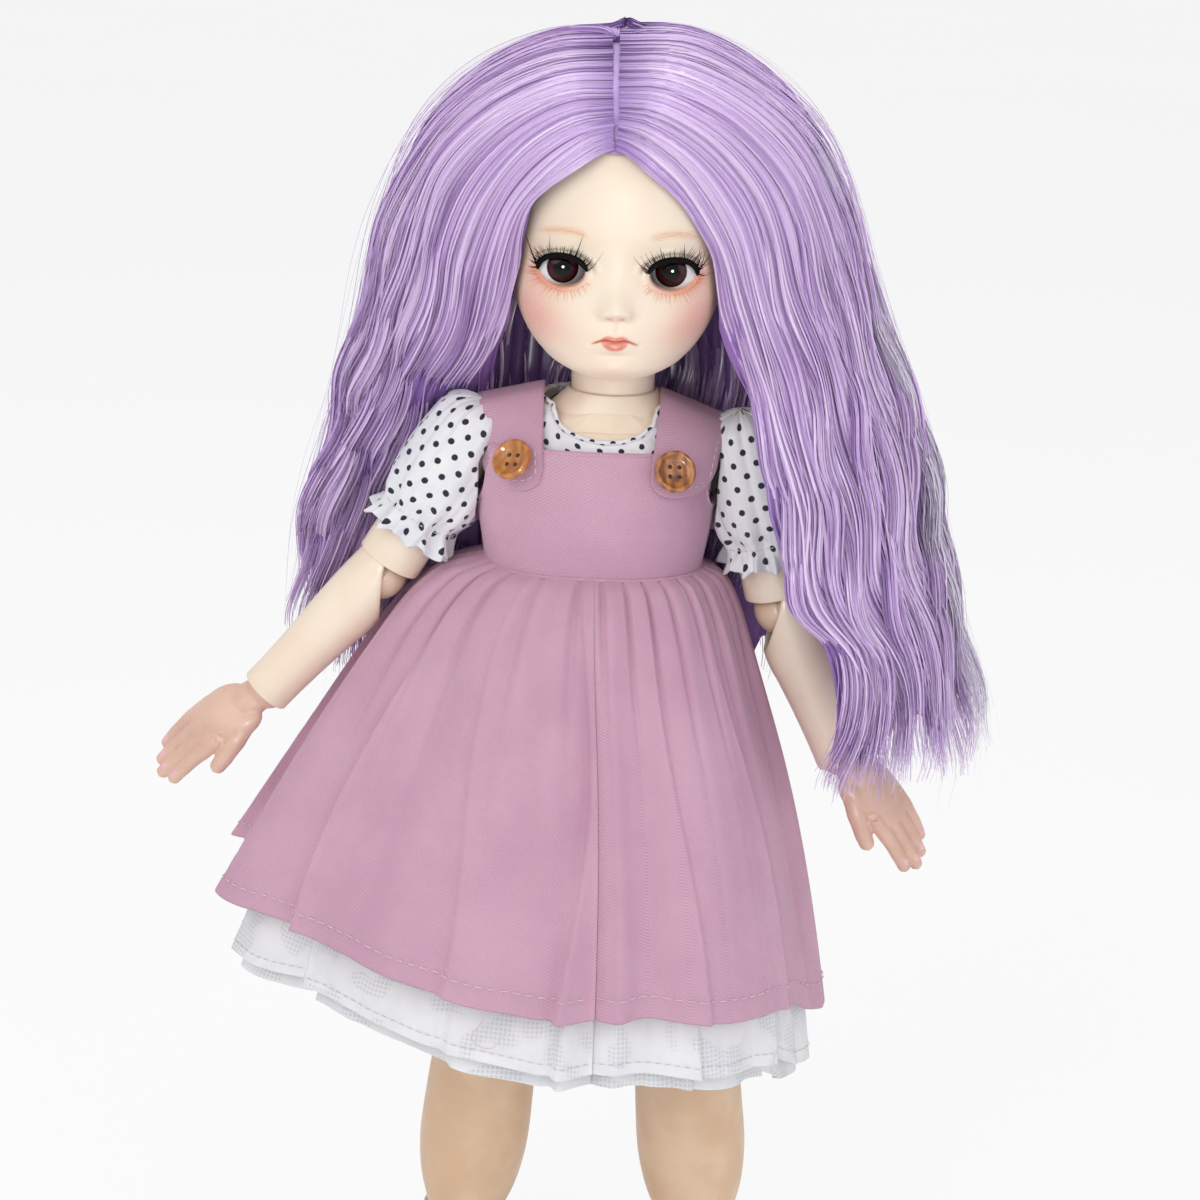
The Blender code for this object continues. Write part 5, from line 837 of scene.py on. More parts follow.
def boot_laces(side, bottom):
    """Crossed laces and a bow with long ends."""
    laces = []
    for k in range(4):
        z = bottom + 12.0 + 3.1 * k
        y = -20.5 + 3.6 * k
        for sign in (-1, 1):
            path = spline_path(
                [
                    (-4.2 * sign, y + 0.4, z - 0.6), (0, y - 1.3 + 0.3 * sign, z + 1.4),
                    (4.2 * sign, y + 3.2, z + 2.6)
                ],
                14
            )
            laces.append(tube(path, 0.55, 8, 0.5, (0, -1, 0.6)))
    knot = np.array([0, -11.6, bottom + 25.4])
    for sign in (-1, 1):
        loop = spline_path(
            [
                knot, knot + (7 * sign, -4, 2.5), (knot + (9.5 * sign, -4.5, -1.0)),
                knot + (5 * sign, -3, -1.6), knot
            ],
            26
        )
        laces.append(tube(loop, 0.55, 8, 0.5, (0, -1, 0.3)))
        end = spline_path([knot, knot + (4 * sign, -4, -3), knot + (7 * sign, -5.5, -8)], 16)
        laces.append(tube(end, 0.6, 8, 0.5, (0, -1, 0.3)))
    laces.append(ellipsoid(knot + (0, -0.6, 0), (1.5, 1.1, 1.2), 12, 16))
    obj = make("laces_" + side, place(joined(laces), FOOT[side]), LACE)
    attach(obj, "foot_" + side)


def dashes(path, long, gap, radius, out=(0, 0, 1)):
    """Small raised stitches along a closed or open path."""
    path = np.asarray(path, float)
    length = np.concatenate([[0], np.cumsum(np.linalg.norm(np.diff(path, axis=0), axis=1))])
    patches = []
    for start in np.arange(0, length[-1] - long, long + gap):
        want = np.linspace(start, start + long, 4)
        piece = np.stack([np.interp(want, length, path[:, k]) for k in range(3)], 1)
        patches.append(spindle(piece, radius, 5, 0.8, out, 0.5))
    return joined(patches)


def leather_by_place():
    """The same leather on a fused mesh, which has no texture places of its own."""
    f = Finish("boot_leather_grain", Coat_Weight=0.1, Coat_Roughness=0.3)
    at = f.add("TexCoord").outputs["Object"]
    cells = f.add(
        "TexVoronoi", {"Vector": at, "Scale": 1500.0}, feature="DISTANCE_TO_EDGE"
    ).outputs["Distance"]
    wear = f.noise(at, 260.0, 5.0)
    f.to("Base Color", f.ramp(wear, [(0.3, linear(196, 194, 196)), (0.7, linear(230, 229, 230))], True))
    f.to("Roughness", f.range(wear, 0.3, 0.7, 0.38, 0.6))
    f.bump(f.range(cells, 0.0, 0.12), 0.3, 0.1)
    return f.material


LEATHER_OBJECT = leather_by_place()

# Torso forms under the clothes

TORSO_LOW, TORSO_TALL = 176.0, 45.0
TORSO_ROWS = (
    (-0.10, 0.76, 0.88, 0.00, 0.00), (0.00, 0.76, 0.88, 0.00, 0.00), (0.18, 0.79, 0.93, 0.00, 0.00),
    (0.38, 0.84, 1.00, -0.10, 0.00), (0.60, 0.88, 1.00, -0.10, 0.00), (0.72, 0.92, 0.96, 0.00, 0.05),
    (0.85, 1.00, 0.84, 0.30, 0.25), (0.94, 0.80, 0.75, 0.70, 0.80), (1.00, 0.46, 0.70, 1.00, 1.00),
)


def straight_table(rows, s):
    rows = np.asarray(rows, float)
    return np.stack([np.interp(s, rows[:, 0], rows[:, k]) for k in range(1, rows.shape[1])], -1)


def torso_size(share, grow):
    """Half width, half depth, lean and height of the torso at a share, standing off by grow."""
    table = straight_table(TORSO_ROWS, np.asarray(share, float))
    soft = smooth_table(TORSO_ROWS, np.asarray(share, float))
    table = np.maximum(table, soft * 0.5 + table * 0.5)
    half_x = 26.5 * table[..., 0] + grow
    half_y = 17.0 * table[..., 1] + grow
    height = TORSO_LOW + TORSO_TALL * np.asarray(share) + grow * table[..., 3]
    return half_x, half_y, 3.0 * table[..., 2], height


def torso_surface(share, angle, grow):
    """Points of the torso's superellipse at shares and angles."""
    half_x, half_y, lean, height = torso_size(share, grow)
    power = 2 / BOXY
    x = half_x * np.sign(np.cos(angle)) * np.abs(np.cos(angle)) ** power
    y = half_y * np.sign(np.sin(angle)) * np.abs(np.sin(angle)) ** power + lean
    return np.stack([x, y, height + 0 * x], -1)


def even_angles(count, start=0.0):
    """Angles that space points evenly round a rounded box section."""
    t = np.linspace(0, 2 * pi, 4001)
    x = 26 * np.sign(np.cos(t)) * np.abs(np.cos(t)) ** (2 / BOXY)
    y = 17 * np.sign(np.sin(t)) * np.abs(np.sin(t)) ** (2 / BOXY)
    run = np.concatenate([[0], np.cumsum(np.hypot(np.diff(x), np.diff(y)))])
    return np.interp(np.arange(count) * run[-1] / count, run, t) + start


def front_y(x, z, grow):
    """How far back the torso's front lies at (x, z)."""
    share = (np.asarray(z, float) - TORSO_LOW) / TORSO_TALL
    half_x, half_y, lean, _ = torso_size(share, grow)
    ratio = np.clip(np.abs(x) / half_x, 0, 0.999)
    return lean - half_y * (1 - ratio**BOXY) ** (1 / BOXY)


# Blouse


def blouse():
    cols, rows = 168, 46
    angle = even_angles(cols)
    front = np.clip(-np.sin(angle), 0, 1)
    share = np.linspace(0.2, 1.0, rows)[:, None] * np.ones(cols)
    top = 0.985 - 0.12 * front**8
    share = 0.2 + (share - 0.2) * (top - 0.2) / 0.8
    points = torso_surface(share, angle[None, :] * np.ones((rows, 1)), 0.75)
    v = np.linspace(0, 38, rows)[:, None] * np.ones(cols + 1)
    ruck = 0.22 * np.sin(angle * 23 + points[..., 2] * 0.7) * step01(share, 0.75, 0.95)
    points[..., 0] += ruck * np.cos(angle)
    points[..., 1] += ruck * np.sin(angle)
    u = np.linspace(0, 140, cols + 1)[None, :] * np.ones((rows, 1))
    points[..., 0] -= 1.5 * step01(share, 0.75, 0.95)
    points[..., 2] += 1.6 * step01(share, 0.9, 0.985) * (1 - 0.8 * front**4)
    body = grid(points, np.stack([u, v], -1))
    obj = thicken(make("blouse_cloth", body, BLOUSE), 0.4)
    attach(obj, "torso")
    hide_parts("blouse_body")
    rim = points[-1] + [0, 0, 0.15]
    path = np.vstack([rim, rim[:1]])
    band = tube(path, 0.5, 10, 1.2, (0, 0, 1))
    collar = make("blouse_neck_band", band, BLOUSE)
    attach(collar, "torso")
    chest()


def chest():
    """The skin inside the neckline, rising to the neck."""
    angle = even_angles(120)
    rows = [torso_surface(np.full(120, share), angle, 0.1) for share in np.linspace(0.72, 0.91, 14)]
    top = rows[-1]
    ring = np.stack([10.15 * np.cos(angle), 3 + 10.15 * np.sin(angle), np.full(120, 225.2)], 1)
    for t in np.linspace(0, 1, 26)[1:]:
        row = top * (1 - t) + ring * t
        row[:, 2] = top[:, 2] + (ring[:, 2] - top[:, 2]) * t**1.7
        rows.append(row)
    inner = ring - [0, 0, 2.2]
    rows.append(inner)
    u, v = np.meshgrid(np.linspace(0, 140, 121), np.linspace(0, 20, len(rows)))
    obj = make("chest_skin", grid(np.array(rows), np.stack([u, v], -1)), SKINS["skin"])
    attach(obj, "torso")


def dress_warp(points, amount=1.0):
    """The pinafore sits wide and a little to the doll's right."""
    points[..., 0] = points[..., 0] * (1 + 0.115 * amount) - 3.0 * amount
    return points


SLEEVE_ROWS = (
    (0.00, 0.05), (0.03, 0.45), (0.07, 0.68), (0.14, 0.84), (0.25, 0.93), (0.40, 0.99), (0.55, 1.00),
    (0.68, 0.97), (0.76, 0.90), (0.82, 0.80), (0.86, 0.77), (0.90, 0.81), (1.00, 0.94),
)


# A sleeve's start on the upper arm's axis, its length, and the share of it where the cuff is gathered
SLEEVE_TOP, SLEEVE_TALL, CUFF_AT = 8.0, 37.5, 0.86


def sleeve(side):
    """A puffed sleeve: gathers at the shoulder seam, an elastic cuff and a ruffle below it."""
    cols, rows = 220, 84
    angle = np.arange(cols) * 2 * pi / cols
    t = np.linspace(0, 1, rows)
    radius = 11.9 * smooth_table(SLEEVE_ROWS, t)[:, 0][:, None] * np.ones(cols)
    rng = np.random.default_rng(3 if side == "left" else 4)
    folds = np.zeros((rows, cols))
    for count, size in ((9, 0.55), (13, 0.4), (21, 0.24), (34, 0.13)):
        phase = rng.uniform(0, 2 * pi)
        drift = rng.uniform(-0.8, 0.8)
        folds += size * np.cos(count * angle[None, :] + phase + drift * t[:, None] * 3)
    near_cuff = np.exp(-(((t - CUFF_AT) / 0.16) ** 2))[:, None]
    near_top = np.exp(-((t / 0.22) ** 2))[:, None]
    ruffle = step01(t, CUFF_AT, 1.0)[:, None]
    radius = radius + folds * (0.35 + 0.9 * near_cuff + 0.5 * near_top)
    radius += ruffle * 1.15 * np.cos(17 * angle[None, :] + 0.6 * np.sin(3 * angle))
    z = SLEEVE_TOP - SLEEVE_TALL * t[:, None] + 0.9 * ruffle * np.sin(9 * angle[None, :])
    z = z + 0.5 * near_cuff * np.sin(7 * angle)[None, :]
    sag = 1.0 * np.exp(-(((t - 0.62) / 0.2) ** 2))[:, None]
    x = radius * np.cos(angle)
    y = radius * np.sin(angle)
    points = np.stack([x, y, z - sag * np.abs(np.cos(angle))], -1)
    m = np.array(ARM[side])
    points = points @ m[:3, :3].T + m[:3, 3]
    points = clear_of_bodice(points, SIDES[side])
    u, v = np.meshgrid(np.linspace(0, 62.4, cols + 1), t * 33)
    obj = make("sleeve_cloth_" + side, grid(points, np.stack([u, v], -1), flip=True), BLOUSE)
    thicken(obj, 0.35)
    elastic(side, angle)
    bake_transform(obj)
    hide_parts("sleeve_" + side)


# Half width and height of the torso's shoulder edge, which a sleeve may not press into
SHOULDER_X, SHOULDER_Z = 24, 219.5


def clear_of_bodice(points, sign):
    """Presses a sleeve's inner side against the strap and bodice instead of through them."""
    share = np.clip((points[..., 2] - TORSO_LOW) / TORSO_TALL, 0, 1)
    half_x, half_y, lean, _ = torso_size(share, 3.4)
    y = points[..., 1] - lean
    ratio = np.clip(np.abs(y) / half_y, 0, 0.999)
    limit = half_x * (1 - ratio**BOXY) ** (1 / BOXY) * 1.115 - 3.0 * sign
    height = points[..., 2]
    near_top = step01(height, 208, 217)
    limit = limit * (1 - near_top) + SHOULDER_X * near_top
    limit = np.where(height > SHOULDER_Z, SHOULDER_X - (height - SHOULDER_Z) * 1.5, limit)
    reach = points[..., 0] * sign
    press = np.clip(limit - reach, 0, None)
    points[..., 0] += sign * press * step01(press, 0, 0.6)
    return points


def elastic(side, angle):
    """The cuff's gathering seam, a row of small stitches."""
    radius = 9.7 + 0.35 * np.cos(17 * angle)
    height = np.full(len(angle), SLEEVE_TOP - SLEEVE_TALL * CUFF_AT)
    ring = np.stack([radius * np.cos(angle), radius * np.sin(angle), height], 1)
    m = np.array(ARM[side])
    ring = clear_of_bodice((ring @ m[:3, :3].T + m[:3, 3])[None], SIDES[side])[0]
    obj = make(
        "cuff_stitch_" + side, dashes(np.vstack([ring, ring[:1]]), 0.9, 0.5, 0.16, (0, 0, 1)), TOPSTITCH
    )
    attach(obj, "upper_arm_" + side)


# Pinafore


def bodice():
    cols, rows = 200, 60
    angle = even_angles(cols)
    side_dip = step01(np.abs(np.cos(angle)), 0.74, 0.99)
    top = 0.812 - 0.30 * side_dip
    t = np.linspace(0, 1, rows)[:, None]
    share = 0.15 + (top[None, :] - 0.15) * t
    points = torso_surface(share, angle[None, :] * np.ones((rows, 1)), 2.0)
    press = 0.25 * np.sin(5 * angle + 1.0)[None, :] * np.sin(pi * t)
    points[..., 1] += press * np.sin(angle)
    points = dress_warp(points)
    u = np.linspace(0, 142, cols + 1)[None, :] * np.ones((rows, 1))
    last = np.concatenate([points, points[:, :1]], 1)
    obj = thicken(make("bodice_cloth", grid(points, np.stack([u, last[..., 2]], -1)), TWILL), 0.9, -0.2)
    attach(obj, "torso")
    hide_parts("dress_bodice")
    edge = np.vstack([points[-1], points[-1][:1]])
    roll = make("bodice_edge", tube(edge + [0, 0, 0.1], 0.6, 10, 1.0, (0, 0, 1)), TWILL)
    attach(roll, "torso")
    low = dress_warp(torso_surface(np.full(cols, 0.165), angle, 2.55))
    seam = make("waist_seam", tube(np.vstack([low, low[:1]]), 0.32, 8, 1.6, (0, 0, 1)), TWILL)
    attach(seam, "torso")


# Each strap's middle at the tab and at the top, its half width and the height and slope of its top
STRAPS = {"left": (16.2, 19.4, 8.1, 224.6, 0.38), "right": (-22.4, -24.0, 8.0, 226.2, 0.24)}
BUTTONS = {"left": (14.4, 209.8), "right": (-20.9, 210.4)}


def strap_line(low_x, top_x, tab, top, rows):
    """A line along a strap, from the front tab over the shoulder and down the back."""
    places = []
    for z, back in ((tab, -1), (210.0, -1), (215.0, -1), (190.0, 1), (203.0, 1), (214.0, 1)):
        share = (z - TORSO_LOW) / TORSO_TALL
        half_x, half_y, lean, _ = torso_size(share, 3.3)
        t = (z - 204) / 20 if back < 0 else 1.0
        x = low_x * (1 - t) + top_x * t
        ratio = min(abs(x + 1.5) / (half_x * 1.06), 0.94)
        places.append((x, lean + back * half_y * (1 - ratio**BOXY) ** (1 / BOXY), z))
    over = [(top_x, -5.0, top - 0.9), (top_x, 1.0, top), (top_x, 7.0, top - 0.2), (top_x, 12.0, top - 3.0)]
    return spline_path(places[:3] + over + places[:2:-1], rows)


def strap(side):
    """A wide strap with a rounded tab, buttoned to the bib in front and sewn down at the back."""
    low, high, half, top, slope = STRAPS[side]
    cols, rows = 34, 150
    across = np.linspace(-1, 1, cols)
    rounded = 203.8 + half * 0.75 * (1 - np.sqrt(np.clip(1 - np.abs(across) ** 2.6, 0, 1)))
    s = np.linspace(0, 1, rows)
    points = np.zeros((rows, cols, 3))
    for c in range(cols):
        wide = half * across[c]
        peak = top - slope * (abs(high + wide) - 11) - 0.5 * max(0, abs(across[c]) - 0.8)
        points[:, c] = strap_line(low + wide * 0.9, high + wide, rounded[c], peak, rows)
    smooth = points.copy()
    for _ in range(3):
        smooth[1:-1] = (points[:-2] + points[1:-1] * 2 + points[2:]) / 4
        points = smooth.copy()
    u, v = np.meshgrid(np.linspace(0, 2 * half, cols), s * 70)
    obj = make("strap_cloth_" + side, grid(points, np.stack([u, v], -1), wrap=False), TWILL)
    thicken(obj, 1.0, 0.0)
    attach(obj, "torso")
    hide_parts("strap_" + side)
    inner = 3
    lines = []
    for c in (inner, cols - 1 - inner):
        lines.append(points[5:-8, c])
    lines.append(points[5, inner : cols - inner])
    stitch = []
    for line in lines:
        push = unit(line * [1, 1, 0]) * 0.55
        stitch.append(dashes(line + push, 1.3, 0.7, 0.17))
    obj = make("strap_stitch_" + side, joined(stitch), TOPSTITCH)
    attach(obj, "torso")


BUTTON_FINISH = {
    "right": button_finish(
        "horn_caramel", linear(206, 142, 72), linear(186, 112, 48), linear(170, 98, 44)
    ).material,
    "left": button_finish(
        "horn_mottled", linear(196, 130, 72), linear(150, 88, 48), linear(84, 46, 34)
    ).material,
}


# How far each button leans back, in degrees
BUTTON_TILT = {"right": 24, "left": 10}


def button(side):
    """A dished four-hole button with a rounded rim."""
    x, z = BUTTONS[side]
    y = float(front_y(x, z, 3.9))
    y_up = float(front_y(x, z + 4, 3.9))
    y_down = float(front_y(x, z - 4, 3.9))
    y_out = float(front_y(x + 3, z, 3.9))
    y_in = float(front_y(x - 3, z, 3.9))
    up = Vector((0, y_up - y_down, 8)).normalized()
    across = Vector((6, y_out - y_in, 0)).normalized()
    out = across.cross(up).normalized()
    across = up.cross(out).normalized()
    m = Matrix((across, up, out)).transposed().to_4x4()
    tilt = radians(BUTTON_TILT[side])
    m = m @ Matrix.Rotation(-tilt, 4, "X")
    m.translation = Vector((x, y, z)) + out * (0.45 + 4.4 * sin(tilt))
    cols = 72
    a = np.arange(cols) * 2 * pi / cols
    rows = []
    profile = [
        (0.0, 0.9), (1.0, 0.88), (2.0, 0.9), (2.9, 1.0), (3.5, 1.35), (3.9, 1.9), (4.3, 2.15), (4.7, 2.05),
        (4.95, 1.5), (4.95, 0.8), (4.6, 0.25), (3.8, 0.0), (0.0, 0.0)
    ]
    for radius, z_up in profile:
        rows.append(
            np.stack([max(radius, 0.01) * np.cos(a), max(radius, 0.01) * np.sin(a), np.full(cols, z_up)], 1)
        )
    u, v = np.meshgrid(np.cos(np.linspace(0, 2 * pi, cols + 1)), [row[0] for row in profile])
    uv = np.stack([u * v, np.sin(np.linspace(0, 2 * pi, cols + 1))[None, :] * v], -1)
    body = grid(np.array(rows), uv + 20.0, flip=True)
    obj = make("button_horn_" + side, place(body, m), BUTTON_FINISH[side])
    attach(obj, "torso")
    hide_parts("button_" + side)
    # Dark discs stand in for the four holes: painted shade inside them.
    holes = [
        ellipsoid((hx, hy, 0.92), (0.55, 0.55, 0.1), 8, 16) for hx in (-1.15, 1.15) for hy in (-1.15, 1.15)
    ]
    dark = make("button_hole_shade_" + side, place(joined(holes), m), BUTTON_HOLE_SHADE)
    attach(dark, "torso")


def lash_finish():
    """Black fibre, dull, with a soft streak along it."""
    f = Finish("lash_fibre", Specular_IOR_Level=0.1)
    grain = f.noise(f.scaled(f.uv(), (4.0, 0.6, 1.0)), 2.0, 3.0)
    f.to("Base Color", f.ramp(grain, [(0.3, linear(4, 3, 5)), (0.7, linear(16, 11, 15))]))
    f.to("Roughness", f.range(grain, 0.3, 0.7, 0.5, 0.7))
    f.bump(grain, 0.3, 0.03)
    return f.material


LASH = lash_finish()
# Painted shade for the button holes.
BUTTON_HOLE_SHADE = thread_finish("button_hole_shade", linear(96, 48, 30), linear(58, 28, 22)).material

# Skirts

SKIRT_TOP, SKIRT_HEM = 184.4, 90.6
# Angle in degrees, side that laps over and size of each sharp pleat
KNIVES = (
    (219, 1, 4.6), (267, 1, 3.6), (322, -1, 4.6), (246, 1, 1.6), (296, -1, 1.6), (195, 1, 2.6),
    (345, -1, 2.6),
    (15, 1, 3.5), (48, 1, 3.0), (78, 1, 3.5), (103, -1, 3.5), (135, -1, 3.0), (165, -1, 3.5),
)


# Half width and half depth of the skirt at the waist, and at its hem to each side of the doll
WAIST_X, WAIST_Y = 24.2, 19.0
HEM_LEFT, HEM_RIGHT, HEM_BACK, HEM_FRONT = 56.0, 90.0, 56.0, 60.0


def skirt_points(angle, share, inset, drop, fine, seed):
    """The pinafore skirt's surface: a bell with sharp pleats, soft folds between and gathers at the waist."""
    share = np.asarray(share, float)
    angle = np.asarray(angle, float)
    c, s = np.cos(angle), np.sin(angle)
    hem_x = np.where(c > 0, HEM_LEFT, HEM_RIGHT)
    hem_y = np.where(s > 0, HEM_BACK, HEM_FRONT)
    spread = np.clip(share, 0, 1) ** 0.60
    deep = np.clip(share, 0, 1) ** 0.78
    half_x = WAIST_X + (hem_x - WAIST_X) * spread - inset
    half_y = WAIST_Y + (hem_y - WAIST_Y) * deep - inset
    ridge = np.cos(7 * angle + 0.4 + 0.5 * np.sin(2 * angle))
    fold = (0.04 + 0.96 * deep) * (2.4 * ridge + 0.9 * np.cos(11 * angle - 0.8))
    for turned, way, size in KNIVES:
        off = ((np.degrees(angle) + 2.5 * np.sin(share * 4 + turned) - turned + 180) % 360 - 180) * way
        lap = step01(off, -0.8, 0.8) * np.exp(-np.clip(off, 0, None) / 17.0)
        fold = fold + size * (0.10 + spread**1.2) * (lap - 0.3 * np.exp(-((off / 9.0) ** 2)))
    rng = np.random.default_rng(seed)
    drift = 0.35 * np.sin(2 * angle + 0.7) * (1 - share)
    for count, size, low in ((13, 0.5, 0.6), (19, 0.3, 0.5), (29, 0.15, 0.2), (47, 0.08, 0.0)):
        phase = rng.uniform(0, 2 * pi)
        rise = step01(share, 0.0, 0.25) if low > 0.3 else 1.0
        fade = 1.0 - 0.55 * step01(share, 0.35, 1.0) if count > 30 else 1.0
        fold = fold + fine * size * rise * fade * np.cos(count * (angle + 0.15 * drift) + phase)
    turn = 31 * angle / (2 * pi) + 0.55 * np.sin(2.2 * angle + 1.0) + 0.3 * np.sin(5 * angle)
    crack = np.abs(turn - np.round(turn))
    pleat = 0.35 - 1.5 * np.exp(-((crack / 0.10) ** 2)) - 0.35 * np.exp(-((crack / 0.3) ** 2))
    fold = fold + fine * pleat * (1 - 0.85 * step01(share, 0.04, 0.5))
    off = (angle - 3 * pi / 2 + pi) % (2 * pi) - pi
    crease = off + 0.012 * np.sin(share * 5)
    fold = fold - 4.0 * spread * np.exp(-((crease / 0.06) ** 2))
    fold = fold + 1.2 * spread * np.exp(-(((np.abs(crease) - 0.13) / 0.05) ** 2))
    tuck = 2.6 * np.exp(-((np.clip(share, 0, 1) / 0.015) ** 2))
    half_x = half_x + 3.2 * np.exp(-((share / 0.2) ** 2)) - tuck
    half_y = half_y - tuck
    z = SKIRT_TOP - (SKIRT_TOP - SKIRT_HEM) * share
    rise = 14.0 * np.clip(-c, 0, 1) - 17.0 * np.clip(c, 0, 1) ** 6
    z = z + (rise - drop) * share * share
    z = z + 0.8 * fine * share**2 * np.cos(7 * angle + 0.4 + pi)
    shift = -3.4 * np.exp(-((share / 0.45) ** 2))
    return np.stack([(half_x + fold) * c + shift, (half_y + fold) * s, z + 0 * angle], -1)


def skirt_half(side, inset, drop, lap, fine, seed, top=0.0, bottom=1.0, rows=150, cols=420):
    """One half of a skirt, from the front pleat round to the back, lapping past both by lap radians."""
    if side == "left":
        angle = np.linspace(-pi / 2 - lap, pi / 2 + lap, cols)
    else:
        angle = np.linspace(pi / 2 - lap, 3 * pi / 2 + lap, cols)
    share = np.linspace(top, bottom, rows)
    a, s = np.meshgrid(angle, share)
    points = skirt_points(a, s, inset, drop, fine, seed)
    if side == "left":
        centre = np.exp(-(((a + pi / 2) / (lap * 1.2)) ** 2)) + np.exp(-(((a - pi / 2) / (lap * 1.2)) ** 2))
        points[..., :2] *= (1 - 0.012 * centre)[..., None]
    step = np.linalg.norm(np.diff(points, axis=1), axis=2)
    run_u = np.concatenate([np.zeros((rows, 1)), np.cumsum(step, axis=1)], 1)
    run_u = run_u - run_u[:, cols // 2 : cols // 2 + 1]
    scale = run_u[-1:, :]
    step = np.linalg.norm(np.diff(points, axis=0), axis=2)
    run_v = np.concatenate([np.zeros((1, cols)), np.cumsum(step, axis=0)], 0)
    uv = np.stack([scale * np.ones((rows, 1)), run_v], -1)
    return points, uv


def hang(obj):
    """Bakes a skirt piece's placement into its mesh."""
    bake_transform(obj)


# The share of the skirt's drop at which its hem is stitched
STITCH_AT = 0.955


def skirt(side):
    """A half of the pinafore skirt with its turned hem and topstitching."""
    points, uv = skirt_half(side, 0.0, 0.0, 0.03, 1.0, 11, top=-0.04)
    hem = points[-1:] - [0, 0, 0.5]
    inner = points[-10:] * [0.985, 0.985, 1.0]
    points_all = np.concatenate([points, hem, inner[::-1][:8]], 0)
    uv_all = np.concatenate([uv, uv[-1:] + [0, 0.5], uv[-1:] + np.arange(1, 9)[:, None, None] * [0, 0.6]], 0)
    obj = make("skirt_cloth_" + side, grid(points_all, uv_all, wrap=False, flip=True), TWILL)
    hang(obj)
    line = points[int(round((len(points) - 1) * STITCH_AT))]
    seam = dashes(line + unit(line * [1, 1, 0]) * 0.28, 1.9, 1.0, 0.17)
    stitch = make("hem_stitch_" + side, joined([seam]), TOPSTITCH)
    hang(stitch)
    return obj


def petticoat(side):
    """A half of the white petticoat: an upper layer and a second, lower one."""
    points, uv = skirt_half(side, 3.4, 15.5, 0.03, 1.0, 12, top=0.10, rows=130)
    obj = make("petticoat_cloth_" + side, grid(points, uv, wrap=False, flip=True), COTTON)
    hang(obj)
    lower, uv = skirt_half(side, 6.8, 20.0, 0.03, 1.15, 13, top=0.30, rows=110)
    under = make("petticoat_under_" + side, grid(lower, uv, wrap=False, flip=True), COTTON)
    hang(under)
    row = points[-4]
    hem = make("petticoat_hem_" + side, dashes(row + unit(row * [1, 1, 0]) * 0.2, 1.5, 0.8, 0.13), TOPSTITCH)
    hang(hem)
    return obj


def dress():
    blouse()
    bodice()
    halves = [skirt(side) for side in SIDES]
    petticoats = [petticoat(side) for side in SIDES]
    for half in halves:
        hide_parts("skirt")
    for half in petticoats:
        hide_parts("petticoat")
    for side in SIDES:
        sleeve(side)
        strap(side)
        button(side)
    loose_threads()


def loose_threads():
    """Two threads that hang from the hem."""
    paths = [
        [(44.0, -43.0, 84.0), (45.0, -45.0, 80.0), (44.0, -46.0, 76.0), (46.5, -46.5, 73.5)],
        [(-24.0, -56.0, 88.0), (-26.5, -57.5, 84.0), (-22.0, -58.0, 82.0), (-18.5, -58.0, 86.5)],
    ]
    parts = [tube(spline_path(p, 40), 0.12, 5) for p in paths]
    obj = make("loose_threads", joined(parts), TOPSTITCH)
    hang(obj)
# Head and face

# Share of the height, half width, depth of the face and of the skull
HEAD_TABLE = (
    (-0.012, 0.30, 0.74, 0.16), (0.000, 0.44, 0.84, 0.25), (0.010, 0.51, 0.885, 0.32),
    (0.025, 0.585, 0.93, 0.38),
    (0.070, 0.72, 0.97, 0.54), (0.130, 0.835, 0.985, 0.64), (0.200, 0.92, 1.00, 0.74),
    (0.270, 0.97, 0.99, 0.82),
    (0.340, 0.99, 0.98, 0.90), (0.420, 1.00, 0.975, 0.96), (0.500, 1.00, 0.985, 1.00),
    (0.600, 0.99, 0.985, 1.02), (0.700, 0.94, 0.94, 0.98), (0.800, 0.83, 0.83, 0.88),
    (0.880, 0.68, 0.68, 0.74), (0.945, 0.48, 0.48, 0.54), (0.985, 0.26, 0.26, 0.30),
    (1.000, 0.05, 0.05, 0.06),
)
CHIN, HEAD_TALL, HEAD_WIDE, FACE_DEEP, SKULL_DEEP, HEAD_POWER = 232.0, 67.0, 25.0, 25.0, 24.0, 2.15
LIP_LINE = 241.5
EYE_WIDE, EYE_TALL = 5.4, 3.7


def eye_centre(side):
    low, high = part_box("eye_" + side)
    return ((np.array(low) + np.array(high)) / 2 - ORIGIN) / MM


EYES = {side: eye_centre(side) for side in SIDES}


def head_size(z):
    rows = smooth_table(HEAD_TABLE, (np.asarray(z, float) - CHIN) / HEAD_TALL)
    return rows[..., 0] * HEAD_WIDE, rows[..., 1] * FACE_DEEP, rows[..., 2] * SKULL_DEEP


def lid(x, z, side):
    """1 on the eye's opening, less inside it and more outside."""
    centre = EYES[side]
    return np.sqrt(((x - centre[0]) / EYE_WIDE) ** 2 + ((z - centre[2]) / EYE_TALL) ** 2)


def lip_line(x):
    a = np.abs(x)
    return LIP_LINE + 0.42 * np.exp(-(((a - 2.2) / 1.5) ** 2)) - 0.75 * (np.minimum(a, 6) / 5.3) ** 3


def lip_top(x):
    a = np.abs(x)
    return LIP_LINE + 1.2 + 0.42 * np.exp(-(((a - 1.9) / 1.1) ** 2)) - 1.75 * (np.minimum(a, 6) / 5.2) ** 2.4


def lip_low(x):
    return LIP_LINE - 2.15 + 1.9 * (np.minimum(np.abs(x), 4) / 3.1) ** 2.6


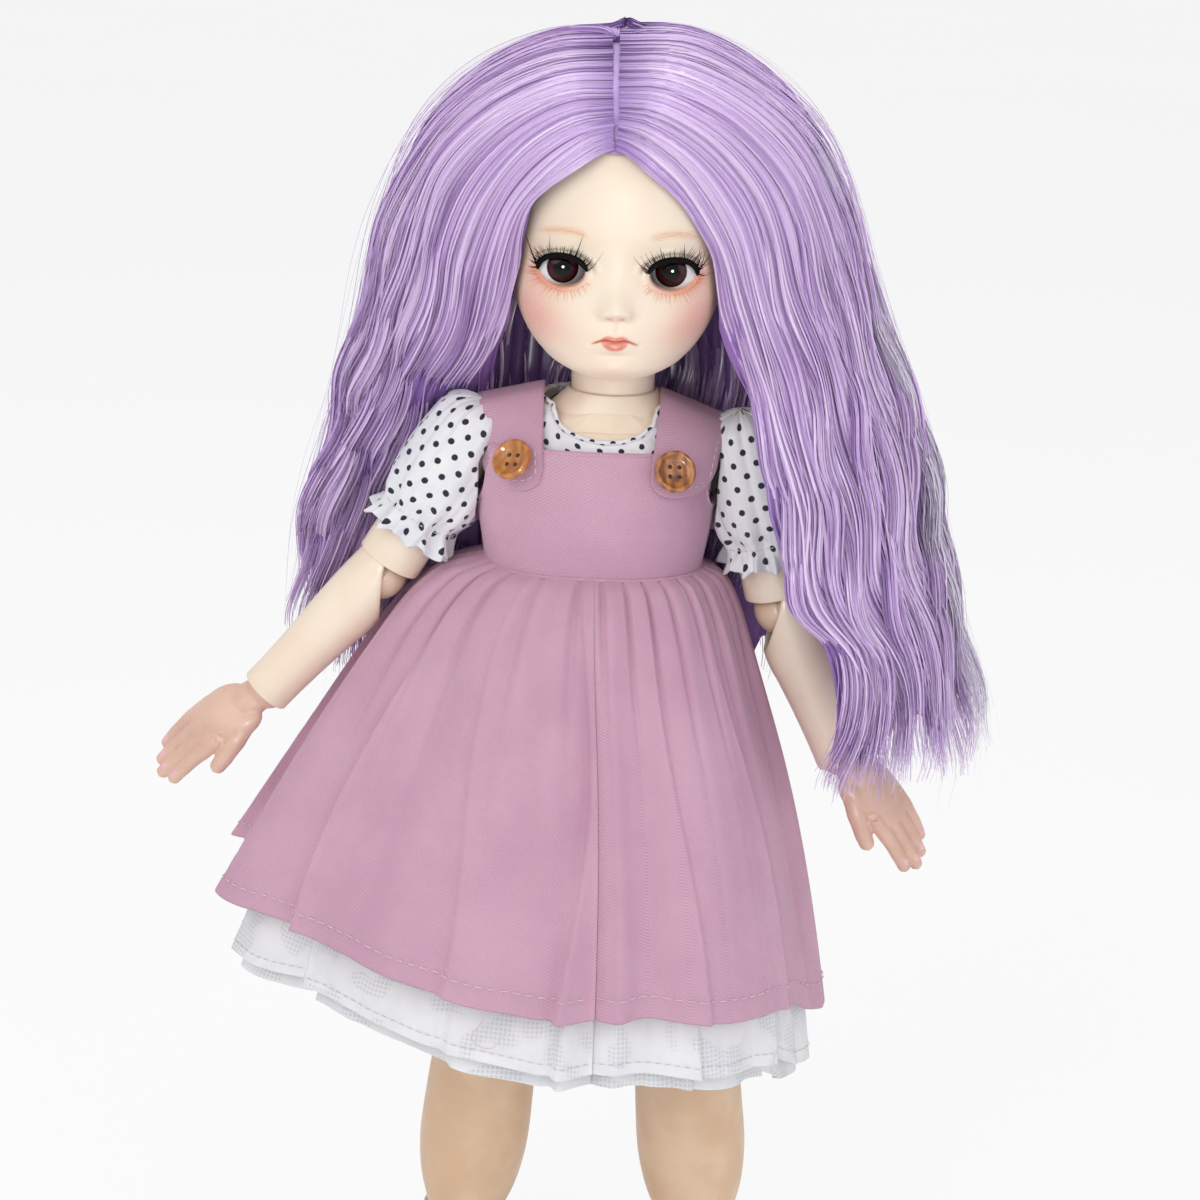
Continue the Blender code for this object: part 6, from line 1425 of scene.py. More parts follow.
def features(x, z):
    """How far the face stands out to the front of the plain head."""
    a = np.abs(x)
    out = 0.55 * hill(a, z, 14.5, 245, 7, 5.5) + 0.35 * hill(a, z, 10, 266, 8, 3)
    rise = np.where(z > 248.5, 4.3, 1.45)
    out += 3.3 * np.exp(-((x / 3.1) ** 2) - ((z - 248.5) / rise) ** 2)
    out += 0.35 * hill(x, z, 0, 257, 3.4, 6)
    out += 0.95 * hill(a, z, 2.8, 247.9, 1.2, 1.2)
    out -= 0.75 * hill(a, z, 1.35, 246.75, 0.75, 0.4)
    out -= 0.22 * hill(x, z, 0, 244.6, 0.7, 1.1)
    out += 0.10 * hill(a, z, 1.2, 244.4, 0.6, 1.3)
    out += 0.95 * hill(x, z, 0, 241.5, 5.4, 3.2)
    line = lip_line(x)
    fade = 1 - step01(a, 3.8, 5.6)
    out += 0.42 * fade * np.exp(-(((z - (line + lip_top(x)) / 2) / 0.62) ** 2))
    out -= 0.50 * fade * np.exp(-(((z - line) / 0.24) ** 2))
    out += 0.62 * np.exp(-((x / 2.3) ** 2) - ((z - line + 1.15) / 0.75) ** 2)
    out -= 0.28 * hill(a, z, 5.4, 240.8, 0.9, 0.8)
    out -= 0.50 * hill(x, z, 0, 238.2, 3.6, 0.95)
    out += 0.75 * hill(x, z, 0, 235.2, 4.6, 2.3)
    for side, sign in SIDES.items():
        centre = EYES[side]
        e = lid(x, z, side)
        near = (x * sign > 0) * 1.0
        out -= near * 1.6 * hill(x, z, centre[0], centre[2], 7.4, 5.6)
        upper = step01(z - centre[2], -0.5, 1.5)
        out += near * 0.30 * np.exp(-(((e - 1.12) / 0.12) ** 2))
        out -= near * upper * 0.30 * np.exp(-(((e - 1.30) / 0.045) ** 2))
        out += near * upper * 0.30 * np.exp(-(((e - 1.48) / 0.16) ** 2))
    return out


def face_point(x, z, lift=0.0):
    """The place on the face before x and z, lifted off the skin."""
    wide, deep, _ = head_size(z)
    base = np.clip(1 - (np.abs(x) / wide) ** HEAD_POWER, 0.0, 1) ** (1 / HEAD_POWER)
    return np.stack([x, -deep * base - features(x, z) - lift, z], -1)


def head_grid():
    """Places of the head's skin, rows from the crown to the chin and columns round from the nape."""
    heights = np.concatenate([
        np.linspace(299, 272, 40)[:-1], np.linspace(272, 235.5, 150)[:-1], np.linspace(235.5, 231.2, 26)
    ])
    turns = np.radians(np.concatenate([
        np.linspace(-180, -82, 34)[:-1], np.linspace(-82, 82, 230)[:-1], np.linspace(82, 180, 34)[:-1]
    ]))
    z, turn = np.meshgrid(heights, turns, indexing="ij")
    wide, deep, back = head_size(z)
    power = 2 / HEAD_POWER
    x = wide * np.sign(np.sin(turn)) * np.abs(np.sin(turn)) ** power
    front = np.cos(turn) > 0
    y = -np.where(front, deep, back) * np.sign(np.cos(turn)) * np.abs(np.cos(turn)) ** power
    y = y - features(x, z) * step01(-y, 2, 9)
    return np.stack([x, y, z], -1)


def face_marks(x, y, z):
    """How much of each paint, and of the painted shade, lies at each place of the skin."""
    a = np.abs(x)
    marks = {"blush": hill(a, z, 19.5, 247, 6.0, 6.5) + 0.55 * hill(a, z, 15, 243, 6, 5)}
    marks["blush"] = marks["blush"] + 0.5 * hill(a, z, 20, 257, 4, 6) + 0.25 * hill(x, z, 0, 234, 5, 2.5)
    # Painted shade: darker in the nostrils, under the nose, down the philtrum, under the lower lip and beside
    # the nose's wings.
    shade = 0.9 * hill(a, z, 1.45, 246.85, 0.75, 0.33) + 0.30 * hill(x, z, 0, 246.4, 2.4, 0.45)
    shade = shade + 0.22 * hill(x, z, 0, 244.7, 0.35, 1.2) + 0.28 * hill(x, z, 0, 238.6, 2.6, 0.5)
    shade = shade + 0.25 * hill(a, z, 3.6, 247.4, 0.35, 0.9)
    line, top, low = lip_line(x), lip_top(x), lip_low(x)
    upper = step01(z, line - 0.1, line + 0.1) * (
        1 - step01(z, top - 0.28, top + 0.12)
    ) * (1 - step01(a, 4.2, 5.4))
    lower = step01(z, low - 0.2, low + 0.3) * (
        1 - step01(z, line - 0.1, line + 0.1)
    ) * (1 - step01(a, 2.6, 3.5))
    marks["lips"] = np.clip(upper + lower * 0.92, 0, 1)
    marks["lip_dark"] = np.exp(-(((z - line) / 0.24) ** 2)) * (1 - step01(a, 4.4, 5.8))
    # Painted highlight: a light spot in the middle of the lower lip and one to each side.
    marks["lip_light"] = hill(x, z, 0, LIP_LINE - 1.0, 0.9, 0.5) + 0.6 * hill(
        a, z, 2.6, LIP_LINE - 0.6, 0.5, 0.4
    )
    paint = np.zeros_like(x)
    crease = np.zeros_like(x)
    brow = np.zeros_like(x)
    for side, sign in SIDES.items():
        cx, _, cz = EYES[side]
        dx, dz = (x - cx) * sign, z - cz
        e = lid(x, z, side)
        turn = np.degrees(np.arctan2(dz / EYE_TALL, dx / EYE_WIDE))
        under = np.exp(-(((turn + 62) / 42) ** 2)) + 0.75 * np.exp(-(((turn + 15) / 20) ** 2))
        under = np.clip(under + 0.35 * np.exp(-(((turn + 130) / 40) ** 2)), 0, 1)
        paint = paint + under * (e > 0.9) * (
            np.exp(-(((e - 1.05) / 0.22) ** 2)) + 0.35 * np.exp(-(((e - 1.2) / 0.38) ** 2))
        )
        above = step01(dz, 0.8, 2.2)
        # Painted shade: a dark line in the lid crease, over the groove that features carves there.
        crease = crease + above * np.exp(-(((e - 1.30) / 0.035) ** 2))
        height = 9.5 - 0.032 * (dx + 0.5) ** 2
        ends = step01(dx, -6.4, -3.4) * (1 - step01(dx, 3.0, 6.0))
        brow = brow + ends * np.exp(-(((dz - height) / 0.9) ** 2))
    front = step01(-y, 0, 8)
    marks.update(shade=np.clip(shade, 0, 1) * front, paint=np.clip(paint, 0, 1) * front)
    marks.update(crease=np.clip(crease, 0, 1) * front, brow=np.clip(brow, 0, 1) * front)
    return marks


def head_skin():
    points = head_grid()
    rows, cols = points.shape[:2]
    uv = np.stack(np.meshgrid(np.arange(cols + 1) * 0.5, np.arange(rows) * 0.3), -1)
    patch = grid(points, uv, flip=True)
    x, y, z = patch.points.T
    keep = np.ones(len(patch.faces), bool)
    for side, sign in SIDES.items():
        e = np.where((y < 0) & (x * sign > 0), lid(x, z, side), 9.0)
        inside = e < 1
        keep &= ~inside[patch.faces].all(1)
        cx, _, cz = EYES[side]
        snap = inside & (e > 0.6)
        x[snap] = cx + (x[snap] - cx) / e[snap]
        z[snap] = cz + (z[snap] - cz) / e[snap]
    snapped = face_point(x, z)
    for side, sign in SIDES.items():
        edge = (y < 0) & (x * sign > 0) & (np.abs(lid(x, z, side) - 1) < 0.001)
        y[edge] = snapped[edge, 1]
    patch.points = np.stack([x, y, z], -1)
    patch.faces, patch.corners = patch.faces[keep], patch.corners[keep]
    patch.marks = face_marks(x, y, z)
    return joined(
        [patch, chin_floor(points[-1])] + [lid_rim(side) for side in SIDES] + [ear(side) for side in SIDES]
    )


def chin_floor(ring):
    """Closes the head under the chin."""
    middle = np.array([0, -6.0, 231.0])
    rows = [ring * (1 - t) + middle * t for t in np.linspace(0, 0.98, 6)]
    uv = np.zeros((6, len(ring) + 1, 2))
    return grid(np.array(rows), uv, flip=True)


def lid_rim(side):
    """The rim of the eye's opening, turned in towards the ball."""
    turns = np.linspace(0, 2 * pi, 96, endpoint=False)
    centre = EYES[side]
    rows = []
    for share, inward in ((1.0, 0.0), (0.985, 0.15), (0.96, 0.6), (0.95, 1.4), (0.95, 2.4)):
        x = centre[0] + EYE_WIDE * share * np.cos(turns)
        z = centre[2] + EYE_TALL * share * np.sin(turns)
        row = face_point(x, z)
        row[:, 1] += inward
        rows.append(row)
    uv = np.zeros((5, 97, 2))
    patch = grid(np.array(rows), uv, flip=True)
    lower = step01(-np.sin(turns), -0.2, 0.6)
    patch.marks["paint"] = np.tile(lower * 0.7, 5)
    # Painted shade on the upper rim, under the lid and lashes.
    patch.marks["shade"] = np.tile((1 - lower) * 0.6, 5)
    return patch


def ear(side):
    """A small ear with a hollow in front of its rim."""
    sign = SIDES[side]
    patch = ellipsoid((0, 0, 0), (2.0, 3.6, 5.6), 26, 34)
    x, y, z = patch.points.T
    hollow = hill(y, z, -0.6, 0.4, 1.5, 2.8) * step01(x * sign, 0.3, 1.2)
    x = x - sign * 1.3 * hollow
    patch.points = np.stack([x + sign * (HEAD_WIDE - 0.2), y + 2.2, z + 252.3], -1)
    patch.marks["blush"] = np.full(len(x), 0.35)
    # Painted shade darkens the ear's hollow.
    patch.marks["shade"] = hollow * 0.35
    return patch


def face_finish():
    """Painted resin face: matt skin, airbrushed blush, glossy lips, painted shade in the nostrils, lid
    creases and under the nose and lip, a painted highlight on the lower lip and fine brush grain.
    """
    f = Finish(
        "painted_face", Coat_Weight=0.04, Coat_Roughness=0.4, Subsurface_Weight=0.10, Subsurface_Scale=0.003
    )
    at = f.add("TexCoord").outputs["Object"]
    broad = f.noise(at, 50.0, 3.0)
    grain = f.noise(at, 1600.0, 2.0)
    colour = f.ramp(f.range(broad, 0.35, 0.65), [(0.0, IVORY), (1.0, linear(250, 230, 208))], True)
    dusty = f.range(grain, 0.3, 0.7, 0.85, 1.1)
    for mark, amount, tint in (
        ("blush", 0.68, linear(242, 178, 162)), ("brow", 0.62, linear(238, 188, 150)),
        ("paint", 0.72, linear(238, 130, 94)), ("shade", 0.75, linear(206, 142, 116)),
        ("crease", 0.5, linear(120, 84, 70)), ("lips", 0.95, linear(236, 128, 108)),
        ("lip_dark", 0.85, linear(190, 62, 52)), ("lip_light", 0.55, linear(255, 196, 184)),
    ):
        factor = f.math("MULTIPLY", f.math("MULTIPLY", f.mark(mark), dusty), amount)
        colour = f.blend(factor, colour, tint)
    f.to("Base Color", colour)
    gloss = f.math("MAXIMUM", f.mark("lips"), f.math("MULTIPLY", f.mark("paint"), 0.4))
    f.to("Roughness", f.range(gloss, 0.0, 1.0, 0.46, 0.24))
    f.bump(f.noise(at, 900.0, 4.0), 0.10, 0.05)
    return f.material


def eye_finish():
    """Glass eye: dark iris with radial fibres, black pupil and faint veins on the white."""
    f = Finish("glass_eye", Coat_Weight=0.5, Coat_Roughness=0.02, Roughness=0.6, Specular_IOR_Level=0.02)
    far = f.mark("far")
    uv = f.uv()
    fibre = f.noise(f.scaled(uv, (9.0, 0.6, 1.0)), 1.0, 4.0)
    deep = f.ramp(fibre, [(0.35, linear(34, 8, 14)), (0.7, linear(86, 24, 34))])
    iris = f.blend(f.range(far, 2.9, 3.65), deep, linear(16, 6, 10))
    iris = f.blend(f.range(far, 2.6, 1.8), iris, linear(2, 2, 3))
    vein = f.noise(f.scaled(uv, (3.0, 3.0, 1.0)), 2.0, 5.0)
    white = f.ramp(vein, [(0.3, linear(214, 206, 208)), (0.6, linear(238, 236, 238))])
    f.to("Base Color", f.blend(f.range(far, 3.62, 3.85), iris, white))
    f.bump(fibre, 0.05, 0.03)
    return f.material


# How far each eye looks aside and up, in degrees
GAZE = {"left": (-3.5, 3.0), "right": (0.5, 3.0)}


def eyeball(side, material):
    rows = np.concatenate([np.linspace(0.001, 34, 60), np.linspace(34, 170, 30)[1:]])
    polar, turn = np.meshgrid(np.radians(rows), np.arange(72) * 2 * pi / 72, indexing="ij")
    radius = 7.5
    points = np.stack([np.sin(polar) * np.cos(turn), -np.cos(polar), np.sin(polar) * np.sin(turn)], -1)
    bulge = 0.25 * np.exp(-((np.degrees(polar) / 27) ** 4))
    points = points * (radius + bulge)[..., None]
    u, v = np.meshgrid(np.linspace(0, 24, 73), radius * np.radians(rows))
    patch = grid(points, np.stack([u, v], -1), flip=False)
    patch.marks["far"] = np.repeat(radius * np.radians(rows), 72)
    aside, up = GAZE[side]
    turned = Matrix.Rotation(radians(aside), 4, "Z") @ Matrix.Rotation(radians(-up), 4, "X")
    patch = place(patch, turned)
    patch.points = patch.points + EYES[side] + np.array([0, -0.6, 0])
    obj = make("eyeball_" + side, patch, material)
    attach(obj, "head")
    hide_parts("eye_" + side)


# Long lashes as (root x, root z, tip x, tip z, thickness) from the eye's middle, on the photo's two eyes
LONG_LASHES = {
    "right": (
        (-6.0, 0.9, -8.8, 8.3, 0.15), (2.75, 3.4, 4.5, 8.8, 0.12), (-3.1, 3.7, -3.0, 8.0, 0.06),
        (5.3, 1.8, 6.9, 3.9, 0.12), (6.2, 0.9, 9.2, 5.3, 0.05), (-5.5, 0.2, -7.8, 0.3, 0.16),
        (-5.3, 0.7, -7.4, 1.7, 0.10), (3.7, 2.9, 4.5, 5.2, 0.09), (4.4, 2.5, 5.6, 4.6, 0.08),
        (-5.6, 1.4, -7.6, 4.2, 0.08), (-5.0, 2.0, -6.5, 5.2, 0.07), (1.6, 3.9, 1.9, 6.3, 0.07),
    ),
    "left": (
        (-5.4, 0.7, -9.2, 4.4, 0.11), (-2.4, 3.7, -3.3, 6.8, 0.11), (2.5, 3.3, 2.2, 7.2, 0.11),
        (5.5, 1.7, 6.2, 5.0, 0.14), (5.4, 2.2, 5.9, 7.0, 0.06), (6.0, 1.0, 8.3, 4.9, 0.13),
        (5.2, 0.3, 7.6, -0.2, 0.16), (5.6, 0.8, 7.5, 2.3, 0.12), (-4.4, 2.2, -6.6, 5.3, 0.09),
        (-3.8, 2.8, -5.4, 5.8, 0.08), (-4.9, 1.6, -7.6, 4.6, 0.07), (6.3, 1.4, 7.2, 5.9, 0.06),
    ),
}


def strip_point(side, turn, forward=0.0, out=0.0):
    """A place along the lash strip, at an angle round the eye, with 90 at the top."""
    centre = EYES[side]
    x = centre[0] + (EYE_WIDE + 0.45 + out) * cos(radians(turn))
    z = centre[2] + (EYE_TALL + 0.10 + out) * sin(radians(turn))
    point = face_point(np.array([x]), np.array([z]))[0]
    point[1] -= forward
    return point


def lash_curve(root, tip, thick, arch, steps=14):
    """A hair that leaves forward and curls up to its tip."""
    t = np.linspace(0, 1, steps)[:, None]
    bow = np.array([0, -arch, 0]) * np.sin(t * pi * 0.75) + np.array([0, 0, -0.18 * arch]) * np.sin(t * pi)
    path = root * (1 - t) + tip * t + bow
    radius = thick * (1 - t[:, 0]) ** 0.8 + 0.012
    return tube(path, radius, 5)


def lashes(side):
    rng = np.random.default_rng(5 if side == "left" else 9)
    sign = SIDES[side]
    centre = EYES[side]
    turns = np.linspace(-8, 172, 60) if side == "left" else np.linspace(188, 8, 60)
    band = np.array([strip_point(side, turn, 0.55, -0.25) for turn in turns])
    thick = 0.74 * np.sqrt(np.clip(1 - np.abs(np.linspace(-1, 1, 60)) ** 5, 0.1, 1))
    parts = [tube(band, thick, 8, 0.8, (0, 1, 0.3))]
    for turn in np.linspace(12, 168, 46):
        turn += rng.normal(0, 1.6)
        root = strip_point(side, turn, 0.6, 0.1)
        lean = np.array([cos(radians(turn)) * 1.2, 0, 1.0])
        size = rng.uniform(1.3, 2.9) * (1 + 0.35 * (cos(radians(turn)) * sign > 0.3))
        tip = root + unit(lean) * size + np.array([rng.normal(0, 0.25), -rng.uniform(0.3, 1.2), 0])
        parts.append(lash_curve(root, tip, rng.uniform(0.055, 0.10), 0.35))
    for rx, rz, tx, tz, width in LONG_LASHES[side]:
        root = face_point(np.array([centre[0] + rx]), np.array([centre[2] + rz]))[0] - np.array([0, 0.7, 0])
        tip = np.array([centre[0] + tx, root[1] - 2.0, centre[2] + tz + 0.45])
        skin = face_point(np.array([tip[0]]), np.array([tip[2]]))[0][1]
        tip[1] = min(tip[1], skin - 0.8)
        parts.append(lash_curve(root, tip, width * 1.35, 0.9))
    obj = make("eyelashes_" + side, joined(parts), LASH)
    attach(obj, "head")
    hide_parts("lash_" + side)


def brush_strokes(side):
    """Fine painted lower lashes and brow hairs, as ribbons just off the skin."""
    rng = np.random.default_rng(15 if side == "left" else 19)
    sign = SIDES[side]
    centre = EYES[side]
    parts = []
    for turn in np.linspace(-152, -2, 44):
        turn += rng.normal(0, 1.5)
        start = rng.uniform(1.10, 1.18)
        end = start + rng.uniform(0.25, 0.62) * (0.75 + 0.35 * cos(radians(turn + 40)))
        e = np.linspace(start, end, 7)
        bend = radians(turn) + np.linspace(0, rng.uniform(-0.05, 0.12), 7)
        x = centre[0] + sign * EYE_WIDE * e * np.cos(bend)
        z = centre[2] + EYE_TALL * (1 + (e - 1) * 1.35) * np.sin(bend)
        parts.append(stroke(face_point(x, z, 0.03), rng.uniform(0.03, 0.05)))
    for step in np.linspace(0, 1, 20):
        dx = -4.9 + 10.2 * step + rng.normal(0, 0.15)
        dz = 9.5 - 0.032 * (dx + 0.5) ** 2 + rng.normal(0, 0.3)
        run = np.linspace(0, rng.uniform(0.8, 1.5), 6)
        x = centre[0] + sign * (dx + run)
        z = centre[2] + dz + 0.10 * run - 0.12 * run * run
        parts.append(stroke(face_point(x, z, 0.03), 0.014))
    return joined(parts)


def stroke(path, wide):
    """A flat tapered mark on the skin."""
    along = unit(np.gradient(path, axis=0))
    side = unit(np.cross(along, np.array([0.0, 1.0, 0.0])))
    t = np.linspace(0, 1, len(path))[:, None]
    half = wide * (1 - t) ** 0.7 + 0.006
    points = np.stack([path - side * half, path + side * half], 1)
    uv = np.stack(np.meshgrid([0.0, 0.1], np.linspace(0, 2, len(path))), -1)
    return grid(points, uv, wrap=False)


def stroke_finish():
    f = Finish("brush_paint", Roughness=0.5)
    grain = f.noise(f.uv(), 3.0, 3.0)
    f.to("Base Color", f.ramp(grain, [(0.35, linear(196, 112, 78)), (0.65, linear(232, 156, 116))]))
    f.to("Roughness", f.range(grain, 0.3, 0.7, 0.4, 0.6))
    f.bump(grain, 0.2, 0.02)
    return f.material


def neck_piece():
    """The neck: a ball in the torso's cup, a slim column and a soft flare under the head."""
    rows = [(9.6 * sin(a), -9.8 * cos(a)) for a in np.linspace(0.05, 1.15, 14)]
    for z, radius in (
        (-2.5, 9.5), (0, 9.6), (3, 9.7), (6, 9.8), (9, 9.9), (12, 10.0), (15, 10.0), (17.5, 9.8)
    ):
        rows.append((radius, z))
    rows += [(9.0, 17.9), (6.0, 18.0)]
    patch = revolve(rows[::-1], 72)
    patch.points = patch.points + np.array([0, 3.0, 219.5])
    obj = make("neck_skin", patch, SKINS["skin"])
    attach(obj, "neck")
    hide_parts("neck")


def head():
    obj = make("head_skin", head_skin(), face_finish())
    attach(obj, "head")
    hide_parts("head_shell", "head_cap")
    glass, paint = eye_finish(), stroke_finish()
    for side in SIDES:
        eyeball(side, glass)
        lashes(side)
        strokes = make("face_strokes_" + side, brush_strokes(side), paint)
        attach(strokes, "head")
    neck_piece()



# Hair

CAMERA_AT = np.array([-1.0, -710.5, 384.1])
CAMERA_PITCH, CAMERA_ROLL, CAMERA_ZOOM = 16.52, 2.3, 3095.0


def from_photo(px, py, depth):
    """The place in the doll's frame that shows at a point of the 1200 photo, at a depth y."""
    roll, pitch = radians(CAMERA_ROLL), radians(CAMERA_PITCH)
    a, b = px - 600, 600 - py
    x = a * cos(roll) - b * sin(roll)
    y = a * sin(roll) + b * cos(roll)
    ahead = np.array([0, cos(pitch), -sin(pitch)])
    up = np.array([0, sin(pitch), cos(pitch)])
    way = ahead * CAMERA_ZOOM + np.array([1, 0, 0]) * x + up * y
    return CAMERA_AT + way * (depth - CAMERA_AT[1]) / way[1]


# Where the locks run, as (photo x, photo y, depth), from the parting to the ends.
LEFT_GUIDES = (
    ((618, 146, -21.5), (634, 156, -24), (655, 176, -25), (680, 200, -23), (700, 228, -20), (716, 255, -17),
     (722, 285, -14), (728, 320, -13), (742, 360, -16), (762, 400, -22), (776, 440, -26), (778, 480, -28),
     (782, 520, -29), (796, 560, -30), (812, 605, -30), (838, 650, -30), (850, 700, -29), (848, 745, -28),
     (830, 790, -27), (822, 815, -26)),
    ((619, 130, -19), (645, 140, -23), (680, 170, -24), (712, 215, -21), (735, 260, -17), (748, 310, -16),
     (762, 360, -19), (785, 410, -24), (800, 460, -28), (806, 510, -30), (815, 560, -31), (838, 610, -31),
     (860, 660, -31), (872, 710, -30), (868, 760, -29), (850, 800, -28), (842, 830, -27)),
    ((620, 110, -16), (660, 115, -21), (710, 145, -22), (750, 195, -19), (772, 250, -16), (785, 310, -16),
     (800, 360, -19), (825, 420, -24), (835, 480, -27), (842, 540, -29), (862, 600, -30), (885, 660, -30),
     (900, 720, -29), (905, 770, -28), (895, 812, -27)),
    ((620, 85, -11), (670, 88, -16), (730, 118, -18), (780, 170, -16), (808, 230, -13), (825, 300, -13),
     (845, 360, -15), (868, 420, -19), (880, 490, -22), (890, 560, -24), (912, 630, -26), (930, 700, -27),
     (940, 760, -27), (935, 800, -26)),
    ((620, 60, -5), (680, 62, -8), (745, 92, -10), (800, 140, -9), (836, 205, -7), (855, 270, -6),
     (875, 340, -7), (900, 410, -9), (915, 480, -11), (925, 560, -14), (945, 630, -17), (962, 700, -19),
     (968, 750, -20), (965, 785, -20)),
    ((620, 38, 2), (690, 40, 2), (755, 75, 0), (815, 130, 0), (848, 200, 2), (870, 275, 4), (895, 350, 4),
     (922, 430, 3), (938, 510, 0), (950, 590, -4), (968, 660, -8), (984, 720, -10), (986, 748, -11)),
    ((620, 24, 12), (690, 26, 14), (760, 62, 14), (815, 125, 14), (840, 200, 16), (858, 280, 18),
     (880, 360, 20), (905, 440, 20), (920, 520, 18), (930, 600, 15), (940, 660, 12), (945, 700, 10)),
)
RIGHT_GUIDES = (
    ((614, 147, -21.5), (600, 152, -24), (573, 168, -25), (544, 186, -23.5), (526, 205, -21),
     (518, 235, -18), (515, 265, -15), (505, 292, -12), (492, 320, -6), (482, 350, 2), (476, 385, 10),
     (470, 430, 16), (460, 480, 20), (455, 540, 22), (450, 600, 22)),
    ((613, 132, -19), (585, 142, -23), (545, 172, -24), (512, 210, -21), (497, 255, -17), (486, 300, -12),
     (468, 340, -5), (450, 380, 3), (440, 420, 12), (430, 480, 18), (420, 540, 20), (405, 600, 21),
     (380, 660, 21)),
    ((613, 112, -16), (570, 120, -21), (520, 152, -22), (482, 200, -19), (462, 255, -15), (448, 310, -10),
     (430, 360, -3), (410, 410, 6), (398, 460, 15), (385, 520, 18), (375, 580, 20), (355, 640, 20),
     (345, 690, 20)),
    ((613, 88, -11), (560, 92, -16), (500, 122, -18), (452, 170, -16), (428, 230, -13), (412, 300, -9),
     (395, 360, -4), (375, 420, 6), (362, 480, 14), (350, 540, 17), (340, 600, 18), (328, 650, 18),
     (322, 690, 18)),
    ((613, 62, -5), (555, 66, -8), (490, 95, -10), (436, 145, -9), (402, 205, -7), (384, 270, -5),
     (368, 340, -2), (350, 410, 5), (335, 470, 12), (322, 530, 15), (310, 590, 17), (300, 640, 18),
     (292, 665, 18)),
    ((613, 40, 2), (550, 44, 2), (482, 78, 0), (425, 130, 0), (388, 195, 2), (366, 260, 4), (350, 330, 5),
     (332, 400, 9), (315, 460, 14), (300, 520, 16), (292, 580, 17), (288, 620, 18)),
    ((613, 26, 12), (550, 30, 14), (480, 64, 14), (425, 122, 14), (395, 195, 16), (378, 270, 18),
     (360, 350, 19), (340, 430, 20), (322, 500, 20), (310, 560, 19), (300, 610, 18)),
)
# Height, half width and depth of the hair behind the head
BACK_ROWS = (
    (309.5, 1, 14), (304, 14, 26), (290, 25, 31.5), (275, 31, 34), (255, 34, 35.5), (235, 36, 33),
    (215, 38, 31), (195, 40, 31.5), (180, 40, 34), (165, 41, 39), (150, 42, 45), (140, 42, 48),
)
GUIDE_STEPS = 84


def back_guide(turn):
    points = [
        (wide * sin(radians(turn)), deep * abs(cos(radians(turn))) ** 0.8, z)
        for z, wide, deep in BACK_ROWS
    ]
    return spline_path(points, GUIDE_STEPS)


def photo_guide(rows):
    return spline_path([from_photo(*row) for row in rows], GUIDE_STEPS)


GUIDES = {
    "left": np.array([photo_guide(g) for g in LEFT_GUIDES] + [back_guide(62)]),
    "right": np.array([photo_guide(g) for g in RIGHT_GUIDES] + [back_guide(-62)]),
}
GUIDES["back"] = np.array(
    [GUIDES["right"][6]] + [back_guide(t) for t in (-62, -40, -20, 0, 20, 40, 62)] + [GUIDES["left"][6]]
)


def guide_at(guides, g):
    """The guide curves at fractional places g between them, as g × steps × 3."""
    g = np.clip(np.asarray(g, float), 0, len(guides) - 1.0001)
    k = g.astype(int)
    t = (g - k)[:, None, None]
    return guides[k] * (1 - t) + guides[k + 1] * t


def outward(points):
    """Away from the head, and a little to the front where hair hangs before the body."""
    axis = np.zeros_like(points)
    axis[..., 1] = 4.0
    axis[..., 2] = np.clip(points[..., 2], 0, 268)
    return unit(points - axis)


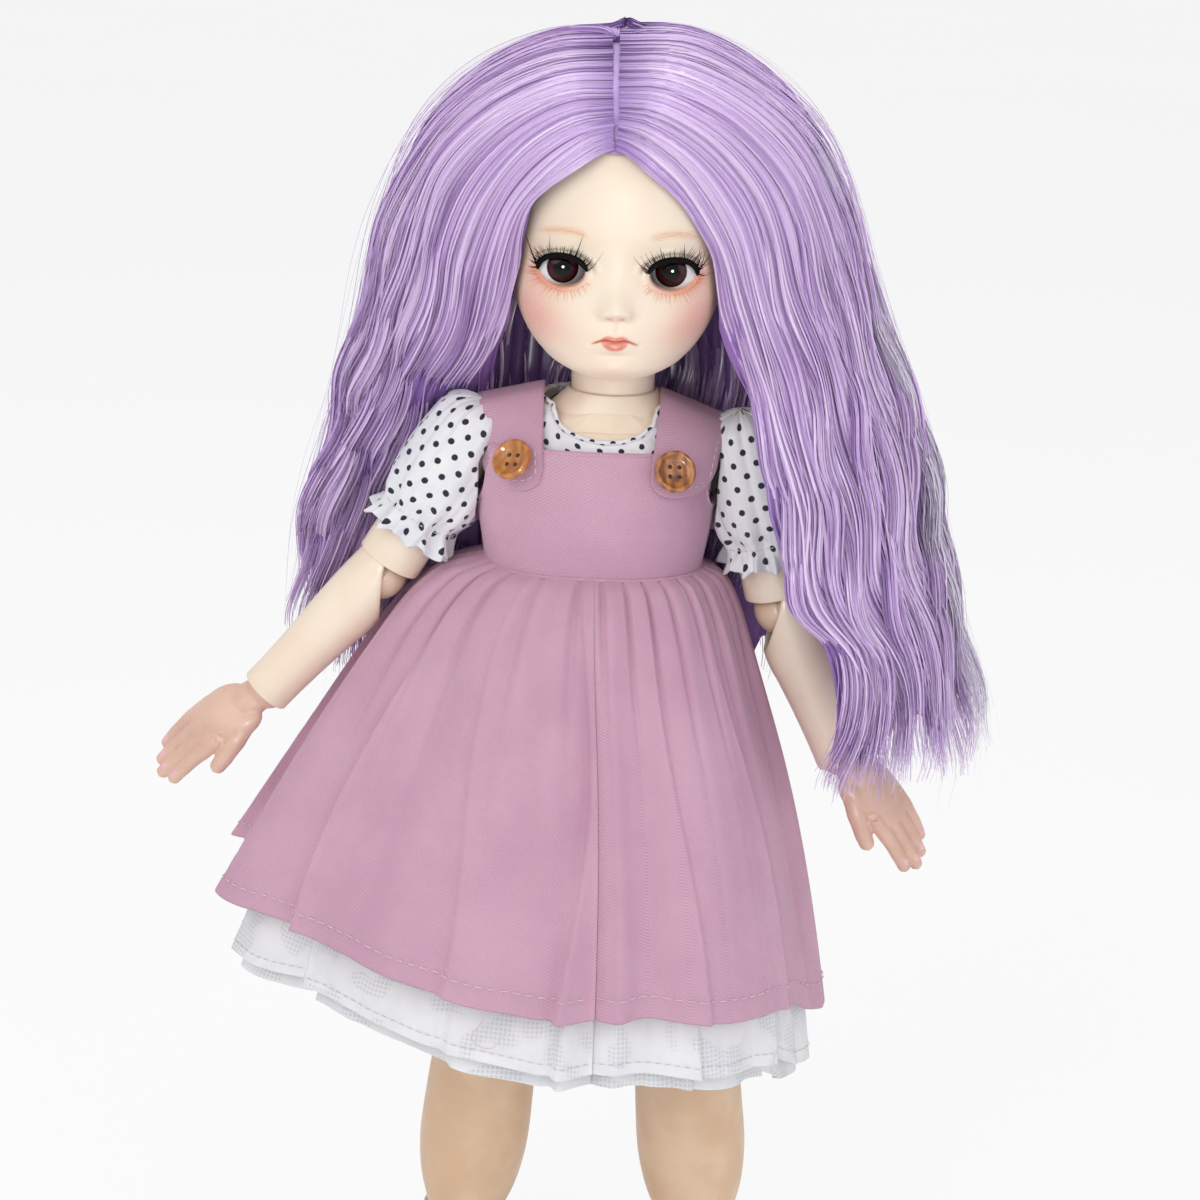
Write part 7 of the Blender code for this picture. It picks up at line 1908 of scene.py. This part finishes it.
def strands(key, count, seed, clumps, thin=0.33):
    """Ribbons that follow the guides in waving locks, with their own tint and length."""
    rng = np.random.default_rng(seed % 10)
    guides = GUIDES[key]
    last = len(guides) - 1
    lock_at = (np.arange(clumps) + rng.uniform(0.2, 0.8, clumps)) / clumps * last
    lock_phase = rng.uniform(-0.7, 0.7, clumps) + 1.6 * np.sin(lock_at * 1.3 + seed % 10)
    lock_size = rng.uniform(0.75, 1.15, clumps)
    lock_tint = rng.uniform(-0.15, 0.15, clumps)
    lock_wave = rng.uniform(0.95, 1.08, clumps)
    rng = np.random.default_rng(seed)
    g = np.sort(rng.uniform(0, last, count))
    lock = np.abs(g[:, None] - lock_at[None, :]).argmin(1)
    own = guide_at(guides, g)
    shared = guide_at(guides, lock_at)[lock]
    t = np.linspace(0, 1, GUIDE_STEPS)
    pull = (0.08 + 0.42 * step01(t, 0.18, 0.85))[None, :, None]
    points = own * (1 - pull) + shared * pull
    out = outward(points)
    inward = rng.beta(1.3, 1.6, count)[:, None] * (0.5 + 3.6 * step01(t, 0.1, 0.5))[None, :]
    points = points - out * inward[..., None]
    along = unit(np.gradient(points, axis=1))
    side = unit(np.cross(along, out))
    run = np.linspace(0, 1, GUIDE_STEPS) * np.linalg.norm(np.diff(own, axis=1), axis=2).sum(1)[:, None]
    grow = step01(run, 30, 120)
    beat = 2 * pi * run / (40.0 * lock_wave[lock][:, None]) + lock_phase[lock][:, None]
    size = lock_size[lock][:, None]
    points = points + side * ((0.2 + 2.6 * grow) * size * np.sin(beat))[..., None]
    points = points + out * ((0.1 + 1.4 * grow) * size * np.sin(beat + 1.4))[..., None]
    jitter = rng.normal(0, 1, (count, 2))
    spread = 0.3 + 0.75 * grow
    points = points + side * (jitter[:, :1] * spread)[..., None] * 0.8
    points = points + out * (jitter[:, 1:] * spread)[..., None] * 0.5
    frizz = rng.normal(0, 1, (count, 3))
    wild = (rng.uniform(0, 1, count) > 0.975)[:, None] * step01(t, 0.25, 1.0)[None, :] * 3.0
    points = points + wild[..., None] * unit(frizz)[:, None, :]
    length = rng.uniform(0.86, 1.0, count) * (1 - 0.06 * rng.uniform(0, 1, clumps)[lock])
    return clear_of_body(cut_to(points, length)), g / last, lock_tint[lock], rng, thin


def cut_to(points, length, steps=52):
    """Shortens each strand to its own share of the guide and takes fewer points along it."""
    count, have, _ = points.shape
    want = np.linspace(0, 1, steps)[None, :] * length[:, None] * (have - 1)
    k = np.clip(want.astype(int), 0, have - 2)
    t = (want - k)[..., None]
    rows = np.arange(count)[:, None]
    return points[rows, k] * (1 - t) + points[rows, k + 1] * t


def clear_of_body(points):
    """Keeps strands off the wig's cap, the neck and the shoulders."""
    x, y, z = points[..., 0], points[..., 1], points[..., 2]
    high = step01(z, 240, 250)
    wide, deep = 27.5, 29.0
    r = np.sqrt((x / wide) ** 2 + ((y - 2) / deep) ** 2 + (np.clip(z - 268, 0, None) / 35.0) ** 2)
    push = np.clip(1 - r, 0, None) * high
    points[..., 0] += push * x * 0.9
    points[..., 1] += push * (y - 2) * 0.9
    low = step01(z, 214, 220) * (1 - high)
    r = np.sqrt((x / 15.0) ** 2 + ((y - 3) / 15.0) ** 2)
    push = np.clip(1 - r, 0, None) * low
    points[..., 0] += push * x
    points[..., 1] += push * (y - 3)
    return points


def ribbons(points, tint, rng, thin):
    """Turns strand points into arched ribbons three points across."""
    count, steps, _ = points.shape
    along = unit(np.gradient(points, axis=1))
    out = outward(points)
    out = unit(out - along * (out * along).sum(-1, keepdims=True))
    roll = rng.normal(0, 0.5, count)[:, None, None]
    side = np.cross(along, out)
    side, out = side * np.cos(roll) + out * np.sin(roll), out * np.cos(roll) - side * np.sin(roll)
    t = np.linspace(0, 1, steps)
    width = thin * rng.uniform(0.7, 1.3, count)[:, None] * (1 - 0.75 * step01(t, 0.75, 1.0))[None, :]
    mesh = np.stack(
        [
            points - side * width[..., None], points + out * width[..., None] * 0.45,
            points + side * width[..., None]
        ], 2
    )
    i = np.arange(count)[:, None, None]
    j = np.arange(steps - 1)[None, :, None]
    k = np.arange(2)[None, None, :]
    base = (i * steps + j) * 3 + k
    faces = np.stack([base, base + 1, base + 4, base + 3], -1).reshape(-1, 4)
    u = np.broadcast_to(
        np.arange(3)[None, None, :] * 0.3 + rng.uniform(0, 300, count)[:, None, None], (count, steps, 3)
    )
    v = np.broadcast_to(t[None, :, None] * 170, (count, steps, 3))
    uv = np.stack([u, v], -1).reshape(-1, 2)
    patch = Patch(mesh.reshape(-1, 3), faces, uv[faces])
    patch.marks["tint"] = np.repeat(tint, steps * 3)
    patch.marks["along"] = np.tile(np.repeat(t, 3), count)
    return patch


def under_sheet(key, depth, low=0.0, high=None, stop=0.93):
    """A dark layer just under the strands: painted shade that shows in the gaps between them."""
    guides = GUIDES[key]
    high = len(guides) - 1 if high is None else high
    rows = guide_at(guides, np.linspace(low, high - 0.0001, 70))
    rows = rows[:, : int(GUIDE_STEPS * stop)]
    t = np.linspace(0, 1, rows.shape[1])
    rows = rows - outward(rows) * (1.0 + depth * step01(t, 0.05, 0.4))[None, :, None]
    g = np.arange(70)[:, None]
    rows = rows + outward(rows) * (0.8 * np.sin(g * 1.9) * step01(t, 0.2, 0.6)[None, :])[..., None]
    ends = 1 - 0.05 * np.abs(np.sin(np.arange(70) * 1.7))
    rows = cut_to(rows, ends, 40)
    u, v = np.meshgrid(np.linspace(0, 170, 40), np.linspace(0, 60, 70))
    patch = grid(clear_of_body(rows), np.stack([v, u], -1), wrap=False)
    patch.marks["tint"] = np.full(len(patch.points), 0.3)
    patch.marks["along"] = np.tile(np.linspace(0.03, 1, 40), 70)
    return patch


def hair_piece(name, patch, material, replaced=()):
    obj = make(name, patch, material)
    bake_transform(obj)
    if replaced:
        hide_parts(*replaced)
    return obj


# Strands of the second layer that lies over each side
MORE_STRANDS = 1100


def hair():
    plans = (
        ("left", 1850, 21, 22, ("hair_left", "wig_crown")),
        ("right", 1850, 22, 20, ("hair_right",)),
        ("back", 1900, 23, 24, ("hair_back",)),
    )
    for key, count, seed, clumps, nodes in plans:
        points, _, lock_tint, rng, thin = strands(key, count, seed, clumps)
        tint = np.clip(rng.normal(0.55, 0.15, count) + lock_tint, 0, 1)
        hair_piece("hair_strands_" + key, ribbons(points, tint, rng, thin), HAIR, nodes)
        if key != "back":
            points, _, lock_tint, rng, thin = strands(key, MORE_STRANDS, seed + 10, clumps)
            tint = np.clip(rng.normal(0.6, 0.17, MORE_STRANDS) + lock_tint, 0, 1)
            hair_piece("hair_more_" + key, ribbons(points, tint, rng, thin), HAIR)
        # The dark sheet under each side's strands is painted shade.
        hair_piece("hair_under_" + key, under_sheet(key, 2.6), HAIR_SHADE_SHEET)
    parting()
    flyaways()


def parting():
    """The closed line between the two sides, from the brow to the crown."""
    left, right = (GUIDES[key][:, 2] for key in ("left", "right"))
    k = np.linspace(0, len(left) - 2.6, 60)
    rows = []
    for t in np.linspace(-0.6, 1.6, 23):
        edge = np.stack(
            [np.interp(k, np.arange(len(left)), (right * (1 - t) + left * t)[:, a]) for a in range(3)], 1
        )
        rows.append(edge - outward(edge) * (1.0 + 0.5 * (2 * t - 1) ** 2))
    u, v = np.meshgrid(np.linspace(0, 60, 60), np.linspace(0, 6, 23))
    patch = grid(np.array(rows), np.stack([v, u], -1), wrap=False)
    # Painted shade along the parting: the strip's middle gets a deeper tint and the darkened root colour.
    middle = np.abs(np.linspace(-0.6, 1.6, 23) - 0.5)
    patch.marks["tint"] = np.repeat(0.35 + 0.25 * middle, 60)
    patch.marks["along"] = np.repeat(np.clip(0.02 + 0.07 * middle, 0, 1), 60)
    hair_piece("hair_parting", patch, HAIR)
    crown()


# Half width and depth of the crown's fan, and its height to the side and to the back
CROWN_ROWS = (
    (6, 8, 307.6, 308.6), (16, 18, 307.0, 306.0), (27, 25, 303.2, 297.0), (37, 29, 296.5, 284.0),
    (43, 31, 285.0, 270.0), (45, 32, 268.0, 255.0),
)


def crown():
    """Strands that fan out over the top from the end of the parting."""
    start = from_photo(617, 38, 3.0)
    fan = []
    for turn in (-72, -50, -25, 0, 25, 50, 72):
        wide, deep = sin(radians(turn)), cos(radians(turn))
        out = [tuple(start)]
        for across, back, z_side, z_back in CROWN_ROWS:
            out.append((across * wide, 4 + back * deep, z_side * wide**2 + z_back * deep**2))
        fan.append(spline_path(out, GUIDE_STEPS))
    count = 560
    rng = np.random.default_rng(41)
    own = guide_at(np.array(fan), rng.uniform(0, 6, count))
    out = outward(own)
    t = np.linspace(0, 1, GUIDE_STEPS)
    own = own + out * (
        rng.uniform(-0.9, 0.1, count)[:, None] - 1.4 * step01(t, 0.55, 1.0)[None, :]
    )[..., None]
    own = cut_to(own, rng.uniform(0.55, 1.0, count), 30)
    tint = np.clip(rng.normal(0.45, 0.2, count), 0, 1)
    hair_piece("hair_crown", ribbons(own, tint, rng, 0.36), HAIR)


def flyaways():
    """Loose single strands that stand off the outline, paler against the light."""
    rng = np.random.default_rng(31)
    parts = []
    for key, low, high, count in (("left", 2.5, 6.5, 70), ("right", 2.5, 6.5, 50)):
        own = guide_at(GUIDES[key], rng.uniform(low, high, count))
        t = np.linspace(0, 1, GUIDE_STEPS)
        out = outward(own)
        rise = rng.uniform(0.5, 3.5, count)[:, None] * np.sin(
            t * pi * rng.uniform(0.7, 2.2, count)[:, None]
        ) ** 2
        drift = unit(
            rng.normal(0, 1, (count, 3))
        )[:, None, :] * (t**1.5 * 6)[None, :, None] * rng.uniform(0.2, 1, count)[:, None, None]
        parts.append(cut_to(own + out * rise[..., None] + drift, rng.uniform(0.7, 1.05, count).clip(0, 1)))
    points = np.concatenate(parts)
    tint = rng.uniform(0.4, 1.0, len(points))
    hair_piece("hair_flyaways", ribbons(points, tint, rng, 0.13), HAIR)
    count = 420
    own = guide_at(GUIDES["left"], rng.uniform(4.2, 6.9, count))
    t = np.linspace(0, 1, GUIDE_STEPS)
    out = outward(own)
    run = t[None, :] * 190
    beat = 2 * pi * run / 24 + rng.uniform(-0.9, 0.9, count)[:, None]
    lift = rng.uniform(0.2, 2.6, count)[:, None] * step01(t, 0.3, 0.7)[None, :]
    own = own + out * (lift + 0.9 * np.sin(beat) * step01(t, 0.3, 0.6))[..., None]
    pale = cut_to(own[:, 20:], rng.uniform(0.75, 1.0, count))
    # Painted light: the pale wisps are lighter where light shows through them.
    hair_piece("hair_wisps", ribbons(pale, rng.uniform(0.2, 1.0, count), rng, 0.24), HAIR_PALE)


# The pieces


def limbs():
    for side in SIDES:
        upper_arm(side)
        elbow(side)
        forearm(side)
        hand(side)
        thigh(side)
        knee(side)
        calf(side)
        boot(side)


def cad_finishes():
    """The hidden pieces that keep the CAD's own shape."""
    kinds = {
        "torso": "skin", "pelvis": "skin", "neck": "skin", "waist_ball": "joint",
        "shoulder_peg": "joint", "hip_peg": "joint", "wrist_peg": "joint", "ankle_peg": "joint",
        "foot": "leg",
    }
    for name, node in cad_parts.items():
        for start, kind in kinds.items():
            if name == start or name in (start + "_left", start + "_right"):
                node.data.materials.clear()
                node.data.materials.append(SKINS[kind])


limbs()
dress()
head()
hair()
cad_finishes()

# Floor, light and camera


def floor_finish():
    """Pale painted board that stays nearly white to the camera."""
    f = Finish("pale_board")
    at = f.add("TexCoord").outputs["Object"]
    cloud = f.noise(at, 3.0, 4.0)
    f.to("Base Color", f.ramp(cloud, [(0.3, linear(247, 247, 248)), (0.7, linear(252, 252, 252))]))
    f.to("Roughness", f.range(cloud, 0.3, 0.7, 0.8, 0.95))
    f.bump(f.noise(at, 120.0, 3.0), 0.05, 0.2)
    glow = f.add("Emission", {"Strength": 1.0})
    seen = f.add("LightPath").outputs["Is Camera Ray"]
    mix = f.add("MixShader", {0: f.math("MULTIPLY", seen, 0.8)})
    out = f.tree.nodes["Material Output"]
    f.tree.links.new(f.shader.outputs[0], mix.inputs[1])
    f.tree.links.new(glow.outputs[0], mix.inputs[2])
    f.tree.links.new(mix.outputs[0], out.inputs["Surface"])
    return f.material


# How far the floor reaches to every side, in millimetres
FLOOR_REACH = 8000.0


def stage():
    """A wide flat floor, so that every side of the doll can be looked at."""
    z = -(0.02 + ORIGIN[2] / MM)
    places = np.linspace(-FLOOR_REACH, FLOOR_REACH, 9)
    points = np.array([[(x, y, z) for x in places] for y in places])
    floor = make("floor", grid(points, np.zeros((9, 9, 2)), wrap=False), floor_finish())


def area_light(name, at, toward, size, power, tint=(1, 1, 1)):
    light = bpy.data.lights.new(name, "AREA")
    light.shape = "DISK"
    light.size = size
    light.energy = power
    light.color = tint
    obj = bpy.data.objects.new(name, light)
    bpy.context.scene.collection.objects.link(obj)
    obj.location = at
    obj.rotation_euler = (Vector(toward) - Vector(at)).to_track_quat("-Z", "Y").to_euler()
    return obj


def world_light():
    """White where the camera looks, and a plain soft light on everything else."""
    world = bpy.data.worlds.new("studio")
    bpy.context.scene.world = world
    world.use_nodes = True
    nodes, links = world.node_tree.nodes, world.node_tree.links
    nodes.clear()
    out = nodes.new("ShaderNodeOutputWorld")
    mix = nodes.new("ShaderNodeMixShader")
    soft = nodes.new("ShaderNodeBackground")
    soft.inputs["Color"].default_value = (0.98, 0.985, 1.0, 1)
    soft.inputs["Strength"].default_value = 0.56
    plain = nodes.new("ShaderNodeBackground")
    plain.inputs["Color"].default_value = (1, 1, 1, 1)
    plain.inputs["Strength"].default_value = 1.0
    ray = nodes.new("ShaderNodeLightPath")
    links.new(ray.outputs["Is Camera Ray"], mix.inputs[0])
    links.new(soft.outputs[0], mix.inputs[1])
    links.new(plain.outputs[0], mix.inputs[2])
    links.new(mix.outputs[0], out.inputs[0])


def camera():
    data = bpy.data.cameras.new("photo_camera")
    data.sensor_fit = "AUTO"
    data.sensor_width = 36
    data.lens = 36 * CAMERA_ZOOM / 1200
    data.clip_start = 0.01
    data.clip_end = 20
    obj = bpy.data.objects.new("photo_camera", data)
    bpy.context.scene.collection.objects.link(obj)
    rotation = Matrix.Rotation(
        radians(90 - CAMERA_PITCH), 4, "X"
    ) @ Matrix.Rotation(radians(CAMERA_ROLL), 4, "Z")
    obj.matrix_world = Matrix.Translation(Vector(CAMERA_AT * MM + ORIGIN)) @ rotation
    bpy.context.scene.camera = obj


stage()
world_light()
area_light("key", (-0.60, -0.95, 0.90), (0, 0, 0.2), 1.1, 5.4, (1.0, 0.985, 0.96))
area_light("fill", (0.9, -0.8, 0.5), (0, 0, 0.2), 1.1, 2.9, (0.98, 0.99, 1.0))
area_light("top", (0.0, 0.2, 1.2), (0, 0, 0.2), 0.7, 3.2)
catch = area_light("catch", (0.015, -0.95, 0.255), (0, 0, 0.276), 0.15, 4.0)
catch.visible_diffuse = False
camera()

scene = bpy.context.scene
scene.view_settings.view_transform = "Standard"
scene.view_settings.look = "None"
